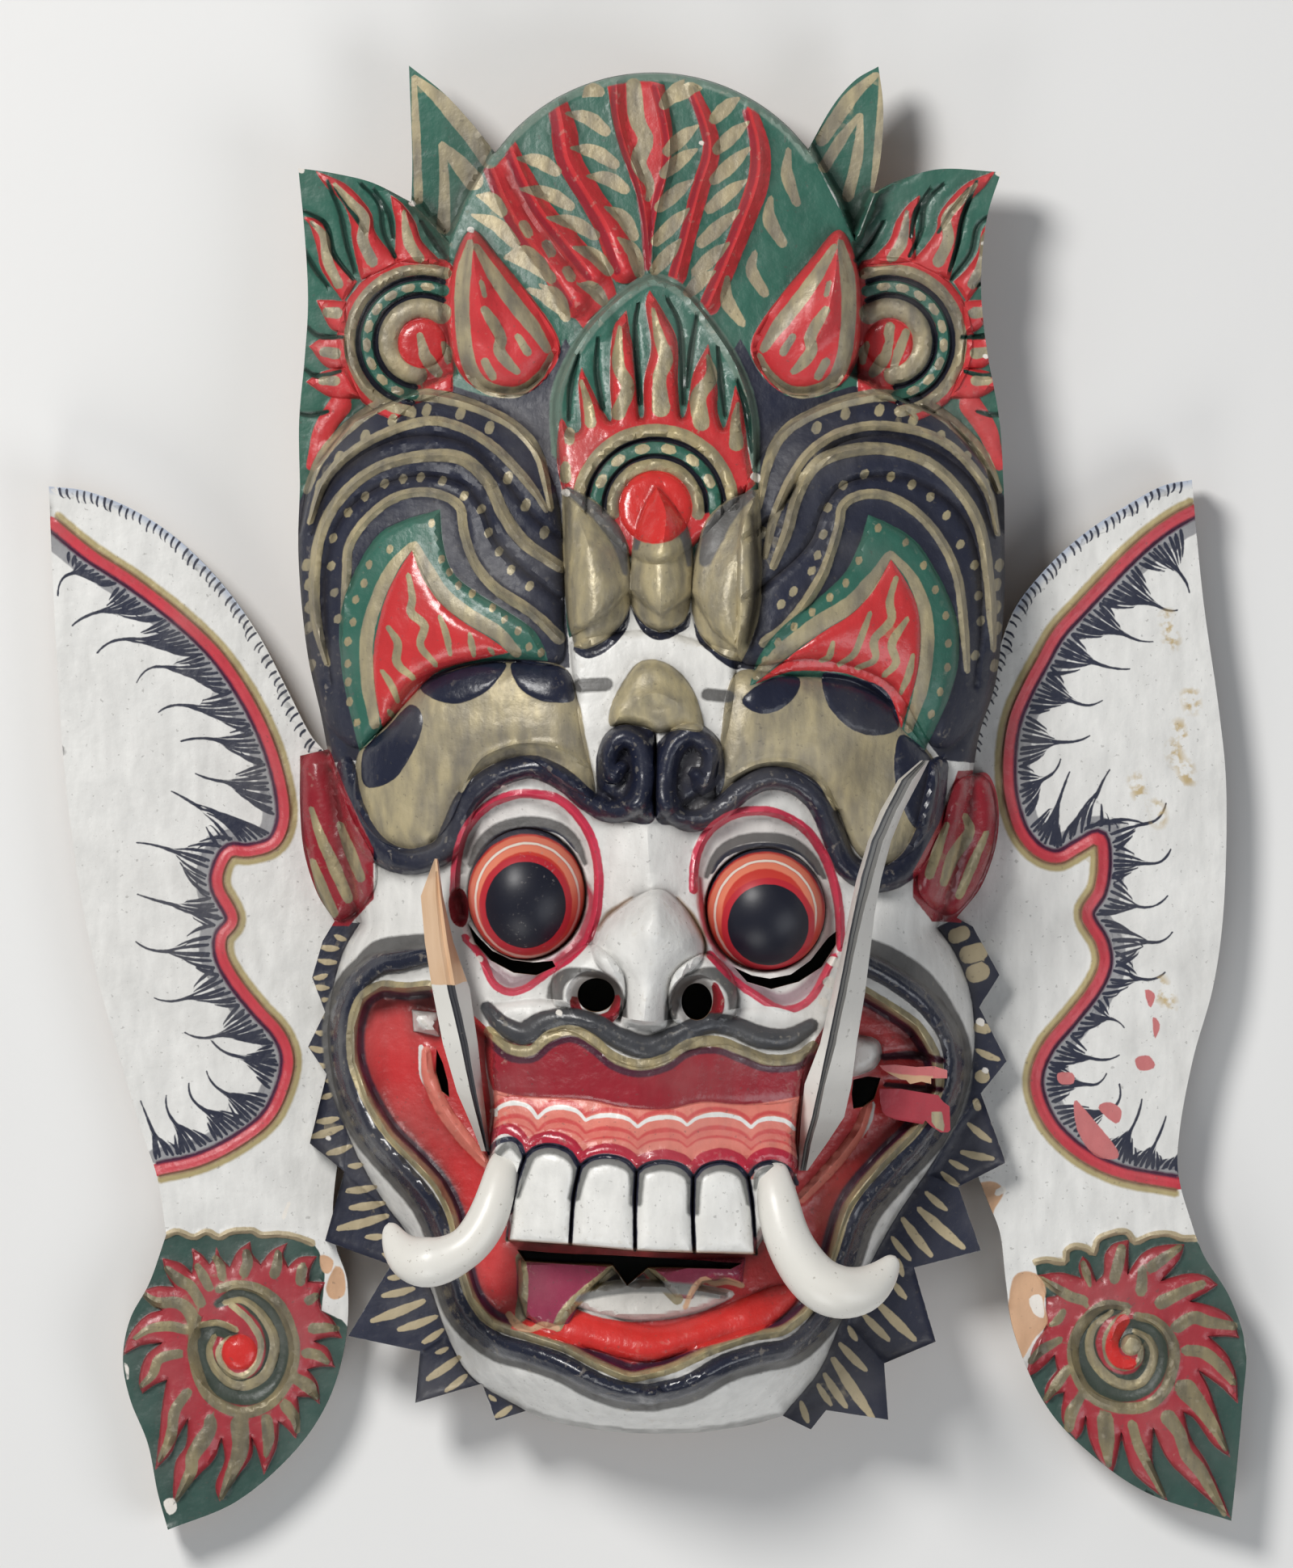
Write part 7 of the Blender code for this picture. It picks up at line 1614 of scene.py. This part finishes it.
def applied(piece, material, angle=rounding["smoothAngle"]):
    bpy.ops.object.mode_set(mode="OBJECT")
    bpy.ops.object.transform_apply(location=True, rotation=True, scale=True)
    for modifier in list(piece.modifiers):
        bpy.ops.object.modifier_apply(modifier=modifier.name)
    bpy.ops.object.shade_smooth_by_angle(angle=math.radians(angle))
    piece.data.materials.clear()
    piece.data.materials.append(material)
    return piece


wood = bareWood("bareWood")
headPaint = painted("headPaint", head, *priming["head"])
settle(carvedPiece("carvedHead", head, headGround, headUnder, [headPaint, wood]), "head", "head")
for name, node in (("earLeft", "ear_left"), ("earRight", "ear_right")):
    seat = poly(seats[name])
    seat.crisp = False
    boards[name].put(seat, cap=ear["level"] + ear["rimRise"])
    earPaint = painted(name + "Paint", boards[name], *priming["ear"])
    piece = carvedPiece(name + "Board", boards[name], lambda xy: np.full(len(xy), ear["level"]),
        lambda xy: np.full(len(xy), ear["level"] - ear["thick"]), [earPaint, wood], fill=5.5, snap=0.6)
    settle(piece, "ear", node)

# Eyeballs: domes let into the sockets
for name, ball in eyeBalls.items():
    (x, y), = plan([ball["place"]]) * unit
    bpy.ops.object.select_all(action="DESELECT")
    bpy.ops.mesh.primitive_uv_sphere_add(segments=96, ring_count=48, radius=1, location=(0, 0, 0))
    piece = bpy.context.object
    piece.name = name
    edited()
    bpy.ops.mesh.bisect(plane_co=(0, 0, 0.02), plane_no=(0, 0, 1), use_fill=True, clear_inner=True)
    bpy.ops.mesh.select_all(action="SELECT")
    bpy.ops.transform.resize(value=(ball["half"][0] * unit, ball["half"][1] * unit, eyeRise * mm),
        center_override=(0, 0, 0))
    bpy.ops.transform.translate(value=(x, y, (eyeBase - 2) * mm))
    settle(applied(piece, eyeMaterial(name + "Paint", ball)), "head")

# Tusks: a round profile pushed along its stations, u, v, half width and share of the depth
tusks = {
    "tuskLeft": [(629, 1424, 16, 0.715), (624, 1441, 21, 0.745), (615, 1474, 23, 0.775), (605, 1506, 26, 0.785),
        (587, 1534, 26, 0.79), (571, 1546, 26, 0.79), (550, 1557, 30, 0.785), (526, 1561, 34, 0.78),
        (504, 1553, 30, 0.76), (489, 1535, 19, 0.735), (482, 1510, 8, 0.72)],
    "tuskRight": [(952, 1434, 17, 0.715), (955, 1452, 22, 0.745), (961, 1480, 26, 0.77), (966, 1506, 28, 0.78),
        (974, 1532, 29, 0.79), (988, 1558, 31, 0.79), (1006, 1581, 33, 0.79), (1026, 1594, 35, 0.785),
        (1048, 1598, 34, 0.78), (1074, 1592, 30, 0.76), (1096, 1572, 19, 0.735), (1107, 1551, 8, 0.72)]}
tuskForm = {"sides": 20, "levels": 2, "smoothAngle": 60}
ivory = tuskMaterial("tuskPaint")
for name, stations in tusks.items():
    spots = [Vector((*(plan([(u, v)])[0] * unit), share * mask["depth"] * mm)) for u, v, _, share in stations]
    heads = [math.atan2(*(spots[min(k + 1, len(spots) - 1)] - spots[max(k - 1, 0)]).yx) for k in range(len(spots))]
    bpy.ops.object.select_all(action="DESELECT")
    bpy.ops.mesh.primitive_circle_add(vertices=tuskForm["sides"], radius=stations[0][2] * unit, fill_type="NGON",
        location=(0, 0, 0))
    piece = bpy.context.object
    piece.name = name
    edited()
    bpy.ops.transform.rotate(value=math.pi / 2, orient_axis="Y", center_override=(0, 0, 0))
    bpy.ops.transform.rotate(value=-heads[0], orient_axis="Z", center_override=(0, 0, 0))
    bpy.ops.transform.translate(value=spots[0])
    for k in range(1, len(spots)):
        turn = (heads[k] - heads[k - 1] + math.pi) % (2 * math.pi) - math.pi
        grown = stations[k][2] / stations[k - 1][2]
        bpy.ops.mesh.extrude_region_move(TRANSFORM_OT_translate={"value": spots[k] - spots[k - 1]})
        bpy.ops.transform.rotate(value=-turn, orient_axis="Z", center_override=spots[k])
        bpy.ops.transform.resize(value=(grown,) * 3, center_override=spots[k])
    bpy.ops.mesh.select_all(action="SELECT")
    bpy.ops.mesh.normals_make_consistent(inside=False)
    bpy.ops.object.mode_set(mode="OBJECT")
    soften = piece.modifiers.new("rounding", "SUBSURF")
    soften.levels = soften.render_levels = tuskForm["levels"]
    settle(applied(piece, ivory, tuskForm["smoothAngle"]), "head")

# Side fangs: v, left edge, both sides of the dark stripe on the crest, right edge, and the crest's share of the depth
fangs = {
    "fangLeft": ("fang_left", [(1424, 596, 601, 604, 606, 0.55), (1395, 585, 594, 599, 603, 0.62),
        (1350, 566, 583, 590, 598, 0.71), (1290, 549, 571, 580, 592, 0.78), (1222, 536, 555, 565, 582, 0.83),
        (1165, 527, 546, 555, 562, 0.85), (1108, 522, 541, 547, 549, 0.86), (1062, 539, 540, 542, 543, 0.86)]),
    "fangRight": ("fang_right", [(1448, 988, 990, 997, 999, 0.55), (1415, 989, 995, 1003, 1022, 0.62),
        (1381, 991, 1004, 1012, 1044, 0.70), (1340, 995, 1013, 1020, 1053, 0.76),
        (1290, 1014, 1023, 1033, 1059, 0.80), (1228, 1029, 1036, 1046, 1069, 0.84),
        (1180, 1040, 1045, 1055, 1075, 0.86), (1128, 1050, 1055, 1067, 1081, 0.88),
        (1086, 1059, 1064, 1078, 1089, 0.895), (1040, 1073, 1077, 1091, 1101, 0.905),
        (1003, 1088, 1094, 1107, 1116, 0.91), (965, 1110, 1114, 1127, 1136, 0.90),
        (941, 1138, 1140, 1146, 1148, 0.89)])}
fangForm = {"steps": 6, "clear": 0.0002, "shoulder": 0.62, "stripeSunk": 1.0, "stripeFrom": 12, "rawAbove": 1215,
    "smoothAngle": 25}


def fangMaterial(name, broken):
    f = Finish(name)
    broad, fine, waver = f.noise(34, 4.0), f.noise(330, 3.0), f.noise(110, 3.0)
    across = f.attribute("across") + (waver - 0.5) * 0.16
    colour = f.mix(broad, *fangTones["white"])
    # the face right of the crest is painted a darker white: painted shade
    shadedSide = fangTones["shadedSide"]
    colour = f.mix(across.above(0.96, 1.04), colour, f.mix(broad, shadedSide, tuple(c * 0.8 for c in shadedSide)))
    band = across.above(-0.03, 0.03) * (across * -1 + 1).above(-0.03, 0.03)
    colour = f.mix(band, colour, fangTones["bandBroken" if broken else "bandWhole"])
    for low, high in ((0.0, 0.22), (0.50, 0.60)):
        line = across.above(low - 0.03, low + 0.03) * (across * -1 + high).above(-0.03, 0.03)
        colour = f.mix(line * 0.9, colour, fangTones["line"])
    colour = f.mix(f.noise(420, 3.0).above(0.66, 0.71) * 0.4, colour, fangTones["speck"])
    if broken:
        torn = (f.attribute("broken") + (fine - 0.5) * 0.25).above(0.46, 0.54)
        grain = f.noise(300, 4.0, f.stretched(1, 0.1, 1))
        colour = f.mix(torn, colour, f.mix(grain, *fangTones["raw"]))
    f.set(Base_Color=colour, Roughness=fine * 0.15 + 0.36, Coat_Weight=0.15)
    return f.bump(f.noise(200, 4.0, f.stretched(1, 0.2, 1)) * 0.6 + waver * 0.6, 0.0006, 0.5)


for name, (node, stations) in fangs.items():
    cad = np.array([v.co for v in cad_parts[node].data.vertices])
    seatY = np.unique(cad[:, 1].round(4))
    seatZ = [cad[np.abs(cad[:, 1] - y) < 2e-4, 2].min() for y in seatY]
    steps = np.linspace(0, len(stations) - 1, fangForm["steps"] * (len(stations) - 1) + 1)
    dense = np.column_stack([np.interp(steps, range(len(stations)), column) for column in zip(*stations)])
    points, across, torn = [], [], []
    for v, left, inner, outer, right, share in dense:
        top = share * mask["depth"] * mm
        under = float(np.interp((middleV - v) * unit, seatY, seatZ)) + fangForm["clear"]
        shoulder = under + fangForm["shoulder"] * (top - under)
        dip = fangForm["stripeSunk"] * mm if right - left > fangForm["stripeFrom"] else 0.0
        profile = [(left, under), (right, under), (right, shoulder), (outer, top), ((inner + outer) / 2, top - dip),
            (inner, top), (left, shoulder)]
        points += [(*(plan([(u, v)])[0] * unit), z) for u, z in profile]
        across += [(u - inner) / max(outer - inner, 0.5) for u, z in profile]
        raw = node == "fang_left" and v < fangForm["rawAbove"]
        torn += [0, 0, 0.55, 1, 1, 1, 1] if raw else [0] * 7
    rings = len(dense)
    faces = [tuple(range(7)), tuple(range((rings - 1) * 7, rings * 7))[::-1]]
    faces += [(r * 7 + (s + 1) % 7, r * 7 + s, (r + 1) * 7 + s,
        (r + 1) * 7 + (s + 1) % 7) for r in range(rings - 1) for s in range(7)]
    mesh = bpy.data.meshes.new(name)
    mesh.from_pydata(points, [], faces)
    keep(mesh, "across", np.array(across))
    keep(mesh, "broken", np.array(torn))
    piece = linked(name, mesh)
    edited()
    bpy.ops.mesh.normals_make_consistent(inside=False)
    paint = fangMaterial(name + "Paint", node == "fang_left")
    settle(applied(piece, paint, fangForm["smoothAngle"]), "fang", node)

# Splinters of the broken right corner of the mouth: thin torn plates that stand off the lip
splinters = {
    "splinterUpper": {"outline": [(1088, 1318), (1108, 1317), (1134, 1320), (1156, 1319), (1172, 1324), (1172, 1334),
        (1152, 1334), (1152, 1341), (1140, 1338), (1126, 1341), (1121, 1336), (1114, 1335), (1108, 1332),
        (1102, 1329), (1092, 1323)], "height": 62.5, "thick": 2.4, "tint": (0.62, 0.17, 0.17),
        "patches": [("raw", [(1090, 1325), (1112, 1329), (1134, 1331), (1154, 1331), (1154, 1346), (1086, 1346)])]},
    "splinterLower": {"outline": [(1088, 1347), (1114, 1347), (1137, 1351), (1161, 1355), (1167, 1363), (1175, 1369),
        (1176, 1398), (1173, 1401), (1164, 1401), (1152, 1393), (1145, 1386), (1142, 1391), (1108, 1385),
        (1096, 1380), (1092, 1376), (1089, 1363)], "height": 60.5, "thick": 3.0, "tint": (0.40, 0.042, 0.060),
        "patches": [("gold", [(1153, 1376), (1165, 1376), (1168, 1392), (1167, 1399), (1158, 1395), (1153, 1388)]),
        # the lower edge of the lower splinter is painted a darker red: painted shade
        ("redPaintedShade", [(1088, 1380), (1110, 1384), (1144, 1388), (1142, 1394), (1086, 1390)])]}}
splinterTilt, splinterTip = 0.045, 1176  # they sink towards their tips
for name, plate in splinters.items():
    board = Board(poly(plate["outline"]).line)
    for coat, patch in plate["patches"]:
        board.put(poly(patch), coat)

    def plateTop(xy):
        return plate["height"] + splinterTilt * (splinterTip - sheetPlaces(xy)[0])

    piece = carvedPiece(name, board, plateTop, lambda xy: plateTop(xy) - plate["thick"],
        [painted(name + "Paint", board, plate["tint"], 0.4), wood], fill=3.0, snap=0.6, underFill=3.0)
    settle(piece, "head")

# Floor, light and camera
stageSet = {"floorSize": 6.0, "camera": 8.0, "sheetLevel": 0.06, "sensor": 36.0, "frameHeight": 1940,
    "frameMiddle": (800, 970), "aim": (0, 0, 0.05), "sky": 0.15, "skyTint": (0.9, 0.94, 1.0, 1.0)}
bpy.ops.mesh.primitive_plane_add(size=stageSet["floorSize"], location=(0, 0, float(cadBox[0][2])))
floor = bpy.context.object
floor.name = "floor"
ground = Finish("floorPaint")
ground.set(Base_Color=ground.mix(ground.noise(3, 3.0), *floorTones), Roughness=ground.noise(40, 3.0) * 0.1 + 0.55)
ground.bump(ground.noise(220, 4.0), 0.0003, 0.2)
floor.data.materials.append(ground.material)


def lamp(name, place, size, power, tint):
    light = bpy.data.lights.new(name, "AREA")
    light.shape, light.size, light.energy, light.color = "DISK", size, power, tint
    made = bpy.data.objects.new(name, light)
    made.location = place
    made.rotation_euler = (Vector(stageSet["aim"]) - Vector(place)).to_track_quat("-Z", "Y").to_euler()
    bpy.context.scene.collection.objects.link(made)


lamp("keyLight", (-0.95, 1.0, 1.9), 0.75, 43.0, (1.0, 0.985, 0.96))
lamp("fillLight", (1.4, -0.9, 1.6), 1.4, 13.0, (0.93, 0.96, 1.0))
lamp("lowLight", (-0.5, -1.7, 1.2), 1.0, 9.0, (1.0, 1.0, 0.98))
world = bpy.context.scene.world or bpy.data.worlds.new("studio")
bpy.context.scene.world = world
world.use_nodes = True
sky = world.node_tree.nodes["Background"].inputs
sky["Color"].default_value, sky["Strength"].default_value = stageSet["skyTint"], stageSet["sky"]

sight = bpy.data.cameras.new("camera")
sight.sensor_fit, sight.sensor_height = "VERTICAL", stageSet["sensor"]
sight.lens = stageSet["sensor"] * (stageSet["camera"] - stageSet["sheetLevel"]) / (stageSet["frameHeight"] * unit)
sight.clip_end = 50.0
camera = bpy.data.objects.new("camera", sight)
(cx, cy), = plan([stageSet["frameMiddle"]]) * unit
camera.location = (cx, cy, stageSet["camera"])
bpy.context.scene.collection.objects.link(camera)
bpy.context.scene.camera = camera

bpy.context.scene.view_settings.view_transform = "Standard"
